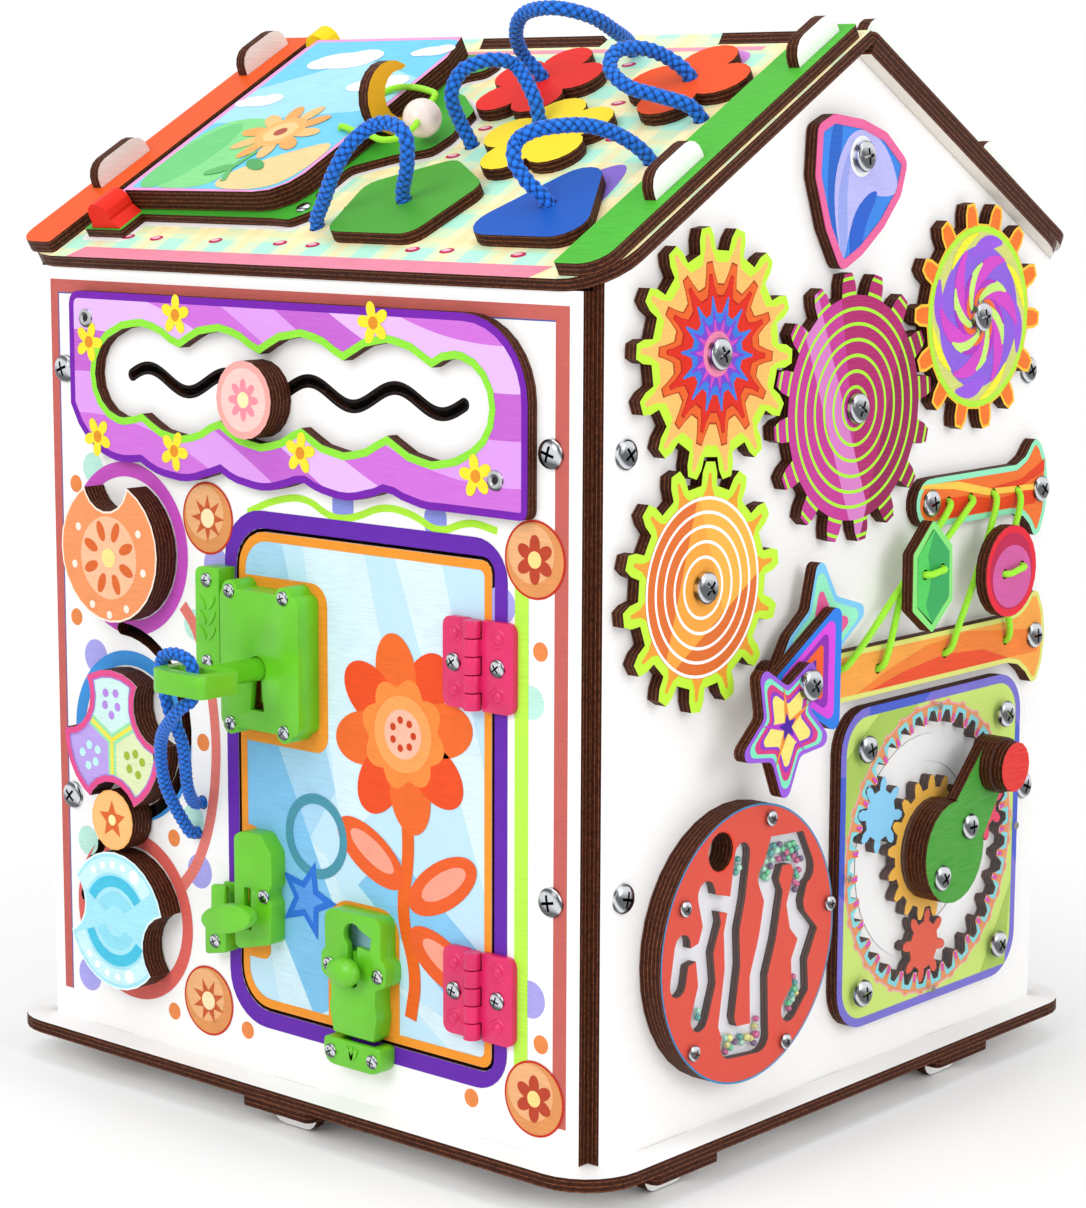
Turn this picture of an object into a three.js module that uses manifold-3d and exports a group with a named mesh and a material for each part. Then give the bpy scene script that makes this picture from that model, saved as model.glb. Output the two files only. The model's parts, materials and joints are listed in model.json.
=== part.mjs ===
// House-shaped wooden busy board, built as separate pieces.
// Millimetres, +Z up, front wall faces -Y, gear wall faces +X.
// Origin: centre of the base plate's underside.
import * as THREE from "three";
import { mergeVertices } from "three/addons/utils/BufferGeometryUtils.js";
import Module from "manifold-3d";

const wasm = await Module();
wasm.setup();

// Driving sizes of the house
const PLY = 6;
const HOUSE = 350;
const WALL_TOP = 367.3;
const PITCH = 29.5;
const ROOF_REST = 0.3;
const BASE_OUT = 16;
const BASE_CORNER = 28;
const ROOF_OUT = 7.5;
const EAVE_OUT = 1.43;
const ROOF_CORNER = 25;

// Clearances and cuts that many pieces share
const SLOT_PLAY = 0.2;
const LIE_GAP = 0.1;
const TURN_GAP = 0.5;
const SPOOL_GAP = 1;
const STUB_PLAY = 0.3;
const FUSE = 0.5;
const CHORD_DEPTH = 0.22;

// Fasteners and cords
const PIN = 2.5;
const PIN_PLAY = 0.4;
const SCREW_HEAD = 6.5;
const SCREW_HEAD_HIGH = 2;
const STUB = 4;
const SMALL_STUB = 2.6;
const STUB_PAST = 1.5;
const FLANGE_THICK = 3;
const FLANGE = 11;
const ROPE = 3.4;
const ROPE_PLAY = 0.4;
const KEY_ROPE = 3;
const LACE = 1.6;
const LACE_HOLE = 2.5;

const rad = (d) => (d * Math.PI) / 180;
const cosP = Math.cos(rad(PITCH));
const sinP = Math.sin(rad(PITCH));
const tanP = sinP / cosP;
const HALF = HOUSE / 2;
const INNER = HALF - PLY;
const APEX = WALL_TOP + ROOF_REST + HALF * tanP;
const BASE_HALF = HALF + BASE_OUT;
const ROOF_HALF = HALF + ROOF_OUT;
const ROOF_SLOPE = HALF / cosP + EAVE_OUT;

// Outlines are lists of [x, y]
const move = (pts, [x, y]) => pts.map(([a, b]) => [a + x, b + y]);
const scaled = (shares, size, at = [0, 0]) => shares.map(([a, b]) => [at[0] + a * size, at[1] + b * size]);
const mirrored = (pts) => pts.map(([a, b]) => [-a, b]).reverse();
const towards = (a, angle, d) => [a[0] + d * Math.cos(angle), a[1] + d * Math.sin(angle)];
const box = (x0, x1, y0, y1) => [[x0, y0], [x1, y0], [x1, y1], [x0, y1]];
const arcStep = (r) => Math.min(rad(30), Math.max(rad(8), 2 * Math.acos(Math.max(0, 1 - CHORD_DEPTH / r))));
function circle(r, at = [0, 0], sides = Math.ceil((2 * Math.PI) / arcStep(r))) {
  const pts = [];
  for (let i = 0; i < sides; i++) pts.push(towards(at, (2 * Math.PI * i) / sides, r));
  return pts;
}
function rounded(pts, radius) {
  // each corner becomes an arc; radius is one value or one per corner
  const out = [];
  pts.forEach((p, i) => {
    const r = Array.isArray(radius) ? radius[i] : radius;
    const a = pts[(i + pts.length - 1) % pts.length];
    const b = pts[(i + 1) % pts.length];
    const la = Math.hypot(a[0] - p[0], a[1] - p[1]);
    const lb = Math.hypot(b[0] - p[0], b[1] - p[1]);
    const ua = [(a[0] - p[0]) / la, (a[1] - p[1]) / la];
    const ub = [(b[0] - p[0]) / lb, (b[1] - p[1]) / lb];
    const half = Math.acos(Math.max(-1, Math.min(1, ua[0] * ub[0] + ua[1] * ub[1]))) / 2;
    if (!(r > 0) || half > rad(87)) {
      out.push(p);
      return;
    }
    const reachShare = 0.48;
    const cut = Math.min(r / Math.tan(half), reachShare * la, reachShare * lb);
    const rr = cut * Math.tan(half);
    const mid = Math.atan2(ua[1] + ub[1], ua[0] + ub[0]);
    const c = towards(p, mid, rr / Math.sin(half));
    const from = Math.atan2(p[1] + ua[1] * cut - c[1], p[0] + ua[0] * cut - c[0]);
    const to = Math.atan2(p[1] + ub[1] * cut - c[1], p[0] + ub[0] * cut - c[0]);
    const sweep = Math.atan2(Math.sin(to - from), Math.cos(to - from));
    const steps = Math.max(1, Math.ceil(Math.abs(sweep) / arcStep(rr)));
    for (let k = 0; k <= steps; k++) out.push(towards(c, from + (sweep * k) / steps, rr));
  });
  return out;
}
const softBox = (x0, x1, y0, y1, r) => rounded(box(x0, x1, y0, y1), r);
function band(pts, r) {
  // round-ended band along a line of points
  const left = [];
  const right = [];
  const angle = (a, b) => Math.atan2(b[1] - a[1], b[0] - a[0]);
  pts.forEach((p, i) => {
    const into = i > 0 ? angle(pts[i - 1], p) : angle(p, pts[1]);
    const out = i + 1 < pts.length ? angle(p, pts[i + 1]) : into;
    const turn = Math.atan2(Math.sin(out - into), Math.cos(out - into)) / 2;
    const wide = r / Math.cos(turn);
    left.push(towards(p, into + turn + Math.PI / 2, wide));
    right.push(towards(p, into + turn - Math.PI / 2, wide));
  });
  const cap = (p, a) => {
    const steps = Math.max(4, Math.ceil(Math.PI / arcStep(r)));
    const list = [];
    for (let k = 1; k < steps; k++) list.push(towards(p, a - Math.PI / 2 + (Math.PI * k) / steps, r));
    return list;
  };
  const last = pts[pts.length - 1];
  return [
    ...right,
    ...cap(last, angle(pts[pts.length - 2], last)),
    ...left.reverse(),
    ...cap(pts[0], angle(pts[1], pts[0])),
  ];
}

// Solids
function solidOf(geometry) {
  geometry.deleteAttribute("normal");
  geometry.deleteAttribute("uv");
  const merged = mergeVertices(geometry);
  const tri = [];
  const index = merged.index.array;
  for (let i = 0; i < index.length; i += 3) {
    const [a, b, c] = [index[i], index[i + 1], index[i + 2]];
    if (a !== b && b !== c && a !== c) tri.push(a, b, c);
  }
  return new wasm.Manifold(new wasm.Mesh({
    numProp: 3,
    vertProperties: new Float32Array(merged.attributes.position.array),
    triVerts: new Uint32Array(tri),
  }));
}
const vec = (pts) => pts.map(([x, y]) => new THREE.Vector2(x, y));
function slabGeometry(outline, h0, h1) {
  const g = new THREE.ExtrudeGeometry(new THREE.Shape(vec(outline)), { depth: h1 - h0, bevelEnabled: false });
  return g.translate(0, 0, h0);
}
const X = new THREE.Vector3(1, 0, 0);
const Y = new THREE.Vector3(0, 1, 0);
const Z = new THREE.Vector3(0, 0, 1);
const minus = (v) => v.clone().negate();
const basis = (a, b, c) => new THREE.Matrix4().makeBasis(a, b, c);
const join = (...list) => list.reduce((a, b) => a.add(b));
const cut = (solid, ...list) => list.reduce((a, b) => a.subtract(b), solid);
const slab = (outline, h0, h1, holes = []) =>
  cut(solidOf(slabGeometry(outline, h0, h1)), ...holes.map((h) => solidOf(slabGeometry(h, h0 - FUSE, h1 + FUSE))));
// outline in (across, off the wall), drawn out along the height of the wall
const standing = (outline, y0, y1) => solidOf(slabGeometry(outline, -y1, -y0).applyMatrix4(basis(X, Z, minus(Y))));
// outline in (up the wall, off the wall), drawn out across the wall
const sideways = (outline, x0, x1) => solidOf(slabGeometry(outline, x0, x1).applyMatrix4(basis(Y, Z, X)));

// The scene: one group for each wall, holding its pieces in that wall's own frame
const busyBoard = new THREE.Group();
busyBoard.name = "busy_board";
function face(a, b, c, at) {
  const g = new THREE.Group();
  g.matrixAutoUpdate = false;
  g.matrix.copy(basis(a, b, c)).setPosition(...at);
  busyBoard.add(g);
  return g;
}
const FLOOR = face(X, Y, Z, [0, 0, PLY]);
const FRONT = face(X, Z, minus(Y), [0, -HALF, PLY]);
const BACK = face(minus(X), Z, Y, [0, HALF, PLY]);
const RIGHT = face(Y, Z, X, [HALF, 0, PLY]);
const LEFT = face(minus(Y), Z, minus(X), [-HALF, 0, PLY]);
const slopeUp = new THREE.Vector3(0, cosP, sinP);
const slopeOut = new THREE.Vector3(0, -sinP, cosP);
const ROOF = face(X, slopeUp, slopeOut, [0, 0, APEX + PLY]);
const backUp = new THREE.Vector3(0, -cosP, sinP);
const backOut = new THREE.Vector3(0, sinP, cosP);
const ROOF_BACK = face(minus(X), backUp, backOut, [0, 0, APEX + PLY]);

function piece(wall, name, solid, color, roughness = 0.6) {
  const mesh = solid.getMesh();
  const count = mesh.vertProperties.length / mesh.numProp;
  const spots = new Float32Array(count * 3);
  for (let i = 0; i < count; i++) {
    for (let k = 0; k < 3; k++) spots[i * 3 + k] = mesh.vertProperties[i * mesh.numProp + k];
  }
  const g = new THREE.BufferGeometry();
  g.setAttribute("position", new THREE.BufferAttribute(spots, 3));
  g.setIndex(Array.from(mesh.triVerts));
  g.computeVertexNormals();
  const out = new THREE.Mesh(g, new THREE.MeshStandardMaterial({ color, roughness, metalness: 0 }));
  out.name = name;
  wall.add(out);
}
const WHITE = 0xf5f3f0;
const GREEN = 0x6cc72e;
const PINK = 0xd92a66;
const HARD = 0.35;

// Places on a wall are shares of its width and height, on the roof of its width and slope
const onWall = ([x, y]) => [x * HOUSE, y * WALL_TOP];
const onRoof = ([x, y]) => [x * HOUSE, y * ROOF_SLOPE];

// Tabs and slots of the house
const TAB_WIDE = 28;
const FOOT_DROP = 21;
const FOOT_ROUND = 7;
const SHORT_LIFT = 0.2;
const ROOF_TAB_RISE = 23;
const ROOF_TAB_ROUND = 9;
const ROOF_TAB_ROOT = 3;
const UPPER_TAB_WIDE = 33;
const LOWER_TAB_WIDE = 36;
const frontTabShares = [-0.36, -0.0043, 0.36];
const sideTabShares = [-0.3543, -0.0229, 0.26];
const roofTabShares = [-0.1062, -0.6519];
const tabAt = (centre, wide) => [centre - wide / 2, centre + wide / 2];
const FRONT_TABS = frontTabShares.map((s) => tabAt(s * HOUSE, TAB_WIDE));
const SIDE_TABS = sideTabShares.map((s) => tabAt(s * HOUSE, TAB_WIDE));
const ROOF_TABS = [
  tabAt(roofTabShares[0] * ROOF_SLOPE, UPPER_TAB_WIDE),
  tabAt(roofTabShares[1] * ROOF_SLOPE, LOWER_TAB_WIDE),
];
const flip = ([a, b]) => [-b, -a];
const footTab = ([a, b], long) => (long
  ? slab(rounded(box(a, b, -FOOT_DROP, FUSE), [FOOT_ROUND, FOOT_ROUND, 0, 0]), -PLY, 0)
  : slab(box(a, b, SHORT_LIFT - PLY, FUSE), -PLY, 0));

// Base plate, with the lock plates that grip the long tabs below it
const LOCK_WIDE = 44;
const LOCK_DEEP = 30;
const LOCK_INSET = 3;
const LOCK_ROUND = 3;
const slotBox = (x0, x1, y0, y1) => box(x0 - SLOT_PLAY, x1 + SLOT_PLAY, y0 - SLOT_PLAY, y1 + SLOT_PLAY);
const floorSlots = [
  ...FRONT_TABS.flatMap(([a, b]) => [slotBox(a, b, -HALF, -INNER), slotBox(a, b, INNER, HALF)]),
  ...SIDE_TABS.flatMap(([a, b]) => [slotBox(INNER, HALF, a, b), slotBox(-HALF, -INNER, a, b)]),
];
const lockOut = BASE_HALF - LOCK_INSET;
const lockIn = lockOut - LOCK_DEEP;
const lockBoxes = [];
for (const [side, i] of [["front", 1], ["side", 0], ["side", 2]]) {
  const centre = (side === "front" ? frontTabShares[i] : sideTabShares[i]) * HOUSE;
  const [a, b] = tabAt(centre, LOCK_WIDE);
  if (side === "front") lockBoxes.push([a, b, -lockOut, -lockIn], [a, b, lockIn, lockOut]);
  else lockBoxes.push([lockIn, lockOut, a, b], [-lockOut, -lockIn, a, b]);
}
const basePlate = cut(
  join(
    slab(softBox(-BASE_HALF, BASE_HALF, -BASE_HALF, BASE_HALF, BASE_CORNER), -PLY, 0),
    ...lockBoxes.map((b) => slab(softBox(...b, LOCK_ROUND), -2 * PLY, -PLY)),
  ),
  ...floorSlots.map((s) => slab(s, -2 * PLY - FUSE, FUSE)),
);
piece(FLOOR, "base_plate", basePlate, WHITE);

// Places and sizes of the front wall
const DOOR_WIDE = 157.5;
const DOOR_HIGH = 224.3;
const DOOR_ROUND = 19;
const DOOR_HINGE_ROUND = 7;
const DOOR_GAP = 1.6;
const doorCornerShares = [-0.1029, 0.0825];
const [doorX, doorZ] = onWall(doorCornerShares);
const doorCorners = [DOOR_ROUND, DOOR_HINGE_ROUND, DOOR_HINGE_ROUND, DOOR_ROUND];
const doorHole = softBox(doorX, doorX + DOOR_WIDE, doorZ, doorZ + DOOR_HIGH, doorCorners);

// Wavy slot that the maze knob rides in
const WAVE_LONG = 208.5;
const WAVE_HIGH = 4.75;
const WAVE_PERIOD = 52.6;
const WAVE_SLOT = 3;
const waveStartShares = [-0.2986, 0.8647];
const [waveX, waveZ] = onWall(waveStartShares);
const CREST = 116.5;
const waveAt = (x) => waveZ + WAVE_HIGH * Math.cos((2 * Math.PI * (x - waveX - CREST)) / WAVE_PERIOD);
const wave = [];
for (let i = 0; i <= 32; i++) wave.push([waveX + (WAVE_LONG * i) / 32, waveAt(waveX + (WAVE_LONG * i) / 32)]);

// Curved slot of the small runner between the notched discs
const DISC_RADIUS = 33.5;
const DISC_THICK = 12;
const DISC_LIFT = 1;
const NOTCH = 18;
const NOTCH_OUT = 38.2;
const RUN_RADIUS = 45.1;
const RUN_LEFT = 7;
const RUN_ABOVE = 6;
const RUN_SLOT = 3;
const RUNNER = 14.5;
const RUNNER_FLANGE = 6;
const RUN_START = -82.36;
const RUN_SWEEP = 172;
const discShares = [[-0.3114, 0.6444], [-0.3114, 0.4002], [-0.3114, 0.1614]];
const DISCS = discShares.map(onWall);
const runCentre = [DISCS[1][0] - RUN_LEFT, DISCS[1][1] + RUN_ABOVE];
const runnerAt = towards(runCentre, rad(RUN_START), RUN_RADIUS);
const runTailShares = [[-0.6652, -1.9956], [-0.5765, -1.663], [-0.3326, -1.3082], [-0.0887, -1.1086]];
const runTail = scaled(runTailShares, RUN_RADIUS, runCentre);
const runArc = [];
for (let i = 0; i <= 20; i++) runArc.push(towards(runCentre, rad(RUN_START + (RUN_SWEEP * i) / 20), RUN_RADIUS));

// Lock: its place is set from the corner of the door hole, and its keeper is part of the wall
const LOCK_IN = 26;
const LOCK_UP = 162.7;
const KEEPER_CORNER = 4;
const LOCK_KEEPER_WIDE = 15;
const LOCK_KEEPER_HIGH = 48;
const LOCK_KEEPER_DEEP = 10;
const LOCK_KEEPER_DOWN = 6;
const KEEPER_OFF_EDGE = 1.2;
const KEY = [doorX + LOCK_IN, doorZ + LOCK_UP];
const keeperRight = doorX - KEEPER_OFF_EDGE;
const keeperOutline = softBox(
  keeperRight - LOCK_KEEPER_WIDE, keeperRight, KEY[1] - LOCK_KEEPER_DOWN, KEY[1] - LOCK_KEEPER_DOWN + LOCK_KEEPER_HIGH,
  [KEEPER_CORNER, FUSE, FUSE, KEEPER_CORNER],
);

const cordHoleShares = [[-0.1743, 0.3327], [-0.1843, 0.2927]];
const CORD_HOLE = KEY_ROPE + ROPE_PLAY;
piece(FRONT, "wall_front", join(
  slab(box(-INNER, INNER, 0, WALL_TOP), -PLY, 0, [
    doorHole,
    band(wave, WAVE_SLOT),
    band([...runTail, ...runArc], RUN_SLOT),
    ...DISCS.map((c) => circle(STUB + STUB_PLAY, c)),
    ...cordHoleShares.map((c) => circle(CORD_HOLE, onWall(c), 12)),
  ]),
  ...FRONT_TABS.map((t, i) => footTab(t, i === 1)),
  slab(keeperOutline, -FUSE, LOCK_KEEPER_DEEP),
), WHITE);
piece(BACK, "wall_back", join(
  slab(box(-INNER, INNER, 0, WALL_TOP), -PLY, 0),
  ...FRONT_TABS.map((t, i) => footTab(flip(t), i === 1)),
), WHITE);

// Gable walls
const GABLE_PLAY = 0.15;
const gableEave = APEX - INNER * tanP - GABLE_PLAY / cosP;
const gableBody = [[-INNER, 0], [INNER, 0], [INNER, gableEave], [0, APEX - GABLE_PLAY / cosP], [-INNER, gableEave]];
const slopePoint = ([v, h]) => [v * cosP - h * sinP, APEX + v * sinP + h * cosP];
const gableTabs = ROOF_TABS.flatMap(([a, b]) => {
  const tab = rounded(box(a, b, -ROOF_TAB_ROOT, ROOF_TAB_RISE), [0, 0, ROOF_TAB_ROUND, ROOF_TAB_ROUND]);
  const flat = tab.map(slopePoint);
  return [slab(flat, -PLY, 0), slab(mirrored(flat), -PLY, 0)];
});

// Wall gears: one module, in mesh from the upper left gear on
const MODULE = 7;
const ADDENDUM = 4.4;
const DEDENDUM = 5.6;
const TOOTH_SLACK = 0.55;
const CENTRE_SLACK = 0.4;
const TEETH = [14, 16, 14, 14];
const FIRST_TOOTH = 98.8;
const gearStartShares = [-0.2949, 0.923];
const TRAIN = [rad(-16.25), rad(20.15), rad(-94.24)];
const gearDistance = (a, b) => (MODULE * (a + b)) / 2 + CENTRE_SLACK;
const G1 = onWall(gearStartShares);
const G2 = towards(G1, TRAIN[0], gearDistance(TEETH[0], TEETH[1]));
const G3 = towards(G2, TRAIN[1], gearDistance(TEETH[1], TEETH[2]));
const G4 = towards(G1, TRAIN[2], gearDistance(TEETH[0], TEETH[3]));
const meshed = (a1, n1, dir, n2) => dir + Math.PI - (n1 * (a1 - dir) + Math.PI) / n2;
const A1 = rad(FIRST_TOOTH);
const A2 = meshed(A1, TEETH[0], TRAIN[0], TEETH[1]);
const A3 = meshed(A2, TEETH[1], TRAIN[1], TEETH[2]);
const A4 = meshed(A1, TEETH[0], TRAIN[2], TEETH[3]);
const involute = (a) => Math.tan(a) - a;
function gearOutline(teeth, module, angle, tipOut, rootIn, slack, press, at) {
  const pitch = (module * teeth) / 2;
  const base = pitch * Math.cos(rad(press));
  const half = Math.PI / (2 * teeth) - slack / pitch;
  const wide = (r) => half + involute(rad(press)) - (r > base ? involute(Math.acos(base / r)) : 0);
  const radii = [pitch - rootIn, pitch, pitch + tipOut];
  const pts = [];
  for (let i = 0; i < teeth; i++) {
    const c = angle + (2 * Math.PI * i) / teeth;
    for (const r of radii) pts.push(towards(at, c - wide(r), r));
    for (const r of [...radii].reverse()) pts.push(towards(at, c + wide(r), r));
  }
  return pts;
}
const wallGear = (teeth, angle, at) =>
  slab(
    gearOutline(teeth, MODULE, angle, ADDENDUM, DEDENDUM, TOOTH_SLACK, 22, at),
    TURN_GAP, TURN_GAP + PLY, [circle(PIN + PIN_PLAY, at)],
  );

// Petal above the gears, and three pieces that share one pin
const PETAL_LONG = 73.5;
const petalPinShares = [-0.0029, 1.1448];
const PETAL_PIN = onWall(petalPinShares);
const petalShares = [
  [-0.1878, -0.6844], [-0.3537, -0.4286], [-0.4694, -0.1156], [-0.449, 0.1837], [-0.2857, 0.2517],
  [0.0136, 0.2177], [0.2585, 0.1429], [0.4898, -0.034], [0.4218, -0.2381], [0.2449, -0.4286],
  [0.0272, -0.585],
];
const PETAL_ROUND = 5;
const STAR_WASHER = 8;
const WASHER_GAP = 0.3;
const PLATE_THICK = 5.8;
const starPinShares = [-0.168, 0.529];
const STAR_PIN = onWall(starPinShares);
const layer = (i) => PLY + TURN_GAP + WASHER_GAP + i * (PLATE_THICK + WASHER_GAP);

const pinAndHead = (c, headAt, washer = 0) => {
  const parts = [slab(circle(PIN, c), -FUSE, headAt + FUSE), slab(circle(SCREW_HEAD, c), headAt, headAt + SCREW_HEAD_HIGH)];
  if (washer > 0) parts.push(slab(circle(STAR_WASHER, c), -FUSE, washer));
  return join(...parts);
};
const headClear = TURN_GAP + PLY + TURN_GAP;

// Holes of the right wall for the lace, the bead maze and the crank
const UPPER_BAR_LONG = 102.5;
const upperBarShares = [0.1743, 0.7106];
const UPPER_BAR = onWall(upperBarShares);
const upperHoleShares = [[0.1463, -0.0049], [0.3317, -0.0049], [0.522, 0], [0.7317, -0.0049]];
const LACE_UP = scaled(upperHoleShares, UPPER_BAR_LONG, UPPER_BAR);
const LOWER_BAR_LONG = 179;
const lowerBarShares = [-0.04, 0.5118];
const LOWER_BAR = onWall(lowerBarShares);
const lowerHoleShares = [[0.0223, 0.0223], [0.1955, 0.0028], [0.5028, 0.0028], [0.7989, 0]];
const LACE_LOW = scaled(lowerHoleShares, LOWER_BAR_LONG, LOWER_BAR);
const laceHoles = (list) => list.map((c) => circle(LACE_HOLE, c, 10));
const MAZE_R = 62;
const mazeCentreShares = [-0.2329, 0.2205];
const MAZE = onWall(mazeCentreShares);
const GEARBOX_HALF = 75.5;
const SUN_LEFT = 1;
const gearboxShares = [0.1971, 0.2614];
const GEARBOX = onWall(gearboxShares);
const SUN = [GEARBOX[0] - SUN_LEFT, GEARBOX[1]];

const foot = (i) => footTab(SIDE_TABS[i], i !== 1);
piece(RIGHT, "wall_right", join(
  slab(gableBody, -PLY, 0, [
    ...laceHoles([...LACE_UP, ...LACE_LOW]),
    circle(STUB + STUB_PLAY, MAZE),
    circle(STUB + STUB_PLAY, SUN),
  ]),
  foot(0), foot(1), foot(2),
  ...gableTabs,
  ...[G1, G2, G3, G4, PETAL_PIN].map((c) => pinAndHead(c, headClear)),
  pinAndHead(STAR_PIN, layer(3), layer(0) - WASHER_GAP),
), WHITE);
piece(LEFT, "wall_left", join(
  slab(gableBody, -PLY, 0),
  ...SIDE_TABS.map((t, i) => footTab(flip(t), i !== 1)),
  ...gableTabs,
), WHITE);

// Roof panels with ridge fingers, their slots, and the end strips that lock the tabs
const RIDGE_PLAY = 0.15;
const RIDGE_BACK_OFF = 0.25;
const fingerShares = [[-0.44, -0.3171], [-0.1171, 0.1], [0.3, 0.4343]];
const ridgeFingers = fingerShares.map(([a, b]) => [a * HOUSE, b * HOUSE]);
const LAP = PLY / Math.sin(rad(2 * PITCH)) - RIDGE_PLAY;
const STOP = -PLY / Math.tan(rad(2 * PITCH)) - RIDGE_BACK_OFF;
const tabSlots = ROOF_TABS.flatMap(([a, b]) => [slotBox(INNER, HALF, a, b), slotBox(-HALF, -INNER, a, b)]);
const STRIP_INSET = 2;
const STRIP_WIDE = 24;
const STRIP_UP = 2.5;
const STRIP_CORNER = 20;
const STRIP_ROUND = 2;
const FRONT_STRIP_TOP = 1.5;
const BACK_STRIP_TOP = -4.5;
const ropeHoleShares = {
  green: [-0.0206, -0.837],
  yellow: [0.0814, -0.478],
  red: [0.1783, -0.0568],
  orange: [0.4089, -0.36],
  blue: [0.4029, -0.5383],
};
const RIDGE_BEYOND = ROOF_HALF + RIDGE_PLAY;
function roofPanel(fingers, stripTop, holes) {
  const closed = fingers[0][0] <= -RIDGE_BEYOND;
  const ridge = fingers.flatMap(([a, b], i) => {
    const x0 = closed && i === 0 ? -ROOF_HALF : a + RIDGE_PLAY;
    const x1 = closed && i === fingers.length - 1 ? ROOF_HALF : b - RIDGE_PLAY;
    return [[x0, STOP], [x0, LAP], [x1, LAP], [x1, STOP]];
  });
  const upper = closed ? ridge.slice(1, -1) : [[-ROOF_HALF, STOP], ...ridge, [ROOF_HALF, STOP]];
  const line = [[-ROOF_HALF, -ROOF_SLOPE], [ROOF_HALF, -ROOF_SLOPE], ...upper.reverse()];
  const outline = rounded(line, line.map((p, i) => (i < 2 ? ROOF_CORNER : 0)));
  const stripEnd = ROOF_HALF - STRIP_INSET;
  const strip = softBox(
    stripEnd - STRIP_WIDE, stripEnd, -ROOF_SLOPE + STRIP_UP, stripTop,
    [STRIP_ROUND, STRIP_CORNER, STRIP_ROUND, STRIP_ROUND],
  );
  return join(
    slab(outline, 0, PLY, [...tabSlots, ...holes]),
    slab(strip, PLY, 2 * PLY, tabSlots.filter((t) => t[0][0] > 0)),
    slab(mirrored(strip), PLY, 2 * PLY, tabSlots.filter((t) => t[0][0] < 0)),
  );
}
const backFingers = ridgeFingers.map(flip).reverse();
const frontFingers = [
  [-RIDGE_BEYOND, ridgeFingers[0][0]],
  [ridgeFingers[0][1], ridgeFingers[1][0]],
  [ridgeFingers[1][1], ridgeFingers[2][0]],
  [ridgeFingers[2][1], RIDGE_BEYOND],
];
const ropeHoles = Object.values(ropeHoleShares).map((c) => circle(ROPE + ROPE_PLAY, onRoof(c)));
const ROOF_LOOK = 0xe8f0c8;
piece(ROOF, "roof_front", roofPanel(frontFingers, FRONT_STRIP_TOP, ropeHoles), ROOF_LOOK);
piece(ROOF_BACK, "roof_back", roofPanel(backFingers, BACK_STRIP_TOP, []), ROOF_LOOK);

// Maze plate round the wavy slot
const PLATE_LEFT = 37.5;
const PLATE_RIGHT = 40.5;
const PLATE_UP = 38.9;
const PLATE_DOWN = 45.3;
const PLATE_FLAT = 9;
const PLATE_REACH = 40.4;
const WINDOW_REACH = 19.6;
const plateRounds = [4, 36, 6];
function waveEdge(x, reach, side) {
  // edge of a band of round discs strung on the wave, side 1 above and -1 below
  let best = null;
  for (const [wx, wz] of wave) {
    if (Math.abs(x - wx) > reach) continue;
    const z = wz + side * Math.sqrt(reach * reach - (x - wx) * (x - wx));
    if (best === null || side * (z - best) > 0) best = z;
  }
  return best;
}
const waveEnd = waveX + WAVE_LONG;
const plateLow = [];
const flatFrom = waveEnd - PLATE_FLAT;
for (let i = 0; i <= 44; i++) {
  const x = waveX - PLATE_LEFT + ((flatFrom - waveX + PLATE_LEFT) * i) / 44;
  plateLow.push([x, Math.max(waveEdge(x, PLATE_REACH, -1), waveZ - PLATE_DOWN)]);
}
const plateRight = waveEnd + PLATE_RIGHT;
const plateCorners = [[plateRight, waveZ - PLATE_DOWN], [plateRight, waveZ + PLATE_UP], [waveX - PLATE_LEFT, waveZ + PLATE_UP]];
const plateOutline = rounded([...plateLow, ...plateCorners], [...plateLow.map(() => 0), ...plateRounds]);
const capAngles = [20, 40, 60, 80].map(rad);
const windowXs = [
  ...capAngles.map((a) => waveX - WINDOW_REACH * Math.cos(a)),
  ...wave.map(([x]) => x),
  ...[...capAngles].reverse().map((a) => waveEnd + WINDOW_REACH * Math.cos(a)),
];
const windowOutline = [
  [waveX - WINDOW_REACH, wave[0][1]],
  ...windowXs.map((x) => [x, waveEdge(x, WINDOW_REACH, -1)]),
  [waveEnd + WINDOW_REACH, wave[wave.length - 1][1]],
  ...[...windowXs].reverse().map((x) => [x, waveEdge(x, WINDOW_REACH, 1)]),
];
piece(FRONT, "maze_plate", slab(plateOutline, 0, PLY, [windowOutline]), 0xb45fd0);

// Pieces that turn or slide on a stub through the wall, with a flange behind it
const spool = (front, c, stub, flange, gap) => join(
  front,
  slab(circle(stub, c, 12), -PLY - STUB_PAST, gap + FUSE),
  slab(circle(flange, c, 20), -PLY - TURN_GAP - FLANGE_THICK, -PLY - TURN_GAP),
);
const KNOB = 17.5;
const KNOB_FLANGE = 9;
const knobAlongShare = 0.4216;
const knobX = waveX + WAVE_LONG * knobAlongShare;
const knobAt = [knobX, waveAt(knobX)];
const knobTop = SPOOL_GAP + DISC_THICK;
const KNOB_STUB = 1.6;
piece(FRONT, "maze_knob", spool(slab(circle(KNOB, knobAt), TURN_GAP, knobTop), knobAt, KNOB_STUB, KNOB_FLANGE, TURN_GAP), 0xf0a0a8);
const TOP_NOTCH = 15.5;
const TOP_NOTCH_OUT = 34;
const SIDE_NOTCH = 16;
const notches = [
  [[93, TOP_NOTCH_OUT, TOP_NOTCH]],
  [[268.5, NOTCH_OUT, NOTCH], [28.5, NOTCH_OUT, NOTCH], [148.5, NOTCH_OUT, NOTCH]],
  [[-15, NOTCH_OUT, NOTCH], [172, NOTCH_OUT, SIDE_NOTCH]],
];
const discNames = ["notch_disc_top", "notch_disc_middle", "notch_disc_bottom"];
const discLooks = [0xf08038, 0xe84a90, 0x45bfe0];
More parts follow.
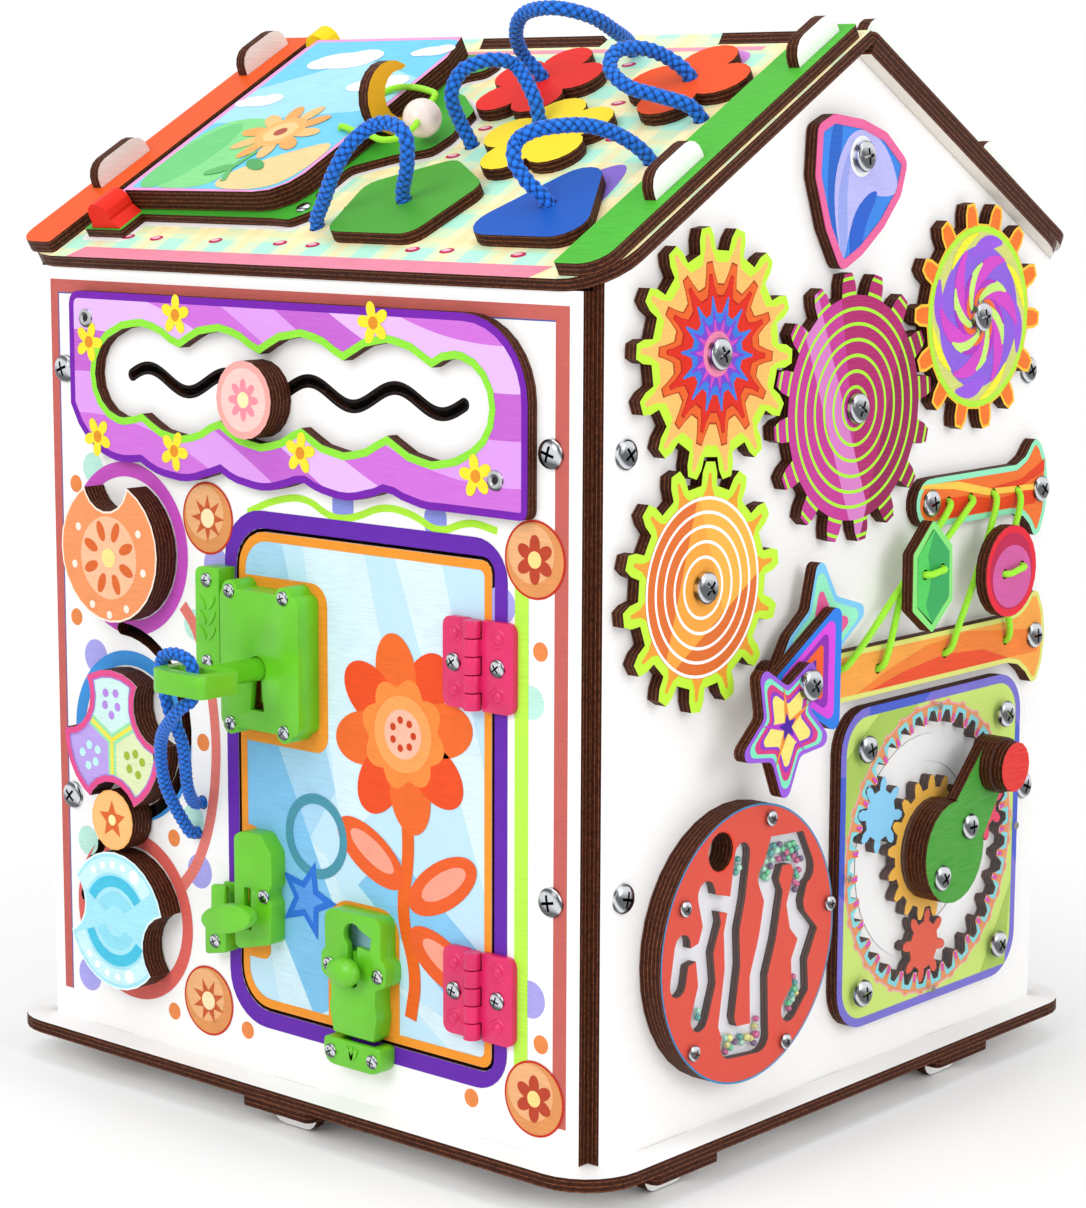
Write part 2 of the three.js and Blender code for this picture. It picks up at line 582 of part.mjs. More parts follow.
DISCS.forEach((c, i) => {
  const round = slab(circle(DISC_RADIUS, c), DISC_LIFT, DISC_LIFT + DISC_THICK);
  const bites = notches[i].map(([deg, out, r]) => slab(circle(r, towards(c, rad(deg), out)), 0, 2 * DISC_LIFT + DISC_THICK));
  piece(FRONT, discNames[i], spool(cut(round, ...bites), c, STUB, FLANGE, DISC_LIFT), discLooks[i]);
});
const runnerFace = slab(circle(RUNNER, runnerAt), DISC_LIFT, DISC_LIFT + DISC_THICK);
piece(FRONT, "runner_disc", spool(runnerFace, runnerAt, SMALL_STUB, RUNNER_FLANGE, DISC_LIFT), 0xf4b45a);

// Door, with a bore for the key
const BORE = 13;
const doorShape = softBox(
  doorX + DOOR_GAP, doorX + DOOR_WIDE - DOOR_GAP, doorZ + DOOR_GAP, doorZ + DOOR_HIGH - DOOR_GAP,
  doorCorners.map((r) => r - DOOR_GAP),
);
piece(FRONT, "door", slab(doorShape, -PLY, 0, [circle(BORE, KEY)]), 0xbee0f2);

const HINGE_INSET = 9;
const HINGE_HIGH = 39;
const HINGE_OFF = 4.3;
const BARREL = 4;
const HINGE_PIN = 1.5;
const HINGE_PIN_PLAY = 0.35;
const KNUCKLE_GAP = 0.6;
const LEAF_THICK = 3.4;
const LEAF_ROUND = 4;
const DOOR_LEAF = 18;
const WALL_LEAF = 22;
const WEB_OUT = 1.5;
const PIN_SHORT = 1;
const hingeUpShares = [0.7075, 0.0655];
const hingeX = doorX + DOOR_WIDE - HINGE_INSET;
function hingeLeaf(z0, side) {
  // side -1 is the leaf on the door, side 1 the leaf on the wall; five knuckles shared in turn
  const z1 = z0 + HINGE_HIGH;
  const along = HINGE_HIGH / 5;
  const near = BARREL + KNUCKLE_GAP;
  const leaf = side < 0
    ? softBox(hingeX - DOOR_LEAF, hingeX - near, z0, z1, [LEAF_ROUND, 0, 0, LEAF_ROUND])
    : softBox(hingeX + near, hingeX + WALL_LEAF, z0, z1, [0, LEAF_ROUND, LEAF_ROUND, 0]);
  const parts = [slab(leaf, 0, LEAF_THICK)];
  for (let i = 0; i < 5; i++) {
    if ((i % 2 === 0) !== side < 0) continue;
    const a = z0 + along * i + KNUCKLE_GAP / 2;
    const b = z0 + along * (i + 1) - KNUCKLE_GAP / 2;
    parts.push(standing(circle(BARREL, [hingeX, HINGE_OFF], 12), a, b));
    const web = side < 0 ? box(hingeX - near - WEB_OUT, hingeX, a, b) : box(hingeX, hingeX + near + WEB_OUT, a, b);
    parts.push(slab(web, KNUCKLE_GAP, LEAF_THICK));
  }
  const solid = join(...parts);
  if (side > 0) return cut(solid, standing(circle(HINGE_PIN + HINGE_PIN_PLAY, [hingeX, HINGE_OFF], 10), z0 - FUSE, z1 + FUSE));
  return join(solid, standing(circle(HINGE_PIN, [hingeX, HINGE_OFF], 8), z0 + PIN_SHORT, z1 - PIN_SHORT));
}
["upper", "lower"].forEach((n, i) => {
  const z0 = doorZ + hingeUpShares[i] * DOOR_HIGH;
  piece(FRONT, `hinge_${n}_door_leaf`, hingeLeaf(z0, -1), PINK, HARD);
  piece(FRONT, `hinge_${n}_wall_leaf`, hingeLeaf(z0, 1), PINK, HARD);
});

// Lock case, hollow at the back, with the key through its keyhole
const CASE_LEFT = 23.5;
const CASE_RIGHT = 26.5;
const CASE_DOWN = 28;
const CASE_UP = 35;
const CASE_DEEP = 13;
const CASE_TOP = 3;
const CASE_WALL = 2.5;
const CASE_END = 7;
const CASE_ROUND = 4;
const EAR = 5;
const KEYHOLE = 5.9;
const KEYHOLE_DOWN = 19;
const KEYHOLE_FOOT = 4.5;
const KEYHOLE_NECK = 2.4;
const earX = CASE_LEFT - EAR - CASE_WALL / 2;
const ears = [-1, 1].flatMap((s) => [
  [KEY[0] + s * earX, KEY[1] - CASE_DOWN + CASE_WALL / 2],
  [KEY[0] + s * earX, KEY[1] + CASE_UP - CASE_WALL / 2],
]);
const caseOut = softBox(KEY[0] - CASE_LEFT, KEY[0] + CASE_RIGHT, KEY[1] - CASE_DOWN, KEY[1] + CASE_UP, CASE_ROUND);
const caseRoom = softBox(
  KEY[0] - CASE_LEFT + CASE_WALL, KEY[0] + CASE_RIGHT - CASE_WALL,
  KEY[1] - CASE_DOWN + CASE_END, KEY[1] + CASE_UP - CASE_END, CASE_WALL,
);
const keySlot = [
  [KEY[0] - KEYHOLE_FOOT, KEY[1] - KEYHOLE_DOWN], [KEY[0] + KEYHOLE_FOOT, KEY[1] - KEYHOLE_DOWN],
  [KEY[0] + KEYHOLE_NECK, KEY[1]], [KEY[0] - KEYHOLE_NECK, KEY[1]],
];
const lockCase = cut(
  join(slab(caseOut, 0, CASE_DEEP), ...ears.map((c) => slab(circle(EAR, c), 0, CASE_DEEP))),
  slab(caseRoom, -FUSE, CASE_DEEP - CASE_TOP),
  slab(circle(KEYHOLE, KEY), 0, CASE_DEEP + FUSE),
  slab(keySlot, 0, CASE_DEEP + FUSE),
);
piece(FRONT, "lock_case", lockCase, GREEN, HARD);
const KEY_SHAFT = 5.4;
const KEY_FROM = 3;
const BOW_OUT = 39;
const BOW_HIGH = 24;
const BOW_THICK = 10;
const BOW_RIM = 6.5;
const BOW_HALF = 18;
const BIT_DOWN = 16;
const BIT_WIDE = 3.8;
const BIT_FROM = 4;
const BIT_TO = 8.5;
const BOW_ROUND = 9;
const BOW_SMALL_ROUND = 3;
const bowRounds = [BOW_ROUND, BOW_SMALL_ROUND, BOW_SMALL_ROUND, BOW_ROUND];
const bowOutline = softBox(KEY[0] - BOW_HALF, KEY[0] + BOW_HALF, BOW_OUT, BOW_OUT + BOW_HIGH, bowRounds);
const bowHole = softBox(
  KEY[0] - BOW_HALF + BOW_RIM, KEY[0] + BOW_HALF - BOW_RIM, BOW_OUT + BOW_RIM, BOW_OUT + BOW_HIGH - BOW_RIM, BOW_SMALL_ROUND,
);
piece(FRONT, "key", join(
  slab(circle(KEY_SHAFT, KEY), KEY_FROM, BOW_OUT + BOW_RIM / 2),
  cut(
    standing(bowOutline, KEY[1] - BOW_THICK / 2, KEY[1] + BOW_THICK / 2),
    standing(bowHole, KEY[1] - BOW_THICK, KEY[1] + BOW_THICK),
  ),
  slab(box(KEY[0] - BIT_WIDE / 2, KEY[0] + BIT_WIDE / 2, KEY[1] - BIT_DOWN, KEY[1]), BIT_FROM, BIT_TO),
), GREEN, HARD);

// Latch on the door: an oval handle turns a tongue behind the plate, here drawn back from its keeper
const HANDLE_IN = 14;
const HANDLE_UP = 47.5;
const HANDLE = [doorX + HANDLE_IN, doorZ + HANDLE_UP];
const LATCH_LONG = 56;
const latchShares = [
  [-0.1536, -0.3268], [0.2679, -0.2196], [0.2768, 0.1107], [0.2232, 0.1821], [0.2857, 0.2714],
  [0.2768, 0.5393], [0.1518, 0.6821], [-0.0714, 0.6732], [-0.1536, 0.6286],
];
const LATCH_ROUND = 3;
const LATCH_DEEP = 9;
const LATCH_FRONT = 3;
const LATCH_SLOT_PLAY = 0.4;
const STEM = 2;
const SLOT_DOWN = 7.8;
const SLOT_UP = 12;
const ROOM_DOWN = 8;
const ROOM_UP = 22.5;
const ROOM_RIGHT = 11;
const TONGUE_LONG = 20;
const ROOM_LEFT = 24;
const TONGUE_WIDE = 6;
const TONGUE_FROM = 2;
const TONGUE_THICK = 3.3;
const TONGUE_HUB = 5.5;
const HANDLE_HALF = 16.5;
const HANDLE_NARROW = 6.6;
const HANDLE_FROM = 18;
const HANDLE_THICK = 5;
const HANDLE_TILT = 12;
const latchOutline = rounded(scaled(latchShares, LATCH_LONG, HANDLE), LATCH_ROUND);
const latchPlate = cut(
  slab(latchOutline, 0, LATCH_DEEP),
  slab(box(HANDLE[0] - ROOM_LEFT, HANDLE[0] + ROOM_RIGHT, HANDLE[1] - ROOM_DOWN, HANDLE[1] + ROOM_UP), -FUSE, LATCH_DEEP - LATCH_FRONT),
  slab(
    softBox(
      HANDLE[0] - STEM - LATCH_SLOT_PLAY, HANDLE[0] + STEM + LATCH_SLOT_PLAY,
      HANDLE[1] - SLOT_DOWN, HANDLE[1] + SLOT_UP, STEM / 2,
    ),
    0, LATCH_DEEP + FUSE,
  ),
);
piece(FRONT, "latch_plate", latchPlate, GREEN, HARD);
const KEEPER_LONG = 34;
const latchKeeperShares = [
  [0, -0.4029], [0, 0.5353], [-0.2735, 0.5059], [-0.2882, -0.0294], [-0.4059, -0.1029],
  [-0.4059, -0.4941],
];
const KEEPER_ROUND = 1.5;
const KEEPER_BASE = 1.4;
const KEEPER_ROOM_DOWN = 5.3;
const KEEPER_ROOM_UP = 40;
const KEEPER_ROOM_LONG = 10;
const KEEPER_BELOW = 7.8;
const keeperSpot = [keeperRight, HANDLE[1] - KEEPER_BELOW];
const latchKeeperOutline = rounded([...scaled(latchKeeperShares, KEEPER_LONG, keeperSpot)].reverse(), KEEPER_ROUND);
const latchKeeper = cut(
  slab(latchKeeperOutline, 0, LATCH_DEEP),
  slab(
    box(keeperRight - KEEPER_ROOM_LONG, keeperRight + FUSE, HANDLE[1] - KEEPER_ROOM_DOWN, HANDLE[1] + KEEPER_ROOM_UP),
    KEEPER_BASE, LATCH_DEEP - LATCH_FRONT,
  ),
);
piece(FRONT, "latch_keeper", latchKeeper, GREEN, HARD);
const ellipse = (a, b, at, tilt, sides) => circle(1, [0, 0], sides).map(([x, y]) => {
  const [u, v] = [x * a, y * b];
  return [at[0] + u * Math.cos(tilt) - v * Math.sin(tilt), at[1] + u * Math.sin(tilt) + v * Math.cos(tilt)];
});
piece(FRONT, "turn_knob", join(
  slab(ellipse(HANDLE_HALF, HANDLE_NARROW, HANDLE, rad(HANDLE_TILT), 28), HANDLE_FROM, HANDLE_FROM + HANDLE_THICK),
  slab(circle(STEM, HANDLE, 14), TONGUE_FROM + FUSE, HANDLE_FROM + FUSE),
  slab(circle(TONGUE_HUB, HANDLE), TONGUE_FROM, TONGUE_FROM + TONGUE_THICK),
  slab(box(HANDLE[0] - TONGUE_WIDE / 2, HANDLE[0] + TONGUE_WIDE / 2, HANDLE[1], HANDLE[1] + TONGUE_LONG), TONGUE_FROM, TONGUE_FROM + TONGUE_THICK),
), GREEN, HARD);

// Sliding bolt at the foot of the door, drawn back, with its keeper on the wall below
const BOLT_IN = 82;
const BOLT_UP = 34.4;
const BOLT = [doorX + BOLT_IN, doorZ + BOLT_UP];
const BOLT_LONG = 56;
const boltShares = [
  [-0.2143, -0.5482], [0.2232, -0.5482], [0.2589, -0.3696], [0.2429, -0.2625], [0.2429, -0.1375],
  [0.3607, -0.0839], [0.3607, 0.0768], [0.3036, 0.1304], [0.3071, 0.4518], [-0.3107, 0.4518],
  [-0.3036, 0.1304], [-0.35, 0.0768], [-0.35, -0.0839], [-0.2429, -0.1375], [-0.2393, -0.2625],
  [-0.2571, -0.3518],
];
const boltRounds = [1, 1, 1, 1, 2, 4, 4, 2, 5, 5, 2, 4, 4, 2, 1, 1];
const BOLT_DEEP = 10;
const BOLT_FRONT = 3;
const BED_HALF = 10;
const BED_PLAY = 0.4;
const BED_UP = 22;
const BOLT_DOWN = 38;
const TONGUE_UP = 7;
const BOLT_LIFT = 0.3;
const WINDOW = 5.6;
const WINDOW_UP = 15.3;
const WINDOW_SLOT = 3;
const WINDOW_DOWN = 5.7;
const WEDGE_LONG = 11.5;
const wedgeShares = [[0, -0.3826], [0.9217, -0.4696], [1, 0.0348], [0, 0.4522]];
const windowAt = [BOLT[0], BOLT[1] + WINDOW_UP];
const boltCase = cut(
  slab(rounded(scaled(boltShares, BOLT_LONG, BOLT), boltRounds), 0, BOLT_DEEP),
  slab(box(BOLT[0] - BED_HALF - BED_PLAY, BOLT[0] + BED_HALF + BED_PLAY, BOLT[1] - BOLT_DOWN, BOLT[1] + BED_UP), -FUSE, BOLT_DEEP - BOLT_FRONT),
  slab(circle(WINDOW, windowAt), 0, BOLT_DEEP + FUSE),
  slab(band([[BOLT[0], BOLT[1] - WINDOW_DOWN], windowAt], WINDOW_SLOT), 0, BOLT_DEEP + FUSE),
  slab(scaled(wedgeShares, WEDGE_LONG, windowAt), 0, BOLT_DEEP + FUSE),
);
piece(FRONT, "bolt_case", boltCase, GREEN, HARD);
const BOLT_KEEPER_WIDE = 35;
const BOLT_KEEPER_HIGH = 12.6;
const BOLT_KEEPER_LEFT = 18.5;
const BOLT_KEEPER_ROUND = 6;
const BOLT_KEEPER_TOP_ROUND = 2;
const BOLT_KEEPER_FLOOR = 4;
const BOLT_KEEPER_OFF = 0.2;
const boltKeeperTop = doorZ + DOOR_GAP - DOOR_GAP / 2 - BOLT_KEEPER_OFF;
const boltKeeperLow = boltKeeperTop - BOLT_KEEPER_HIGH;
const boltKeeperX = BOLT[0] - BOLT_KEEPER_LEFT;
const boltKeeper = cut(
  slab(
    softBox(
      boltKeeperX, boltKeeperX + BOLT_KEEPER_WIDE, boltKeeperLow, boltKeeperTop,
      [BOLT_KEEPER_ROUND, BOLT_KEEPER_ROUND, BOLT_KEEPER_TOP_ROUND, BOLT_KEEPER_TOP_ROUND],
    ),
    0, BOLT_DEEP,
  ),
  slab(
    box(BOLT[0] - BED_HALF - BED_PLAY, BOLT[0] + BED_HALF + BED_PLAY, boltKeeperLow + BOLT_KEEPER_FLOOR, boltKeeperTop + FUSE),
    -FUSE, BOLT_DEEP - BOLT_FRONT,
  ),
);
piece(FRONT, "bolt_keeper", boltKeeper, GREEN, HARD);
const BALL_ACROSS = 9.4;
const BALL_UP = 6.8;
const BALL_OUT = 5.2;
const BALL_AT = 15.8;
const ballRings = [0, 18, 36, 54, 72, 90, 108, 126, 144, 162, 180];
const ballProfile = ballRings.map((d) => [d % 180 === 0 ? 0 : Math.sin(rad(d)), -Math.cos(rad(d))]);
const ballGeometry = new THREE.LatheGeometry(vec(ballProfile), 20)
  .applyMatrix4(basis(X, Z, minus(Y)))
  .scale(BALL_ACROSS, BALL_UP, BALL_OUT)
  .translate(BOLT[0], BOLT[1], BALL_AT);
const boltLow = doorZ + DOOR_GAP + BOLT_LIFT;
piece(FRONT, "bolt_slider", join(
  slab(softBox(BOLT[0] - BED_HALF, BOLT[0] + BED_HALF, boltLow, BOLT[1] + TONGUE_UP, FUSE), BOLT_LIFT, BOLT_DEEP - BOLT_FRONT - BOLT_LIFT),
  slab(circle(SMALL_STUB, BOLT, 14), BOLT_DEEP - BOLT_FRONT - 2 * BOLT_LIFT, BALL_AT),
  solidOf(ballGeometry),
), GREEN, HARD);

// Gear wall: four gears in mesh, a petal, and three pieces on one pin
piece(RIGHT, "gear_upper_left", wallGear(TEETH[0], A1, G1), 0xe8432a);
piece(RIGHT, "gear_centre", wallGear(TEETH[1], A2, G2), 0xc8267e);
piece(RIGHT, "gear_right", wallGear(TEETH[2], A3, G3), 0xef6a36);
piece(RIGHT, "gear_lower_left", wallGear(TEETH[3], A4, G4), 0xf4b24a);
const pinHole = (c) => [circle(PIN + PIN_PLAY, c)];
const petalOutline = rounded(scaled(petalShares, PETAL_LONG, PETAL_PIN), PETAL_ROUND);
piece(RIGHT, "petal_swinger", slab(petalOutline, TURN_GAP, TURN_GAP + PLY, pinHole(PETAL_PIN)), 0x3a78e0);

const LOW_STAR_LONG = 78;
const lowStarShares = [
  [0.3, 0.7141], [0.2115, 0.3756], [0.0359, 0.2474], [-0.0846, 0.0667], [-0.0667, -0.0731],
  [0.0423, -0.1038], [0.1577, -0.0231], [0.2872, -0.1064], [0.491, -0.2795], [0.5295, 0.1346],
  [0.8179, 0.3295], [0.4782, 0.4269],
];
const LOW_STAR_ROUND = 4;
const TRIANGLE_LONG = 53.5;
const triangleShares = [[0.6131, 0.6206], [-0.3869, 0.028], [0.6037, -0.5196]];
const TRIANGLE_ROUND = 4.4;
const STAR_OUT = 37;
const STAR_IN = 17.5;
const STAR_ROUND = 4;
const STAR_TURN = -91;
const starShares = [[-0.4108, -0.4378]];
const starCentre = scaled(starShares, STAR_OUT, STAR_PIN)[0];
const starPoints = [];
for (let i = 0; i < 10; i++) {
  starPoints.push(towards(starCentre, rad(STAR_TURN + 36 * i), i % 2 === 0 ? STAR_OUT : STAR_IN));
}
const onPin = (outline, i) => slab(outline, layer(i), layer(i) + PLATE_THICK, pinHole(STAR_PIN));
piece(RIGHT, "star_blue", onPin(rounded(scaled(lowStarShares, LOW_STAR_LONG, STAR_PIN), LOW_STAR_ROUND), 0), 0x7cc8f4);
piece(RIGHT, "triangle", onPin(rounded(scaled(triangleShares, TRIANGLE_LONG, STAR_PIN), TRIANGLE_ROUND), 1), 0x2f78e0);
piece(RIGHT, "star_purple", onPin(rounded(starPoints, STAR_ROUND), 2), 0x9a62d4);

// Two lacing bars and the two buttons that hang in the lace
const UPPER_BAR_END = 11.5;
const LOWER_BAR_END = 11.4;
const BAR_ROUND = 3;
const upperBarOutlineShares = [
  [0, -0.1122], [0.6927, -0.1122], [0.7902, -0.1307], [0.8488, -0.1756], [0.8927, -0.239],
  [0.9366, -0.2244], [0.9805, -0.1366], [1.0049, -0.0098], [0.9805, 0.1171], [0.9366, 0.1951],
  [0.8878, 0.2341], [0.8488, 0.2049], [0.8, 0.1512], [0.722, 0.1171], [0, 0.1122],
];
const lowerBarOutlineShares = [
  [0, -0.0642], [0.8156, -0.0642], [0.8659, -0.0749], [0.905, -0.1006], [0.9385, -0.1363],
  [0.9637, -0.1285], [0.9888, -0.0782], [1, -0.0056], [0.9888, 0.0615], [0.9609, 0.1162],
  [0.9307, 0.1196], [0.8994, 0.0894], [0.8659, 0.0715], [0.8156, 0.0637], [0, 0.0637],
];
const bar = (shares, long, at, end, holes) => cut(
  join(slab(rounded(scaled(shares, long, at), BAR_ROUND), 0, PLY), slab(circle(end, at), 0, PLY)),
  ...laceHoles(holes).map((h) => slab(h, -FUSE, PLY + FUSE)),
);
piece(RIGHT, "lace_bar_upper", bar(upperBarOutlineShares, UPPER_BAR_LONG, UPPER_BAR, UPPER_BAR_END, LACE_UP), 0xf08040);
piece(RIGHT, "lace_bar_lower", bar(lowerBarOutlineShares, LOWER_BAR_LONG, LOWER_BAR, LOWER_BAR_END, LACE_LOW), 0xf49a48);
const BUTTON_FROM = 14;
const HEX_HIGH = 52.5;
const hexPlaceShares = [0.1251, 0.6267];
const HEX = onWall(hexPlaceShares);
const hexShares = [
  [0, -0.5029], [0.3124, -0.2419], [0.2895, 0.2438], [-0.0152, 0.4971], [-0.3162, 0.221],
  [-0.3124, -0.28],
];
const hexHoleShares = [[-0.1295, 0.0248], [0.1371, 0.0533]];
const HEX_ROUND = 2;
const ROUND_BUTTON = 22;
const roundPlaceShares = [0.3157, 0.6134];
const ROUND = onWall(roundPlaceShares);
const roundHoleShares = [[-0.2727, -0.0364], [0.4091, 0.0773]];
piece(RIGHT, "button_hexagon", slab(
  rounded(scaled(hexShares, HEX_HIGH, HEX), HEX_ROUND), BUTTON_FROM, BUTTON_FROM + PLY, laceHoles(scaled(hexHoleShares, HEX_HIGH, HEX)),
), 0x48c060);
piece(RIGHT, "button_round", slab(
  circle(ROUND_BUTTON, ROUND), BUTTON_FROM, BUTTON_FROM + PLY, laceHoles(scaled(roundHoleShares, ROUND_BUTTON, ROUND)),
), 0xe02a3c);

// Round bead maze that turns on a stub behind it
const MAZE_DEEP = 12;
const FINGER_HOLE = 8.7;
const thumbHoleShares = [-0.3468, 0.7258];
const channelShares = [
  [0.0887, [[-0.7581, 0.129], [-0.8065, -0.129]]],
  [0.0581, [[-0.7419, 0.0323], [-0.4839, 0.0806]]],
  [0.0968, [[-0.5, 0.4516], [-0.4355, 0.2258], [-0.5161, 0.0323], [-0.4839, -0.1935], [-0.5645, -0.4194]]],
  [0.0581, [[-0.4516, 0.3871], [-0.1613, 0.3065]]],
  [0.0887, [
  [-0.0968, 0.6613], [-0.1452, 0.3548], [-0.2097, 0.129], [-0.1935, -0.129], [-0.2581, -0.5161],
  [-0.1774, -0.6935],
]],
  [0.1129, [[-0.2097, -0.6774], [0.129, -0.7097]]],
  [0.1048, [[0.1935, 0.4516], [0.2742, 0.2903], [0.2097, 0], [0.1129, -0.2581], [0.129, -0.6774]]],
  [0.1129, [[0.2258, 0.4355], [0.3065, 0.6129], [0.5484, 0.5968], [0.6452, 0.4194]]],
  [0.0968, [
  [0.629, 0.4677], [0.5323, 0.1935], [0.5645, 0.0645], [0.6935, -0.0645], [0.5968, -0.2419],
  [0.6129, -0.4516], [0.4839, -0.5806],
]],
];
const channels = channelShares.map(([wide, line]) => band(scaled(line, MAZE_R, MAZE), wide * MAZE_R));
const mazeDisc = cut(
  slab(circle(MAZE_R, MAZE), TURN_GAP, MAZE_DEEP, [circle(FINGER_HOLE, scaled([thumbHoleShares], MAZE_R, MAZE)[0])]),
  ...channels.map((c) => slab(c, 0, MAZE_DEEP + FUSE)),
);
const MAZE_HUB = 6;
piece(RIGHT, "bead_maze", spool(join(mazeDisc, slab(circle(MAZE_HUB, MAZE), TURN_GAP, MAZE_DEEP)), MAZE, STUB, FLANGE, TURN_GAP), 0xe8583a);

// Planetary gearbox: toothed frame, clear cover, sun with crank, three planets
const BOX_MODULE = 3.8;
const SUN_TEETH = 17;
const PLANET_TEETH = 8;
const RING_TEETH = 33;
const RING_TOOTH = 178.05;
const SUN_TOOTH = 89;
const BOX_PRESS = 25;
const BOX_ADDENDUM = 2.6;
const BOX_DEDENDUM = 3.35;
const BOX_SLACK = 0.45;
const BOX_ROUND = 20;
const PLANET_THICK = 5.1;
const COVER_THICK = 3;
const planetAxis = (BOX_MODULE * (SUN_TEETH + PLANET_TEETH)) / 2;
const ringA = rad(RING_TOOTH);
const sunA = rad(SUN_TOOTH);
const spots = [153.4, 268.2, 15].map((deg) => {
  const start = RING_TEETH * ringA + SUN_TEETH * sunA - (PLANET_TEETH - 1) * Math.PI;
  const all = RING_TEETH + SUN_TEETH;
  return (start + 2 * Math.PI * Math.round((all * rad(deg) - start) / (2 * Math.PI))) / all;
});
const boxOutline = softBox(
  GEARBOX[0] - GEARBOX_HALF, GEARBOX[0] + GEARBOX_HALF, GEARBOX[1] - GEARBOX_HALF, GEARBOX[1] + GEARBOX_HALF, BOX_ROUND,
);
const ringHole = gearOutline(RING_TEETH, BOX_MODULE, ringA, BOX_DEDENDUM, BOX_ADDENDUM, -BOX_SLACK, BOX_PRESS, SUN);
piece(RIGHT, "gearbox_frame", slab(boxOutline, 0, PLY, [ringHole]), 0xcfe56b);
const DRUM = 24.5;
const DRUM_PLAY = 0.8;
const DRUM_OUT = 14;
const ARM_WIDE = 16;
const ARM_ROOT = 18;
const ARM_THICK = 6;
const CRANK_END = 13.5;
const CRANK_KNOB = 12;
const CRANK_KNOB_HIGH = 6;
const CRANK_LONG = 49.3;
const CRANK_TURN = 49.53;
piece(RIGHT, "gearbox_cover", slab(boxOutline, PLY, PLY + COVER_THICK, [circle(DRUM + DRUM_PLAY, SUN)]), 0xe8f4f8, 0.1);
const sunOutline = gearOutline(SUN_TEETH, BOX_MODULE, sunA, BOX_ADDENDUM, BOX_DEDENDUM, BOX_SLACK, BOX_PRESS, SUN);
const armDir = rad(CRANK_TURN);
const crankEnd = towards(SUN, armDir, CRANK_LONG);
const armRoot = towards(SUN, armDir, ARM_ROOT);
const lean = Math.asin((ARM_WIDE - CRANK_END) / (CRANK_LONG - ARM_ROOT));
const armSide = (at, r, s) => towards(at, armDir + s * (Math.PI / 2 - lean), r);
const arm = [armSide(armRoot, ARM_WIDE, -1), armSide(crankEnd, CRANK_END, -1), armSide(crankEnd, CRANK_END, 1), armSide(armRoot, ARM_WIDE, 1)];
const armTop = DRUM_OUT + ARM_THICK;
const step = PLANET_THICK + TURN_GAP;
const crankSolid = join(
  slab(sunOutline, TURN_GAP, step),
  slab(circle(DRUM, SUN), step - FUSE, armTop),
  slab(arm, DRUM_OUT, armTop),
  slab(circle(CRANK_END, crankEnd), DRUM_OUT, armTop + CRANK_KNOB_HIGH),
  slab(circle(CRANK_KNOB, crankEnd), armTop + CRANK_KNOB_HIGH - FUSE, armTop + 2 * CRANK_KNOB_HIGH),
);
piece(RIGHT, "crank_and_sun_gear", spool(crankSolid, SUN, STUB, FLANGE, TURN_GAP), 0x3e9a36);
const CARRIER_IN = 41;
const CARRIER_OUT = 54;
const CARRIER_PIN = 2;
const CARRIER_PIN_HIGH = 3;
const CARRIER_FROM = 0.1;
const CARRIER_THICK = 0.3;
const carrierTop = CARRIER_FROM + CARRIER_THICK;
piece(RIGHT, "planet_carrier", join(
  slab(circle(CARRIER_OUT, SUN), CARRIER_FROM, carrierTop, [circle(CARRIER_IN, SUN)]),
  ...spots.map((b) => slab(circle(CARRIER_PIN, towards(SUN, b, planetAxis), 10), CARRIER_FROM, carrierTop + CARRIER_PIN_HIGH)),
), WHITE);
const planetLooks = { blue: 0x62bde8, red: 0xeb5a3c, pink: 0xe8426a };
Object.keys(planetLooks).forEach((n, i) => {
  const b = spots[i];
  const a = b + (RING_TEETH * (ringA - b)) / PLANET_TEETH;
  const at = towards(SUN, b, planetAxis);
  const outline = gearOutline(PLANET_TEETH, BOX_MODULE, a, BOX_ADDENDUM, BOX_DEDENDUM, BOX_SLACK, BOX_PRESS, at);
  const blind = slab(circle(CARRIER_PIN + PIN_PLAY, at, 12), 0, carrierTop + CARRIER_PIN_HIGH + TURN_GAP);
  piece(RIGHT, `planet_gear_${n}`, cut(slab(outline, TURN_GAP, step), blind), planetLooks[n]);
});

// Roof: a flip board in its base with two posts
const BOARD_LONG = 147;
const FLIP_MARGIN = 5.5;
const FLIP_LONG = BOARD_LONG + FLIP_MARGIN;
const flipPlaceShares = [-0.3843, -0.8395];
const FLIP = onRoof(flipPlaceShares);
const BASE_THICK = 4.2;
const flipBaseShares = [
  [-0.023, 0], [0.6656, 0], [0.7377, -0.0066], [0.7967, 0.0525], [0.7705, 0.1049], [0.7246, 0.1311],
  [0.7246, 0.3016], [0.8492, 0.3738], [0.9672, 0.4131], [0.9836, 0.4918], [0.9607, 0.6426],
  [0.8492, 0.7344], [0.7246, 0.7869], [0.7246, 0.8656], [0.8033, 0.8918], [0.8164, 0.9574],
  [0.7508, 1.0033], [0.6656, 1], [-0.023, 1],
];
const FLIP_ROUND = 5;
const boardShares = [
  [0.0272, 0], [0.6088, 0.0068], [0.6701, 0.0204], [0.7177, 0.0646], [0.7367, 0.1259],
  [0.7408, 0.4524], [0.7381, 0.8605], [0.6905, 1], [0.0272, 1],
];
const BOARD_AT = 3.5;
const BOARD_FROM = 10.9;
const BOARD_THICK = 10.1;
const BOARD_AXIS = 16;
const boardSpot = [FLIP[0], FLIP[1] + BOARD_AT];
const POST_WIDE_DOWN = 15.8;
const POST_WIDE_UP = 10.2;
const POST_ROUND = 7.2;
const POST_PIN = 2.6;
const POST_PIN_PLAY = 0.4;
const POST_GAP = 1.3;
const POST_LEFT = 9;
const POST_RIGHT = 12;
const POST_NECK = 5.5;
const POST_PLATE = 13;
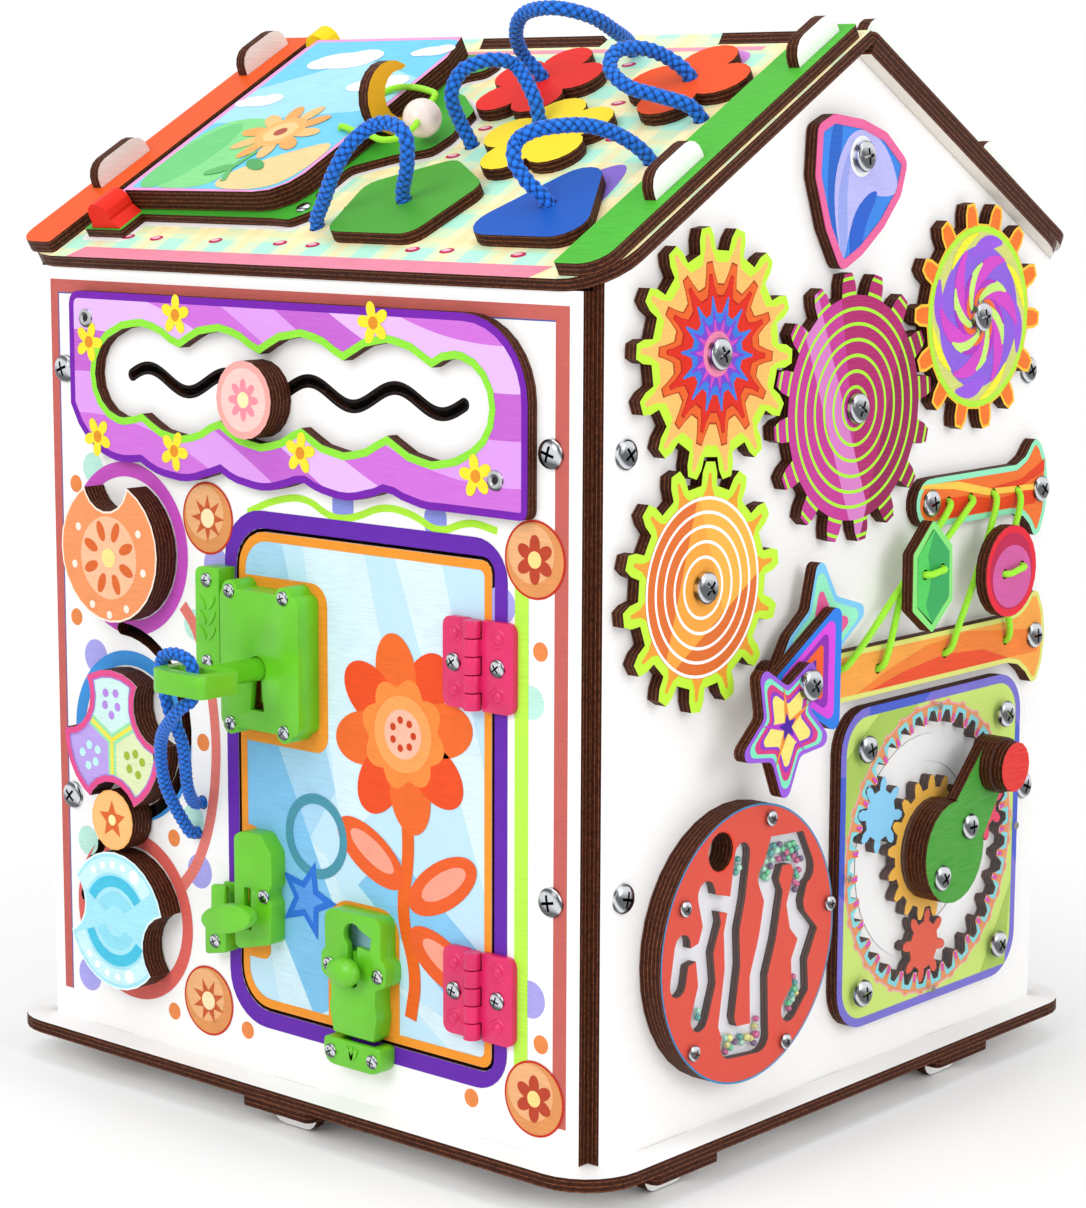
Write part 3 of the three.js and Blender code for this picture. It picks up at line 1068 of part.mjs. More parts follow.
const boardLow = boardSpot[1];
const boardHigh = boardSpot[1] + BOARD_LONG;
const lie = LIE_GAP;
const baseTop = PLY + lie + BASE_THICK;
const posts = [[boardLow - POST_GAP - POST_WIDE_DOWN, boardLow - POST_GAP], [boardHigh + POST_GAP, boardHigh + POST_GAP + POST_WIDE_UP]];
const postFoot = [
  [FLIP[0] - POST_LEFT, baseTop - FUSE], [FLIP[0] + POST_RIGHT, baseTop - FUSE],
  [FLIP[0] + POST_NECK, BOARD_AXIS], [FLIP[0] - POST_NECK, BOARD_AXIS],
];
const postParts = posts.flatMap(([a, b]) => [
  standing(circle(POST_ROUND, [FLIP[0], BOARD_AXIS]), a, b),
  standing(postFoot, a, b),
  slab(softBox(FLIP[0] - POST_PLATE, FLIP[0] + POST_PLATE, a - POST_GAP, b + POST_GAP, POST_GAP), PLY + lie, baseTop),
]);
// crescent that stands at the free edge of the board, drawn in (up the slope, off the roof)
const MOON = 17;
const MOON_IN = 11;
const MOON_SHIFT = 5.5;
const MOON_THICK = 6;
const MOON_OFF = 1;
const moonAtShares = [0.5377, 0.1705];
const moonAt = [FLIP[1] + moonAtShares[0] * FLIP_LONG, moonAtShares[1] * FLIP_LONG];
const boardWideShare = 0.7408;
const moonFrom = boardSpot[0] + BOARD_LONG * boardWideShare + MOON_OFF;
const moonTo = moonFrom + MOON_THICK;
const moonFoot = box(moonAt[0] - MOON / 2, moonAt[0] + MOON / 4, baseTop - FUSE, moonAt[1] - MOON_IN);
const moon = join(
  cut(
    sideways(circle(MOON, moonAt), moonFrom, moonTo),
    sideways(circle(MOON_IN, [moonAt[0] + MOON_SHIFT, moonAt[1] - MOON_OFF]), moonFrom - FUSE, moonTo + FUSE),
    sideways(box(moonAt[0] + MOON / 2, moonAt[0] + 2 * MOON, moonAt[1] - MOON, moonAt[1] + MOON / 2), moonFrom - FUSE, moonTo + FUSE),
  ),
  sideways(moonFoot, moonFrom, moonTo),
);
const pinFrom = posts[0][1] - POST_WIDE_UP / 2;
const pinTo = posts[1][0] + POST_WIDE_UP / 2;
const pinAt = [FLIP[0], BOARD_AXIS];
const flipBase = cut(
  join(slab(rounded(scaled(flipBaseShares, FLIP_LONG, FLIP), FLIP_ROUND), PLY + lie, baseTop), ...postParts, moon),
  standing(circle(POST_PIN + POST_PIN_PLAY, pinAt), pinFrom - POST_PIN_PLAY, pinTo + POST_PIN_PLAY),
);
piece(ROOF, "flip_base", flipBase, 0x3fae3a);
const ROOT_SHORT = 2.5;
const ROOT_LONG = 7;
piece(ROOF, "flip_board", join(
  slab(scaled(boardShares, BOARD_LONG, boardSpot), BOARD_FROM, BOARD_FROM + BOARD_THICK),
  slab(box(FLIP[0] - POST_PIN, FLIP[0] + ROOT_LONG, boardLow + ROOT_SHORT, boardHigh - ROOT_SHORT), BOARD_AXIS - POST_PIN, BOARD_AXIS + POST_PIN),
  standing(circle(POST_PIN, pinAt, 14), pinFrom, pinTo),
), 0xf0a8c8);

// Five shapes tied to the roof with ropes
const TILE_THICK = 5.8;
const TILE_HOLE = ROPE + ROPE_PLAY;
const tileShares = {
  flower_red: { place: [0.0971, -0.2331], hole: [-0.025, 0.0781] },
  clover_orange: { place: [0.3429, -0.2331], hole: [0.0219, 0.0281] },
  flower_yellow: { place: [0.2074, -0.4721], hole: [-0.2781, 0.2875] },
  pentagon_green: { place: [0.1057, -0.7506], hole: [-0.0125, -0.0813] },
  triangle_blue: { place: [0.3457, -0.7753], hole: [-0.0219, 0.0625] },
};
const TILE = 32;
const FLOWER_RING = 19.5;
const RED_PETAL = 12.5;
const YELLOW_PETAL = 13.2;
const CLOVER_RING = 17.5;
const CLOVER_LEAF = 14;
const flower = (at, petals, ring, leaf, turn, hole) => {
  const leaves = [];
  for (let i = 0; i < petals; i++) leaves.push(slab(circle(leaf, towards(at, rad(turn + (360 / petals) * i), ring), 16), PLY + lie, PLY + lie + TILE_THICK));
  return cut(join(slab(circle(ring, at, 20), PLY + lie, PLY + lie + TILE_THICK), ...leaves), slab(circle(TILE_HOLE, hole), PLY, PLY + 2 * TILE_THICK));
};
const pentagonShares = [[0.0469, 1.0625], [-1.0938, 0.3438], [-0.8125, -0.9375], [0.7969, -0.9375], [1.0625, 0.4062]];
const triangleTileShares = [[0, 1.4531], [-1.1719, -0.7344], [1.1719, -0.7344]];
const PENTAGON_ROUND = 9;
const TRIANGLE_TILE_ROUND = 12;
const tileAt = (n) => onRoof(tileShares[n].place);
const tileHole = (n) => scaled([tileShares[n].hole], TILE, tileAt(n))[0];
const tile = (n, shares, r) => slab(
  rounded(scaled(shares, TILE, tileAt(n)), r), PLY + lie, PLY + lie + TILE_THICK, [circle(TILE_HOLE, tileHole(n))],
);
const flowerTile = (n, petals, ring, leaf, turn) => flower(tileAt(n), petals, ring, leaf, turn, tileHole(n));
piece(ROOF, "flower_red", flowerTile("flower_red", 5, FLOWER_RING, RED_PETAL, 86), 0xe02a26);
piece(ROOF, "clover_orange", flowerTile("clover_orange", 4, CLOVER_RING, CLOVER_LEAF, 92), 0xe8501e);
piece(ROOF, "flower_yellow", flowerTile("flower_yellow", 5, FLOWER_RING, YELLOW_PETAL, 106), 0xf6d32c);
piece(ROOF, "pentagon_green", tile("pentagon_green", pentagonShares, PENTAGON_ROUND), 0x46a03a);
piece(ROOF, "triangle_blue", tile("triangle_blue", triangleTileShares, TRIANGLE_TILE_ROUND), 0x1f52b8);

// Cords: a round section drawn along a smooth line whose stations pass its points
class Route extends THREE.CatmullRomCurve3 {
  getPointAt(u, target) {
    return this.getPoint(u, target);
  }

  getTangentAt(u, target) {
    return this.getTangent(u, target);
  }
}
function cord(points, r, sides, between) {
  const route = new Route(points.map((p) => new THREE.Vector3(...p)), false, "centripetal");
  const section = new THREE.Shape(vec(circle(r, [0, 0], sides)));
  const steps = (points.length - 1) * between;
  return solidOf(new THREE.ExtrudeGeometry(section, { steps, extrudePath: route, bevelEnabled: false }));
}
const ropeRoutes = {
  green: [[36.6, -154.6, 7], [36.9, -154.7, 14], [47.5, -155.3, 30], [51.9, -154.1, 44], [44.1, -151.7, 48],
    [34.7, -152.6, 48], [25.4, -160.4, 44], [16, -167.3, 34], [4, -169.4, 20], [-6.6, -169.5, 8], [-7.2, -169.5, 1]],
  yellow: [[63.7, -86.4, 7], [63.7, -86.2, 14], [62.9, -83.7, 22], [52.1, -77.2, 36], [49, -83.6, 42], [44, -89, 44],
    [35.9, -94.3, 42], [30.8, -99.7, 34], [27.9, -98.1, 20], [28.5, -96.9, 8], [28.5, -96.8, 1]],
  red: [[33.2, -44.7, 7], [33, -44.8, 14], [28.2, -45.9, 24], [33.6, -51.3, 38], [46.9, -55.7, 50], [69.9, -58.8, 54],
    [77.2, -47.6, 44], [74.6, -32.2, 28], [66.5, -17.5, 15], [62.6, -11.8, 7], [62.4, -11.5, 1]],
  orange: [[120.7, -46.3, 7], [120.5, -46.4, 14], [113, -48.6, 24], [108.1, -57.7, 33], [104.4, -68.8, 37],
    [107, -78, 34], [118, -83, 28], [132, -81, 22], [141, -75, 14], [143.1, -73, 7], [143.1, -72.9, 1]],
  blue: [[120.3, -155, 7], [120, -155.2, 14], [114, -156, 24], [109.5, -153.9, 33], [108.8, -147.9, 38], [114.9, -143, 40],
    [121.9, -135.4, 38], [129.1, -124.6, 32], [136.5, -116.1, 22], [140.7, -109.8, 9], [141, -109, 1]],
};
const ROPE_LOOK = 0x1f5fc8;
for (const [n, points] of Object.entries(ropeRoutes)) piece(ROOF, `rope_${n}`, cord(points, ROPE, 8, 2), ROPE_LOOK);

// Cord from the key to the wall
const keyRoute = [
  [-61, 122.2, -4], [-61, 122.2, 0.5], [-60.6, 122.6, 4.6], [-52, 132.4, 17], [-38, 159, 33], [-34, 176, 44], [-33.5, 190, 48], [-31, 200.5, 50],
  [-21, 203.5, 51], [-11.5, 200.5, 51], [-10.2, 193, 51], [-11, 184.5, 51], [-17.5, 180, 51.5], [-26, 174, 49.5],
  [-44, 160, 40], [-57.6, 135.5, 26], [-63.4, 113, 9], [-64.4, 108, 4.2], [-64.5, 107.5, 0.5], [-64.5, 107.5, -4],
];
piece(FRONT, "key_cord", cord(keyRoute, KEY_ROPE, 8, 2), ROPE_LOOK);

// Lace: over the bars, behind them through the wall, and through the buttons
const laceRoute = [
  [76, 260.5, -9], [76, 260.5, 6], [74, 259.5, 8.6], [60, 247.5, 9.6], [30, 223, 9.6], [-8.7, 193.1, 8.4],
  [-10, 192, 6], [-10, 192, -8], [-3, 190.5, -10], [14, 189.5, -10], [21, 188.5, -8],
  [21, 188.5, 6], [22, 190.6, 8.5], [33, 222, 10.2], [36.6, 230.4, 11.6], [37, 231.5, 14], [37, 231.5, 20], [38.3, 231.6, 22.2],
  [44, 232.2, 22.4], [49.7, 232.9, 22.2], [51, 233, 20], [51, 233, 14], [51.6, 233.6, 11.6], [60, 238.5, 10.8], [88, 256, 9],
  [93.5, 259.5, 8.4], [95, 260.5, 6], [95, 260.5, -8], [100, 260.5, -10], [109.5, 261, -10], [114.5, 261, -8], [114.5, 261, 6],
  [113.7, 259, 8.5], [106, 242, 9.6], [82, 200, 9.2], [77.5, 191, 8.5], [76, 188.5, 6], [76, 188.5, -8],
  [83, 188.5, -10], [122, 188, -10], [129, 188, -8], [129, 188, 6], [128.4, 191, 8.6],
  [124, 203, 9.8], [107, 221, 10.6], [104.9, 223.9, 11.7], [104.5, 224.5, 14], [104.5, 224.5, 20], [105.8, 224.7, 22.2],
  [112, 225.7, 22.4], [118.2, 226.8, 22.2], [119.5, 227, 20], [119.5, 227, 14], [119.8, 227.8, 11.6], [124, 236, 10.4],
  [134.8, 256.5, 8.8], [136, 260.5, 6], [136, 260.5, -9],
];
piece(RIGHT, "lace_cord", cord(laceRoute, LACE, 8, 1), 0x9ee82e);

export default busyBoard;
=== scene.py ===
"""House-shaped busy board: boards, prints, plastic hardware, ropes, screws and the stage."""

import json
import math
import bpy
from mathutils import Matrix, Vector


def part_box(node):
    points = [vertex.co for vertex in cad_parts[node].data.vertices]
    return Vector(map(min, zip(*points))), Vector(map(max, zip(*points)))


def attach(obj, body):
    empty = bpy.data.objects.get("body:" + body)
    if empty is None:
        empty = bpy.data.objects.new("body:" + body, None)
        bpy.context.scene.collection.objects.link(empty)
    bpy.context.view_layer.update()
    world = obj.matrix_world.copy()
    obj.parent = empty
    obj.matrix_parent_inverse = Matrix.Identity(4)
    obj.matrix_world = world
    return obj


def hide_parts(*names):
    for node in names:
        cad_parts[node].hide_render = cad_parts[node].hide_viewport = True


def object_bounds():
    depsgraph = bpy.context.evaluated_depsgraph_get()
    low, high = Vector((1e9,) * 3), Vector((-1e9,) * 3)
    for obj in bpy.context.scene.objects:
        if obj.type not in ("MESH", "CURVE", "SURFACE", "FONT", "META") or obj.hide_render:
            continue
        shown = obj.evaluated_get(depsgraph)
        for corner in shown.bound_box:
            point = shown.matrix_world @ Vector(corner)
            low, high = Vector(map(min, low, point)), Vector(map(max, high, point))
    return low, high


bl_info = {
    "name": "Busy board house",
    "version": (1, 0, 0),
    "blender": (4, 5, 0),
    "location": "View3D > Sidebar > Busy board",
    "description": "Dresses the packed boards of a wooden activity house and adds its small pieces",
    "category": "Object",
}

import bmesh
import bpy
from bpy.props import FloatProperty, FloatVectorProperty, PointerProperty
from mathutils import Matrix, Vector

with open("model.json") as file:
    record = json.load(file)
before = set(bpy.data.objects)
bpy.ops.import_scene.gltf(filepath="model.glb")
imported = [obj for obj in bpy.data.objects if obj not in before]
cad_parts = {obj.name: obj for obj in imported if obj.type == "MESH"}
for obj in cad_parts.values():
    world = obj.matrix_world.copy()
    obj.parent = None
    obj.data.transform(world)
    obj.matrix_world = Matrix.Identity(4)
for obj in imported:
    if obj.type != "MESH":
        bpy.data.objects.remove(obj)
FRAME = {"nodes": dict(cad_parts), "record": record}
NODES = FRAME["nodes"]
BODY_OF = {node: body for body, nodes in FRAME["record"]["behaviour"]["bodies"].items() for node in nodes}
CAD_BOX = [list(corner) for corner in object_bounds()]

MM = 0.001
PLY = 6.0
PITCH = math.radians(29.5)
SIN, COS = math.sin(PITCH), math.cos(PITCH)

# How far the walls' faces stand from the middle, and where the roof's slopes meet
WALL_OUT = 175
RIDGE = 472.61

# Heights of printed faces, from where the heights of their wall or of the roof start
GEAR_FACE = 6.5
MAZE_FACE = 2 * PLY
DISC_FACE = 13.0
BUTTON_FACE = 20.0
COVER_FACE = 9.0
FLIP_BASE_FACE = 10.3
FLIP_FACE = 21.0

# How far the faces that carry screws stand out on the front wall
LATCH_FACE = 9.0
BOLT_FACE = 10.0
KEEPER_FACE = 10.35
LOCK_FACE = 13.0

# Ink: how thick, how far its layers lie apart, a small step between prints in one layer, after how
# many prints the steps start again, and how far a whole printed face lies off its board
INK_THICK = 0.03
INK_LAYER = 0.05
INK_STEP = 0.0035
INK_CYCLE = 7
FACE_INK = 0.035

# A board's face is found by its height within this much, and by its normal
FACE_NEAR = 0.06
FACE_SQUARE = 0.99

# Booleans cut small shapes at this many times their size
BIG = 1000

# Each face has its own place across, place up, way out and start, in millimetres
FACES = {
    "front": ((1, 0, 0), (0, 0, 1), (0, -1, 0), (0, -WALL_OUT, PLY)),
    "right": ((0, 1, 0), (0, 0, 1), (1, 0, 0), (WALL_OUT, 0, PLY)),
    "back": ((-1, 0, 0), (0, 0, 1), (0, 1, 0), (0, WALL_OUT, PLY)),
    "left": ((0, -1, 0), (0, 0, 1), (-1, 0, 0), (-WALL_OUT, 0, PLY)),
    "roof": ((1, 0, 0), (0, COS, SIN), (0, -SIN, COS), (0, 0, RIDGE)),
    "roof_back": ((-1, 0, 0), (0, -COS, SIN), (0, SIN, COS), (0, 0, RIDGE)),
    "base": ((1, 0, 0), (0, 1, 0), (0, 0, 1), (0, 0, PLY)),
}

# Printed and painted colours
WHITE = "F9F8F7"
BURNT = "4A2213"
GREEN_PLASTIC = "66C220"
PINK_PLASTIC = "D81E62"
ROPE_BLUE = "1D5FCE"
STRIP_ORANGE = "EE5A1C"
STRIP_GREEN = "4DB534"


def face_matrix(face):
    across, up, out, start = (Vector(v) for v in FACES[face])
    m = Matrix.Identity(4)
    for i in range(3):
        m[i][0], m[i][1], m[i][2], m[i][3] = across[i], up[i], out[i], start[i] * MM
    return m


def at(face, u, v, h):
    """The point, in metres, at a place in millimetres on a face."""
    return face_matrix(face) @ Vector((u * MM, v * MM, h * MM))


def place_on(face, u, v, h):
    """The matrix that stands a small part, made at the origin, on a place on a face."""
    return face_matrix(face) @ Matrix.Translation((u * MM, v * MM, h * MM))


def linear(code):
    """A colour code as linear red, green, blue and alpha."""
    out = []
    for i in (0, 2, 4):
        c = int(code[i:i + 2], 16) / 255
        out.append(c / 12.92 if c <= 0.04045 else ((c + 0.055) / 1.055) ** 2.4)
    return (*out, 1.0)


# Outlines


def polar(c, r, a):
    """The point at a distance and an angle from a middle."""
    return (c[0] + r * math.cos(a), c[1] + r * math.sin(a))


def circle(c, r, n=48):
    return [polar(c, r, 2 * math.pi * i / n) for i in range(n)]


def ring(c, r, width, n=64):
    return [circle(c, r, n), circle(c, r - width, n)]


def oval(c, across, up, turn=0.0, n=32):
    t = math.radians(turn)
    out = []
    for i in range(n):
        a = 2 * math.pi * i / n
        x, y = across * math.cos(a), up * math.sin(a)
        out.append((c[0] + x * math.cos(t) - y * math.sin(t), c[1] + x * math.sin(t) + y * math.cos(t)))
    return out


def star(c, out_r, in_r, n=5, turn=90.0):
    pts = []
    for i in range(2 * n):
        a = math.radians(turn) + math.pi * i / n
        r = out_r if i % 2 == 0 else in_r
        pts.append(polar(c, r, a))
    return pts


def rect(x0, x1, y0, y1, rounds=0.0, steps=8):
    r = rounds if isinstance(rounds, (tuple, list)) else (rounds,) * 4
    out = []
    for (x, y, sx, sy, a0), q in zip(
        ((x0, y0, 1, 1, 180), (x1, y0, -1, 1, 270), (x1, y1, -1, -1, 0), (x0, y1, 1, -1, 90)), r
    ):
        if q <= 0:
            out.append((x, y))
            continue
        for i in range(steps + 1):
            a = math.radians(a0 + 90 * i / steps)
            out.append((x + sx * q + q * math.cos(a), y + sy * q + q * math.sin(a)))
    return out


def blossom(c, ring_r, petal, n=5, turn=90.0, steps=60):
    """A flower of round petals."""
    out = []
    for i in range(steps):
        a = 2 * math.pi * i / steps
        lobe = abs(math.cos(n * (a - math.radians(turn)) / 2))
        r = ring_r + petal * lobe
        out.append(polar(c, r, a))
    return out


def arc_band(c, r, width, a0, a1, n=36):
    outer = [polar(c, r, math.radians(a0 + (a1 - a0) * i / n)) for i in range(n + 1)]
    inner = [polar(c, r - width, math.radians(a1 + (a0 - a1) * i / n)) for i in range(n + 1)]
    return outer + inner


def smooth(points, times=3):
    """A closed outline with its corners cut round."""
    for _ in range(times):
        out = []
        for i, p in enumerate(points):
            q = points[(i + 1) % len(points)]
            out.append((0.75 * p[0] + 0.25 * q[0], 0.75 * p[1] + 0.25 * q[1]))
            out.append((0.25 * p[0] + 0.75 * q[0], 0.25 * p[1] + 0.75 * q[1]))
        points = out
    return points


def ribbon(points, width):
    """A band of one width along a line."""
    left, right = [], []
    for i, p in enumerate(points):
        a, b = points[max(0, i - 1)], points[min(len(points) - 1, i + 1)]
        d = math.hypot(b[0] - a[0], b[1] - a[1]) or 1
        nx, ny = -(b[1] - a[1]) / d, (b[0] - a[0]) / d
        left.append((p[0] + nx * width / 2, p[1] + ny * width / 2))
        right.append((p[0] - nx * width / 2, p[1] - ny * width / 2))
    return left + right[::-1]


def round_ribbon(points, width):
    """A band of one width along a line, with round ends."""
    line = ribbon(points, width)
    n = len(points)
    out = line[:n]
    for end, here, start in ((points[-1], points[-2], 1), (points[0], points[1], -1)):
        a = math.atan2(end[1] - here[1], end[0] - here[0])
        out += [
            (end[0] + width / 2 * math.cos(a + t), end[1] + width / 2 * math.sin(a + t))
            for t in [math.pi / 2 - math.pi * k / 10 for k in range(1, 10)]
        ]
        if start == 1:
            out += line[n:]
    return out


def gear_line(c, teeth, pitch, turn, tip, root, half=0.25, point=0.16, foot=0.30):
    """The outline of a gear with straight-sided teeth, for its printed bands."""
    out = []
    for i in range(teeth):
        a = turn + 2 * math.pi * i / teeth
        w = 2 * math.pi / teeth
        for r, s in ((root, -foot), (pitch, -half), (tip, -point), (tip, point), (pitch, half), (root, foot)):
            out.append(polar(c, r, a + s * w))
    return out


# Pieces


def new_object(name, data):
    """An object in the scene with this mesh, curve, camera or lamp."""
    obj = bpy.data.objects.new(name, data)
    bpy.context.scene.collection.objects.link(obj)
    return obj


def clean_selection():
    if bpy.context.object and bpy.context.object.mode != "OBJECT":
        bpy.ops.object.mode_set(mode="OBJECT")
    bpy.ops.object.select_all(action="DESELECT")


def only(obj):
    clean_selection()
    obj.select_set(True)
    bpy.context.view_layer.objects.active = obj


def settle(obj):
    """Puts the object's place into its mesh, with clean outward faces."""
    only(obj)
    bpy.ops.object.transform_apply(location=True, rotation=True, scale=True)
    bpy.ops.object.mode_set(mode="EDIT")
    bpy.ops.mesh.select_all(action="SELECT")
    bpy.ops.mesh.remove_doubles(threshold=0.000002)
    bpy.ops.mesh.normals_make_consistent(inside=False)
    bpy.ops.object.mode_set(mode="OBJECT")


def coat(obj, material, body):
    obj.data.materials.clear()
    obj.data.materials.append(material)
    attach(obj, body)
    return obj


def flat_shape(name, face, height, outlines, thick):
    """A thin flat piece from closed outlines: an outline inside another is a hole."""
    clean_selection()
    curve = bpy.data.curves.new(name, "CURVE")
    curve.dimensions = "2D"
    curve.fill_mode = "BOTH"
    curve.extrude = thick * MM / 2
    for line in outlines:
        spline = curve.splines.new("POLY")
        spline.points.add(len(line) - 1)
        for point, (x, y) in zip(spline.points, line):
            point.co = (x * MM, y * MM, 0, 1)
        spline.use_cyclic_u = True
    obj = new_object(name, curve)
    only(obj)
    bpy.ops.object.convert(target="MESH")
    obj.matrix_world = place_on(face, 0, 0, height + thick / 2)
    settle(obj)
    return obj


PRINT_COUNT = {}


def print_on(name, face, height, layer, outlines, code, body):
    """Ink on a board: flat shapes a hair over its face, in layers."""
    PRINT_COUNT[name] = PRINT_COUNT.get(name, 0) + 1
    label = f"print_{name}_{PRINT_COUNT[name]}"
    step = INK_STEP * (PRINT_COUNT[name] % INK_CYCLE)
    lift = height + INK_THICK + INK_LAYER * layer + step
    obj = flat_shape(label, face, lift, outlines, INK_THICK)
    return coat(obj, ink(code, face), body)


def printer(name, face, height, body):
    """A function that prints on one board; with a node's name, it cuts the print to that board."""

    def put(layer, outlines, code, cut=None):
        obj = print_on(name, face, height, layer, outlines, code, body)
        return clip(obj, cut, face) if cut else obj

    return put


def slab_piece(name, face, h0, h1, outlines, bevel=0.0, segments=2):
    """A board or moulding of one thickness, with its edges rounded."""
    obj = flat_shape(name, face, h0, outlines, h1 - h0)
    if bevel > 0:
        round_edges(obj, bevel, segments)
    return obj


def round_edges(obj, width, segments=2, angle=35):
    only(obj)
    bevel = obj.modifiers.new("round", "BEVEL")
    bevel.width = width * MM
    bevel.segments = segments
    bevel.limit_method = "ANGLE"
    bevel.angle_limit = math.radians(angle)
    bevel.use_clamp_overlap = True
    bpy.ops.object.modifier_apply(modifier=bevel.name)
    bpy.ops.object.shade_smooth_by_angle(angle=math.radians(34))


def node_copy(node, name):
    """A merged copy of a board's or moulding's solid, with whole flat faces."""
    clean_selection()
    source = NODES[node]
    obj = new_object(name, source.data.copy())
    only(obj)
    bpy.ops.object.mode_set(mode="EDIT")
    bpy.ops.mesh.select_all(action="SELECT")
    bpy.ops.mesh.remove_doubles(threshold=0.00001)
    bpy.ops.mesh.dissolve_limited(angle_limit=math.radians(1.0))
    bpy.ops.object.mode_set(mode="OBJECT")
    return obj


def moulded(node, material, width):
    """Stands in for a solid with its edges rounded as moulded plastic has them."""
    obj = node_copy(node, f"moulded_{node}")
    round_edges(obj, width)
    coat(obj, material, BODY_OF[node])
    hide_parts(node)
    return obj


def printed_face(mesh, face, height):
    """A board's faces that look out from the wall at a height, in a bmesh to be freed."""
    out = Vector(FACES[face][2])
    start = Vector(FACES[face][3]) * MM
    bm = bmesh.new()
    bm.from_mesh(mesh)
    bm.normal_update()
    drop = []
    for f in bm.faces:
        level = (f.calc_center_median() - start).dot(out) / MM
        if f.normal.dot(out) < FACE_SQUARE or abs(level - height) > FACE_NEAR:
            drop.append(f)
    bmesh.ops.delete(bm, geom=drop, context="FACES")
    return bm


def banded(node, face, height, bands):
    """The printed face of a board: bands of ink that follow its outline, then the middle.
    bands is a list of (width in mm, material); the last one fills the rest."""
    obj = node_copy(node, f"face_{node}")
    mesh = obj.data
    bm = printed_face(mesh, face, height)
    bm.to_mesh(mesh)
    bm.free()
    mesh.materials.clear()
    for _, material in bands:
        mesh.materials.append(material)
    for p in mesh.polygons:
        p.material_index = 0
    only(obj)
    bpy.ops.object.mode_set(mode="EDIT")
    bpy.ops.mesh.select_mode(type="FACE")
    bpy.ops.mesh.select_all(action="SELECT")
    for i, (width, _) in enumerate(bands[:-1]):
        bpy.ops.mesh.inset(thickness=width * MM, depth=0, use_boundary=True, use_even_offset=True)
        obj.active_material_index = i + 1
        bpy.ops.object.material_slot_assign()
    bpy.ops.object.mode_set(mode="OBJECT")
    mesh.transform(Matrix.Translation(Vector(FACES[face][2]) * FACE_INK * MM))
    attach(obj, BODY_OF[node])
    return obj


def joined(objects, name):
    clean_selection()
    for obj in objects:
        obj.select_set(True)
    bpy.context.view_layer.objects.active = objects[0]
    bpy.ops.object.join()
    objects[0].name = name
    objects[0].data.name = name
    return objects[0]


# Finishes


def node_in(tree, kind, inputs=None, **props):
    """A new shader node, with its inputs linked where they are sockets and set where they are values."""
    new = tree.nodes.new(kind)
    for key, value in props.items():
        setattr(new, key, value)
    for key, value in (inputs or {}).items():
        if isinstance(value, bpy.types.NodeSocket):
            tree.links.new(value, new.inputs[key])
        else:
            new.inputs[key].default_value = value
    return new


class Finish:
    """A material built up node by node, with its pattern on Object coordinates."""

    def __init__(self, name, rough=0.45):
        self.material = bpy.data.materials.new(name)
        self.material.use_nodes = True
        self.tree = self.material.node_tree
        self.tree.nodes.clear()
        out = self.node("ShaderNodeOutputMaterial")
        self.skin = self.node("ShaderNodeBsdfPrincipled")
        self.tree.links.new(self.skin.outputs[0], out.inputs[0])
        self.place = self.node("ShaderNodeTexCoord").outputs
        self.skin.inputs["Roughness"].default_value = rough
        self.skin.inputs["Specular IOR Level"].default_value = 0.13

    def node(self, kind, inputs=None, **props):
        return node_in(self.tree, kind, inputs, **props)

    def sum(self, how, a, b=0.0, c=0.0):
        return self.node("ShaderNodeMath", {0: a, 1: b, 2: c}, operation=how).outputs[0]

    def along(self, vector, axis):
        return self.node(
            "ShaderNodeVectorMath", {0: vector, 1: axis}, operation="DOT_PRODUCT"
        ).outputs["Value"]

    def blend(self, amount, a, b):
        return self.node("ShaderNodeMix", {0: amount, 6: a, 7: b}, data_type="RGBA").outputs[2]

    def noise(self, where, scale, detail=3.0, rough=0.5):
        return self.node(
            "ShaderNodeTexNoise", {"Vector": where, "Scale": scale, "Detail": detail, "Roughness": rough}
        ).outputs[0]

    def face_place(self, face):
        """Place across, up and out from a face, in metres."""
        across, up, out, start = FACES[face]
        shifted = self.node(
            "ShaderNodeVectorMath", {0: self.place["Object"], 1: [-s * MM for s in start]}, operation="ADD"
        ).outputs[0]
        return [self.along(shifted, axis) for axis in (across, up, out)]

    def step(self, value, low, high):
        """Rises from 0 to 1 between two values."""
        return self.node("ShaderNodeMapRange", {0: value, 1: low, 2: high, 3: 0.0, 4: 1.0}).outputs[0]

    def between(self, value, low, high):
        """1 where the value is between two others."""
        return self.sum("MULTIPLY", self.sum("GREATER_THAN", value, low), self.sum("LESS_THAN", value, high))

    def grain(self, face):
        """Long fibres across a face, from 0 to 1."""
        u, v, _ = self.face_place(face)
        flat = self.node(
            "ShaderNodeCombineXYZ", {0: self.sum("MULTIPLY", u, 70.0), 1: self.sum("MULTIPLY", v, 1500.0)}
        ).outputs[0]
        return self.noise(flat, 1.0, 4.0, 0.6)

    def colour(self, socket):
        self.tree.links.new(socket, self.skin.inputs["Base Color"])

    def roughness(self, socket):
        self.tree.links.new(socket, self.skin.inputs["Roughness"])

    def bump(self, socket, strength, distance=0.0002):
        new = self.node("ShaderNodeBump", {"Height": socket, "Strength": strength, "Distance": distance})
        self.tree.links.new(new.outputs[0], self.skin.inputs["Normal"])


INKS = {}


def shade(code, factor):
    """A colour code made lighter (above 1) or darker."""
    parts = [int(code[i:i + 2], 16) for i in (0, 2, 4)]
    return "".join(f"{max(0, min(255, round(p * factor))):02X}" for p in parts)


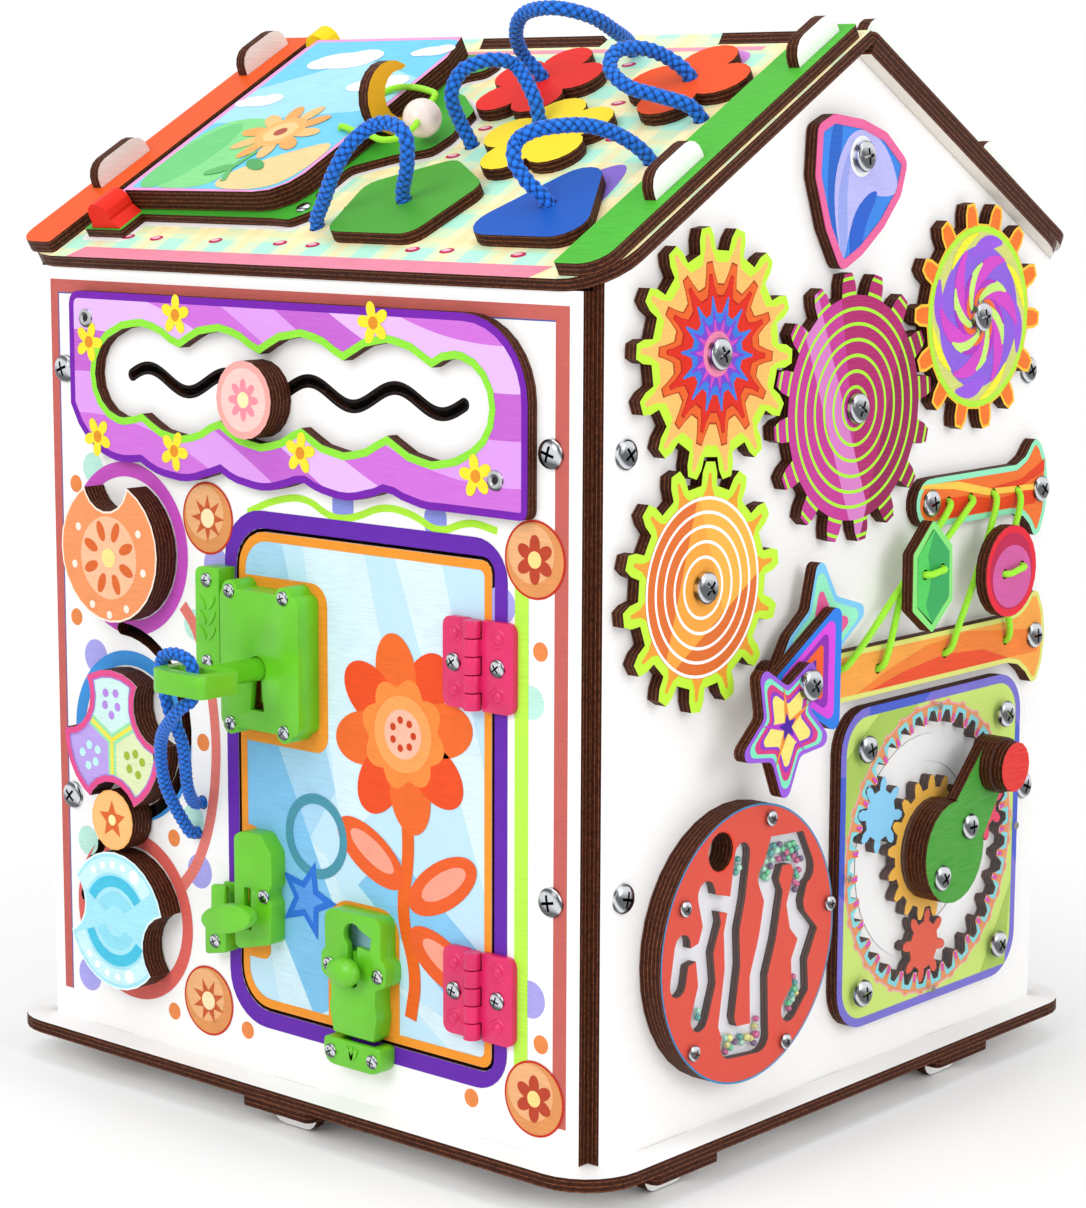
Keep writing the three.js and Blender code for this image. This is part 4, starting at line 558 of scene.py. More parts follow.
def ink(code, face="front", rough=0.42):
    """Ink on smooth plywood: a colour with the fibres of the veneer in it."""
    key = (code, face)
    if key in INKS:
        return INKS[key]
    f = Finish(f"ink_{code}_{face}", rough)
    fibre = f.grain(face)
    blot = f.noise(f.place["Object"], 90.0)
    tone = f.sum("ADD", f.sum("MULTIPLY", fibre, 0.75), f.sum("MULTIPLY", blot, 0.25))
    f.colour(f.blend(f.step(tone, 0.32, 0.68), linear(shade(code, 0.93)), linear(shade(code, 1.03))))
    f.roughness(f.node("ShaderNodeMapRange", {0: tone, 3: rough - 0.06, 4: rough + 0.08}).outputs[0])
    f.bump(fibre, 0.10)
    INKS[key] = f.material
    return f.material


# Dark and light plies of the plywood's edge repeat after this length
PLY_REPEAT = 2.1


def burnt_edge(f, out_value):
    """Colour of a laser-cut plywood edge: dark, with thin lighter plies along it."""
    ply = f.sum("MULTIPLY", out_value, 1 / (PLY_REPEAT * MM))
    wander = f.noise(f.place["Object"], 160.0, 2.0)
    line = f.sum("FRACT", f.sum("ADD", ply, f.sum("MULTIPLY", wander, 0.18)))
    pale = f.sum("MULTIPLY", f.between(line, 0.30, 0.52), 0.85)
    streak = f.noise(f.place["Object"], 700.0, 3.0)
    dark = f.blend(f.step(streak, 0.3, 0.75), linear("241008"), linear(BURNT))
    return f.blend(pale, dark, f.blend(f.step(streak, 0.35, 0.7), linear("5E301B"), linear("8A5436")))


BOARDS = {}


def board(face, top=WHITE, rough=0.42, under="E9E2D8"):
    """Cut plywood: a printed or lacquered face, a burnt edge and a pale back."""
    key = (face, top, under)
    if key in BOARDS:
        return BOARDS[key]
    f = Finish(f"board_{face}_{top}", rough)
    _, _, h = f.face_place(face)
    facing = f.along(f.place["Normal"], FACES[face][2])
    fibre = f.grain(face)
    paint = f.blend(f.step(fibre, 0.34, 0.66), linear(shade(top, 0.982)), linear(top))
    back = f.blend(f.step(fibre, 0.34, 0.66), linear(shade(under, 0.93)), linear(under))
    edge = burnt_edge(f, h)
    is_face = f.sum("GREATER_THAN", f.sum("ABSOLUTE", facing), 0.6)
    flat = f.blend(f.sum("GREATER_THAN", facing, 0.0), back, paint)
    f.colour(f.blend(is_face, edge, flat))
    f.roughness(f.node("ShaderNodeMapRange", {0: is_face, 3: 0.62, 4: rough}).outputs[0])
    f.bump(fibre, 0.08)
    BOARDS[key] = f.material
    return f.material


CHECK_ACROSS = 0.0312
CHECK_UP = 0.0283


def roof_finish(face, left, right):
    """Pastel checks on the roof board, and the painted strips that stand on its edges."""
    f = Finish(f"roof_{face}", 0.45)
    u, v, h = f.face_place(face)
    facing = f.along(f.place["Normal"], FACES[face][2])
    fibre = f.grain(face)
    across = f.sum("FRACT", f.sum("MULTIPLY", u, 1 / CHECK_ACROSS))
    upward = f.sum("FRACT", f.sum("MULTIPLY", v, 1 / CHECK_UP))
    mint_up = f.between(across, 0.06, 0.46)
    mint_flat = f.between(upward, 0.10, 0.52)
    tan_up = f.between(across, 0.62, 0.80)
    tan_flat = f.between(upward, 0.66, 0.82)
    ground = linear("FBF1BF")
    one = f.blend(f.sum("MULTIPLY", mint_flat, 0.55), ground, linear("BDEBCB"))
    two = f.blend(f.sum("MULTIPLY", mint_up, 0.50), one, linear("A9EBCB"))
    three = f.blend(f.sum("MULTIPLY", tan_up, 0.55), two, linear("F6DFA2"))
    four = f.blend(f.sum("MULTIPLY", tan_flat, 0.50), three, linear("F6E3A6"))
    both = f.blend(f.sum("MULTIPLY", mint_up, f.sum("MULTIPLY", mint_flat, 0.75)), four, linear("AEF0DC"))
    left_paint = f.blend(f.step(fibre, 0.3, 0.7), linear(shade(left, 0.92)), linear(left))
    right_paint = f.blend(f.step(fibre, 0.3, 0.7), linear(shade(right, 0.90)), linear(shade(right, 1.05)))
    strip = f.blend(f.sum("GREATER_THAN", u, 0.0), left_paint, right_paint)
    raised = f.sum("GREATER_THAN", h, (PLY + 0.6) * MM)
    top = f.blend(raised, both, strip)
    is_top = f.sum("GREATER_THAN", facing, 0.6)
    is_under = f.sum("LESS_THAN", facing, -0.6)
    body = f.blend(is_under, burnt_edge(f, h), linear("EDE6DC"))
    f.colour(f.blend(is_top, body, top))
    f.bump(fibre, 0.12)
    return f.material


PLASTICS = {}


def plastic(code, rough):
    """Moulded plastic with a soft, slightly uneven gloss."""
    key = (code, rough)
    if key in PLASTICS:
        return PLASTICS[key]
    f = Finish(f"plastic_{code}", rough)
    cloud = f.noise(f.place["Object"], 45.0)
    fine = f.noise(f.place["Object"], 2600.0, 2.0)
    f.colour(f.blend(f.step(cloud, 0.35, 0.65), linear(shade(code, 0.96)), linear(shade(code, 1.03))))
    f.roughness(f.node("ShaderNodeMapRange", {0: cloud, 3: rough - 0.05, 4: rough + 0.07}).outputs[0])
    f.bump(fine, 0.04)
    f.skin.inputs["Specular IOR Level"].default_value = 0.5
    f.skin.inputs["Subsurface Weight"].default_value = 0.04
    f.skin.inputs["Subsurface Radius"].default_value = (0.004, 0.004, 0.002)
    PLASTICS[key] = f.material
    return f.material


def metal(name="screw_steel", code="DADDE2", rough=0.16):
    """Bright zinc on screws, with fine turning marks and painted reflection: bands of bright and dark zinc
    that follow the way each face turns.
    """
    f = Finish(name, rough)
    fine = f.noise(f.place["Object"], 1800.0, 2.0)
    # Painted reflection: the colour swings between the zinc and a darker zinc with the direction of the
    # surface
    lean = f.along(f.place["Normal"], (0.35, 0.35, 0.87))
    band = f.sum("ADD", f.sum("MULTIPLY", f.sum("SINE", f.sum("MULTIPLY", lean, 7.5)), 0.5), 0.5)
    painted_reflection = f.blend(f.step(band, 0.15, 0.8), linear(code), linear(shade(code, 0.46)))
    f.colour(f.blend(f.step(fine, 0.3, 0.7), painted_reflection, linear(code)) if rough > 0.3 else painted_reflection)
    f.roughness(f.node("ShaderNodeMapRange", {0: fine, 3: rough - 0.06, 4: rough + 0.1}).outputs[0])
    f.skin.inputs["Metallic"].default_value = 1.0
    f.skin.inputs["Specular IOR Level"].default_value = 0.5
    f.bump(fine, 0.05)
    return f.material


def clear_sheet(name):
    """Clear moulded sheet: nearly all light goes through, with a gloss on top."""
    f = Finish(name, 0.06)
    fine = f.noise(f.place["Object"], 30.0, 2.0)
    f.colour(f.blend(fine, linear("DDE6EA"), linear("CFDCE4")))
    f.roughness(f.node("ShaderNodeMapRange", {0: fine, 3: 0.04, 4: 0.10}).outputs[0])
    f.skin.inputs["Alpha"].default_value = 0.03
    f.skin.inputs["Specular IOR Level"].default_value = 0.8
    return f.material


def woven(name, code):
    """Braided cord: the braid is in its shape, the fibres of each strand in its finish, and painted shade
    darkens the grooves between the strands.
    """
    f = Finish(name, 0.7)
    fibre = f.noise(f.place["Object"], 1500.0, 4.0, 0.7)
    groove_shade = f.node("ShaderNodeAttribute", attribute_name="braid").outputs["Fac"]
    strand = f.blend(f.step(fibre, 0.3, 0.7), linear(shade(code, 0.98)), linear(shade(code, 1.45)))
    # Painted shade: where the weave is low, in the grooves between strands, the colour falls to a quarter of
    # the rope's
    f.colour(f.blend(f.step(groove_shade, 0.08, 0.8), linear(shade(code, 0.24)), strand))
    f.bump(fibre, 0.25, 0.0003)
    f.skin.inputs["Sheen Weight"].default_value = 0.35
    f.skin.inputs["Sheen Roughness"].default_value = 0.4
    return f.material


def radial(name, centre, rings, base, patches, width, line="FFFFFF"):
    """Thin circles about a gear's pin, over a base colour and slanted patches of another."""
    f = Finish(name, 0.42)
    u, v, _ = f.face_place("right")
    du = f.sum("SUBTRACT", u, centre[0] * MM)
    dv = f.sum("SUBTRACT", v, centre[1] * MM)
    r = f.sum("SQRT", f.sum("ADD", f.sum("MULTIPLY", du, du), f.sum("MULTIPLY", dv, dv)))
    fibre = f.grain("right")
    tone = linear(base)
    for (slope, shift, low, high, code) in patches:
        d = f.sum("ADD", f.sum("ADD", du, f.sum("MULTIPLY", dv, slope)), shift * MM)
        tone = f.blend(f.between(d, low * MM, high * MM), tone, linear(code))
    for radius in rings:
        hit = f.sum("LESS_THAN", f.sum("ABSOLUTE", f.sum("SUBTRACT", r, radius * MM)), width / 2)
        tone = f.blend(hit, tone, linear(line))
    f.colour(f.blend(f.sum("MULTIPLY", f.step(fibre, 0.35, 0.7), 0.03), tone, linear("FFFFFF")))
    f.bump(fibre, 0.08)
    return f.material


def waves(name, face, codes, scale=26.0, turn=0.6):
    """Broad soft waves of near colours, as printed on the maze window plate."""
    f = Finish(name, 0.42)
    u, v, _ = f.face_place(face)
    bend = f.sum("MULTIPLY", f.sum("SINE", f.sum("MULTIPLY", u, scale)), 0.022)
    d = f.sum("ADD", f.sum("ADD", v, bend), f.sum("MULTIPLY", u, turn))
    part = f.sum("FRACT", f.sum("MULTIPLY", d, 1 / 0.078))
    tone = linear(codes[0])
    for i, code in enumerate(codes[1:]):
        low = (i + 1) / len(codes)
        tone = f.blend(f.sum("GREATER_THAN", part, low), tone, linear(code))
    fibre = f.grain(face)
    f.colour(f.blend(f.sum("MULTIPLY", f.step(fibre, 0.3, 0.75), 0.07), tone, linear("FFFFFF")))
    f.bump(fibre, 0.08)
    return f.material


def paint_nodes(nodes, material):
    for node in nodes:
        obj = NODES[node]
        for i in range(len(obj.data.materials)):
            obj.material_slots[i].link = "DATA"
            obj.material_slots[i].material = material
        if not obj.data.materials:
            obj.data.materials.append(material)


# Small parts made once and copied


def turned(name, profile, steps=32):
    """A round part from half its outline, as on a lathe."""
    clean_selection()
    mesh = bpy.data.meshes.new(name)
    points = [(r * MM, 0.0, z * MM) for r, z in profile]
    mesh.from_pydata(points, [(i, i + 1) for i in range(len(points) - 1)], [])
    obj = new_object(name, mesh)
    only(obj)
    spin = obj.modifiers.new("spin", "SCREW")
    spin.steps = steps
    spin.render_steps = steps
    spin.use_merge_vertices = True
    spin.merge_threshold = 1e-7
    bpy.ops.object.modifier_apply(modifier=spin.name)
    settle(obj)
    bpy.ops.object.shade_smooth_by_angle(angle=math.radians(40))
    return obj


MASTERS = {}

# Height of a screw head and of its straight rim, and its recess, as shares of its radius
SCREW_HEIGHTS = {"pan": (0.50, 0.13), "tall": (0.62, 0.33)}
RECESS_ARM = 0.54
RECESS_WIDE = 0.10
RECESS_DEEP = 0.26
RECESS_CUTTER = 0.5


def cross_head(kind):
    """A pan-head screw with a cross recess, made once: its radius is 1 mm to be scaled."""
    if kind in MASTERS:
        return MASTERS[kind]
    high, base = SCREW_HEIGHTS[kind]
    profile = [(0, 0), (1.0, 0), (1.0, base)]
    steps = 7
    for i in range(1, steps + 1):
        a = math.radians(90 * i / steps)
        profile.append((math.cos(a) ** 0.75 if i < steps else 0.0, base + (high - base) * math.sin(a)))
    obj = turned(f"screw_{kind}", profile, 40)
    arm, wide = RECESS_ARM, RECESS_WIDE
    plus = [
        (-wide, arm), (wide, arm), (wide, wide), (arm, wide), (arm, -wide), (wide, -wide), (wide, -arm),
        (-wide, -arm), (-wide, -wide), (-arm, -wide), (-arm, wide), (-wide, wide)
    ]
    curve = bpy.data.curves.new("recess", "CURVE")
    curve.dimensions = "2D"
    curve.extrude = RECESS_CUTTER * MM
    spline = curve.splines.new("POLY")
    spline.points.add(len(plus) - 1)
    for point, (x, y) in zip(spline.points, plus):
        point.co = (x * MM, y * MM, 0, 1)
    spline.use_cyclic_u = True
    cutter = new_object("recess", curve)
    only(cutter)
    bpy.ops.object.convert(target="MESH")
    cutter.matrix_world = Matrix.Translation((0, 0, (high + RECESS_CUTTER - RECESS_DEEP) * MM))
    settle(cutter)
    for piece in (obj, cutter):
        piece.data.transform(Matrix.Scale(BIG, 4))
    only(obj)
    cut = obj.modifiers.new("cut", "BOOLEAN")
    cut.operation = "DIFFERENCE"
    cut.object = cutter
    bpy.ops.object.modifier_apply(modifier=cut.name)
    bpy.data.objects.remove(cutter)
    obj.data.materials.append(metal(f"screw_steel_{kind}"))
    # A darker steel on the recess's floor and sides: painted shade in the cross recess
    obj.data.materials.append(metal(f"screw_recess_shade_{kind}", "4A5058", 0.4))
    for p in obj.data.polygons:
        x, y, z = p.center
        floor = high - RECESS_DEEP
        low = abs(z - floor) < 0.004 and p.normal.z > 0.9
        side = abs(p.normal.z) < 0.2 and math.hypot(x, y) < RECESS_ARM + 0.02 and z > floor - 0.01
        p.material_index = 1 if low or side else 0
    obj.data.transform(Matrix.Scale(1 / BIG, 4))
    only(obj)
    bpy.ops.object.shade_smooth_by_angle(angle=math.radians(40))
    obj.hide_render = True
    obj.hide_viewport = True
    MASTERS[kind] = obj
    return obj


def screw(name, face, u, v, h, r, body, kind="pan", turn=20.0):
    """A copy of the screw head at a place on a face."""
    mesh = cross_head(kind).data.copy()
    mesh.transform(place_on(face, u, v, h) @ Matrix.Rotation(math.radians(turn), 4, "Z") @ Matrix.Scale(r, 4))
    obj = new_object(f"screw_{name}", mesh)
    mesh.name = obj.name
    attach(obj, body)
    return obj


def clear_masters():
    """Takes away the pieces that were only copied."""
    for obj in MASTERS.values():
        bpy.data.objects.remove(obj)
    MASTERS.clear()


def clip(obj, node, face, shift=0.4):
    """Keeps the part of a print that has the board below it, so that slots stay open."""
    cutter = node_copy(node, "cutter")
    cutter.data.transform(Matrix.Translation(Vector(FACES[face][2]) * shift * MM))
    for mesh in (cutter.data, obj.data):
        mesh.transform(Matrix.Scale(BIG, 4))
    only(obj)
    cut = obj.modifiers.new("clip", "BOOLEAN")
    cut.operation = "INTERSECT"
    cut.object = cutter
    bpy.ops.object.modifier_apply(modifier=cut.name)
    obj.data.transform(Matrix.Scale(1 / BIG, 4))
    bpy.data.objects.remove(cutter)
    return obj


def smooth_line(points, steps):
    """Points along the centripetal line that passes the route's stations."""
    pts = [Vector(p) for p in points]
    pts = [pts[0] * 2 - pts[1]] + pts + [pts[-1] * 2 - pts[-2]]
    out = []
    for i in range(1, len(pts) - 2):
        p0, p1, p2, p3 = pts[i - 1:i + 3]
        t0 = 0.0
        t1 = t0 + max((p1 - p0).length, 1e-6) ** 0.5
        t2 = t1 + max((p2 - p1).length, 1e-6) ** 0.5
        t3 = t2 + max((p3 - p2).length, 1e-6) ** 0.5
        n = max(2, int((p2 - p1).length / steps))
        for k in range(n):
            t = t1 + (t2 - t1) * k / n
            a1 = p0 * ((t1 - t) / (t1 - t0)) + p1 * ((t - t0) / (t1 - t0))
            a2 = p1 * ((t2 - t) / (t2 - t1)) + p2 * ((t - t1) / (t2 - t1))
            a3 = p2 * ((t3 - t) / (t3 - t2)) + p3 * ((t - t2) / (t3 - t2))
            b1 = a1 * ((t2 - t) / (t2 - t0)) + a2 * ((t - t0) / (t2 - t0))
            b2 = a2 * ((t3 - t) / (t3 - t1)) + a3 * ((t - t1) / (t3 - t1))
            out.append(b1 * ((t2 - t) / (t2 - t1)) + b2 * ((t - t1) / (t2 - t1)))
    out.append(pts[-2])
    return out


def cord_tube(name, line, radius, material, relief=0.0, twist=1.25, sides=28):
    """A tube along a line, with the ribs of a braid where it is a rope. Ends are closed."""
    bm = bmesh.new()
    # The braid attribute keeps each point's weave, which the rope's finish turns into painted shade in the
    # grooves
    braid = bm.verts.layers.float.new("braid")
    side = (line[1] - line[0]).orthogonal().normalized()
    rings = []
    run = 0.0
    for i, p in enumerate(line):
        ahead = (line[min(i + 1, len(line) - 1)] - line[max(i - 1, 0)]).normalized()
        if i:
            run += (p - line[i - 1]).length
        side = (side - ahead * side.dot(ahead)).normalized()
        other = ahead.cross(side)
        verts = []
        for k in range(sides):
            a = 2 * math.pi * k / sides
            weave = 0.0
            if relief:
                s = run / (twist * radius * MM)
                left, right = 4 * k / sides + s, 4 * k / sides - s
                one, two = math.sin(math.pi * (left % 1.0)), math.sin(math.pi * (right % 1.0))
                if (math.floor(left) + math.floor(right)) % 2:
                    one, two = two, one
                weave = one ** 0.7 * (0.5 + 0.5 * two)
            r = radius * MM * (1.0 - relief + relief * weave * 1.35)
            v = bm.verts.new(p + (side * math.cos(a) + other * math.sin(a)) * r)
            v[braid] = weave
            verts.append(v)
        rings.append(verts)
    for a, b in zip(rings, rings[1:]):
        for k in range(sides):
            j = (k + 1) % sides
            bm.faces.new((a[k], a[j], b[j], b[k]))
    bm.faces.new(rings[0][::-1])
    bm.faces.new(rings[-1])
    bmesh.ops.recalc_face_normals(bm, faces=bm.faces)
    mesh = bpy.data.meshes.new(name)
    bm.to_mesh(mesh)
    bm.free()
    obj = new_object(name, mesh)
    for p in mesh.polygons:
        p.use_smooth = True
    mesh.materials.append(material)
    return obj


# Settings


class BoardColours(bpy.types.PropertyGroup):
    """Colours that a user may change."""

    plastic_green: FloatVectorProperty(
        name="Green plastic", description="Lock, latch and bolt", subtype="COLOR", size=3, min=0, max=1,
        default=linear(GREEN_PLASTIC)[:3]
    )
    plastic_pink: FloatVectorProperty(
        name="Pink plastic", description="Hinges of the door", subtype="COLOR", size=3, min=0, max=1,
        default=linear(PINK_PLASTIC)[:3]
    )
    rope_blue: FloatVectorProperty(
        name="Blue rope", description="Ropes of the roof shapes and the key", subtype="COLOR", size=3, min=0,
        max=1, default=linear(ROPE_BLUE)[:3]
    )
    strip_left: FloatVectorProperty(
        name="Left strip", description="Painted strip on the left edge of the roof", subtype="COLOR", size=3,
        min=0, max=1, default=linear(STRIP_ORANGE)[:3]
    )
    strip_right: FloatVectorProperty(
        name="Right strip", description="Painted strip on the right edge of the roof", subtype="COLOR",
        size=3, min=0, max=1, default=linear(STRIP_GREEN)[:3]
    )


class BoardSizes(bpy.types.PropertyGroup):
    """Sizes that a user may change."""

    wall_screw: FloatProperty(
        name="Wall screw", description="Radius of a screw head on the walls", default=6.5 * MM, min=3 * MM,
        max=7 * MM, subtype="DISTANCE", unit="LENGTH"
    )
    small_screw: FloatProperty(
        name="Small screw", description="Radius of a screw head on the plastic parts", default=3.3 * MM,
        min=1 * MM, max=4 * MM, subtype="DISTANCE", unit="LENGTH"
    )
    bead: FloatProperty(
        name="Glass bead", description="Radius of a bead in the round maze", default=1.55 * MM, min=1 * MM,
        max=2 * MM, subtype="DISTANCE", unit="LENGTH"
    )
    plastic_round: FloatProperty(
        name="Rounded edge", description="Rounding on the edges of the plastic parts", default=0.8 * MM,
        min=0.1 * MM, max=1.5 * MM, subtype="DISTANCE", unit="LENGTH"
    )
    rope_relief: FloatProperty(
        name="Braid relief", description="Share of a rope's radius that its strands stand out", default=0.2,
        min=0, max=0.3, subtype="FACTOR"
    )


def code_of(rgb):
    """A linear colour as a code."""
    out = ""
    for c in rgb:
        s = c * 12.92 if c <= 0.0031308 else 1.055 * c ** (1 / 2.4) - 0.055
        out += f"{max(0, min(255, round(s * 255))):02X}"
    return out


def colours():
    return bpy.context.scene.board_colours


def sizes():
    return bpy.context.scene.board_sizes


# Camera and cords

# Routes in millimetres: across, up and out from the face
ROPE_ROUTES = {
    "green": [
        (36.6, -154.6, 7), (36.9, -154.7, 14), (47.5, -155.3, 30), (51.9, -154.1, 44), (44.1, -151.7, 48),
        (34.7, -152.6, 48), (25.4, -160.4, 44), (16, -167.3, 34), (4, -169.4, 20), (-6.6, -169.5, 8),
        (-7.2, -169.5, 1)
    ],
    "yellow": [
        (63.7, -86.4, 7), (63.7, -86.2, 14), (62.9, -83.7, 22), (52.1, -77.2, 36), (49, -83.6, 42),
        (44, -89, 44), (35.9, -94.3, 42), (30.8, -99.7, 34), (27.9, -98.1, 20), (28.5, -96.9, 8),
        (28.5, -96.8, 1)
    ],
    "red": [
        (33.2, -44.7, 7), (33, -44.8, 14), (28.2, -45.9, 24), (33.6, -51.3, 38), (46.9, -55.7, 50),
        (69.9, -58.8, 54), (77.2, -47.6, 44), (74.6, -32.2, 28), (66.5, -17.5, 15), (62.6, -11.8, 7),
        (62.4, -11.5, 1)
    ],
    "orange": [
        (120.7, -46.3, 7), (120.5, -46.4, 14), (113, -48.6, 24), (108.1, -57.7, 33), (104.4, -68.8, 37),
        (107, -78, 34), (118, -83, 28), (132, -81, 22), (141, -75, 14), (143.1, -73, 7), (143.1, -72.9, 1)
    ],
    "blue": [
        (120.3, -155, 7), (120, -155.2, 14), (114, -156, 24), (109.5, -153.9, 33), (108.8, -147.9, 38),
        (114.9, -143, 40), (121.9, -135.4, 38), (129.1, -124.6, 32), (136.5, -116.1, 22), (140.7, -109.8, 9),
        (141, -109, 1)
    ],
}
KEY_ROUTE = [
    (-61, 122.2, -4), (-61, 122.2, 0.5), (-60.6, 122.6, 4.6), (-52, 132.4, 17), (-38, 159, 33),
    (-34, 176, 44), (-33.5, 190, 48), (-31, 200.5, 50), (-21, 203.5, 51), (-11.5, 200.5, 51),
    (-10.2, 193, 51), (-11, 184.5, 51), (-17.5, 180, 51.5), (-26, 174, 49.5), (-44, 160, 40),
    (-57.6, 135.5, 26), (-63.4, 113, 9), (-64.4, 108, 4.2), (-64.5, 107.5, 0.5), (-64.5, 107.5, -4)
]
LACE_ROUTE = [
    (76, 260.5, -9), (76, 260.5, 6), (74, 259.5, 8.6), (60, 247.5, 9.6), (30, 223, 9.6), (-8.7, 193.1, 8.4),
    (-10, 192, 6), (-10, 192, -8), (-3, 190.5, -10), (14, 189.5, -10),
    (21, 188.5, -8), (21, 188.5, 6), (22, 190.6, 8.5), (33, 222, 10.2), (36.6, 230.4, 11.6), (37, 231.5, 14),
    (37, 231.5, 20), (38.3, 231.6, 22.2), (44, 232.2, 22.4), (49.7, 232.9, 22.2),
    (51, 233, 20), (51, 233, 14), (51.6, 233.6, 11.6), (60, 238.5, 10.8), (88, 256, 9), (93.5, 259.5, 8.4),
    (95, 260.5, 6), (95, 260.5, -8), (100, 260.5, -10), (109.5, 261, -10),
    (114.5, 261, -8), (114.5, 261, 6), (113.7, 259, 8.5), (106, 242, 9.6), (82, 200, 9.2), (77.5, 191, 8.5),
    (76, 188.5, 6), (76, 188.5, -8), (83, 188.5, -10), (122, 188, -10),
    (129, 188, -8), (129, 188, 6), (128.4, 191, 8.6), (124, 203, 9.8), (107, 221, 10.6), (104.9, 223.9, 11.7),
    (104.5, 224.5, 14), (104.5, 224.5, 20), (105.8, 224.7, 22.2), (112, 225.7, 22.4),
    (118.2, 226.8, 22.2), (119.5, 227, 20), (119.5, 227, 14), (119.8, 227.8, 11.6), (124, 236, 10.4),
    (134.8, 256.5, 8.8), (136, 260.5, 6), (136, 260.5, -9),
]


# The camera of the photograph: lens in millimetres, place in metres, and turn, tilt and roll
CAMERA_LENS = 88.461
CAMERA_PLACE = (0.942281, -1.089558, 0.436383)
CAMERA_ANGLES = (40.972, 9.029, 0.219)

# Radii of the drawn cords
ROPE_RADIUS = 3.3
KEY_CORD_RADIUS = 2.9
LACE_RADIUS = 1.6


class BUSY_OT_camera_and_cords(bpy.types.Operator):
    """Sets the camera, and lays the blue ropes and the lime lace"""

    bl_idname = "busy.camera_and_cords"
    bl_label = "Camera and cords"

    def execute(self, context):
        camera = bpy.data.cameras.new("camera")
        camera.sensor_width = 36
        camera.lens = CAMERA_LENS
        camera.clip_end = 50
        eye = new_object("camera", camera)
        turn, tilt, roll = (math.radians(a) for a in CAMERA_ANGLES)
        ahead = Vector((-math.sin(turn) * math.cos(tilt), math.cos(turn) * math.cos(tilt), -math.sin(tilt)))
        across = Vector((math.cos(turn), math.sin(turn), 0))
        up = across.cross(ahead)
        x = across * math.cos(roll) + up * math.sin(roll)
        y = up * math.cos(roll) - across * math.sin(roll)
        m = Matrix.Identity(4)
        for i in range(3):
            m[i][0], m[i][1], m[i][2] = x[i], y[i], -ahead[i]
            m[i][3] = CAMERA_PLACE[i]
        eye.matrix_world = m
        context.scene.camera = eye
        rope = woven("blue_braid", code_of(colours().rope_blue))
        relief = sizes().rope_relief
        for name, route in ROPE_ROUTES.items():
            line = smooth_line([at("roof", *p) for p in route], 0.0005)
            obj = cord_tube(f"braid_{name}", line, ROPE_RADIUS, rope, relief)
            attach(obj, "house")
            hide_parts(f"rope_{name}")
        line = smooth_line([at("front", *p) for p in KEY_ROUTE], 0.0005)
        obj = cord_tube("braid_key", line, KEY_CORD_RADIUS, rope, relief)
        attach(obj, "house")
        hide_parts("key_cord")
        f = Finish("lime_elastic", 0.5)
        fine = f.noise(f.place["Object"], 1600.0, 3.0)
        f.colour(f.blend(f.step(fine, 0.3, 0.7), linear("86DD1E"), linear("B2F64A")))
        f.bump(fine, 0.15)
        line = smooth_line([at("right", *p) for p in LACE_ROUTE], 0.0009)
        obj = cord_tube("elastic_lace", line, LACE_RADIUS, f.material, 0.0, sides=14)
        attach(obj, "house")
        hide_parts("lace_cord")
        return {"FINISHED"}


# Boards and prints


# The big boards and the face that each belongs to
BOARD_FACES = (
    ("wall_front", "front"), ("wall_right", "right"), ("wall_left", "left"), ("wall_back", "back"),
    ("base_plate", "base")
)

# Small red drops on the roof, across and up its slope
PAISLEY_PLACES = (
    (-140, -183), (-120, -183.5), (-100, -184), (-60, -184), (-18, -184), (3, -184.5), (64, -185), (84, -185),
    (125, -186), (24, -81), (24, -106), (86, -58), (106, -90), (66, -22), (-1, -152), (38, -92)
)


class BUSY_OT_walls_and_roof(bpy.types.Operator):
    """Finishes the walls, the base and the roof, with the roof's printed rows"""

    bl_idname = "busy.walls_and_roof"
    bl_label = "Walls and roof"

    def execute(self, context):
        for node, face in BOARD_FACES:
            paint_nodes([node], board(face, WHITE, under="F5F2EF"))
        left, right = code_of(colours().strip_left), code_of(colours().strip_right)
        paint_nodes(["roof_front"], roof_finish("roof", left, right))
        paint_nodes(["roof_back"], roof_finish("roof_back", right, left))
        eave = [(-146, -203), (143, -203), (150, -193.5), (-140, -193.5)]
        roof_ink = printer("roof", "roof", PLY, "house")
        roof_ink(0, [eave], "E98BA2", "roof_front")
        for u, v in PAISLEY_PLACES:
            roof_ink(1, [oval((u, v), 3.9, 2.1, 8)], "C42C5C")
            roof_ink(2, [oval((u - 0.7, v + 0.5), 2.4, 1.0, 8)], "F6BFD0")
        ridge = [(-134, -10), (134, -10), (134, -6.4), (-134, -6.4)]
        roof_ink(0, [ridge], "EE9DB4", "roof_front")
        outline = offset(loops_of("flip_base", "roof", FLIP_BASE_FACE)[0], 3.2)
        roof_ink(0, [outline], "F7F3F0", "roof_front")
        shadow = smooth([(88, -169), (140, -167), (135, -110), (116, -114)], 3)
        roof_ink(1, [shadow], "8E6FD6")
        roof_ink(1, [oval((112, -26), 22, 13, 30)], "D98BE0")
        return {"FINISHED"}


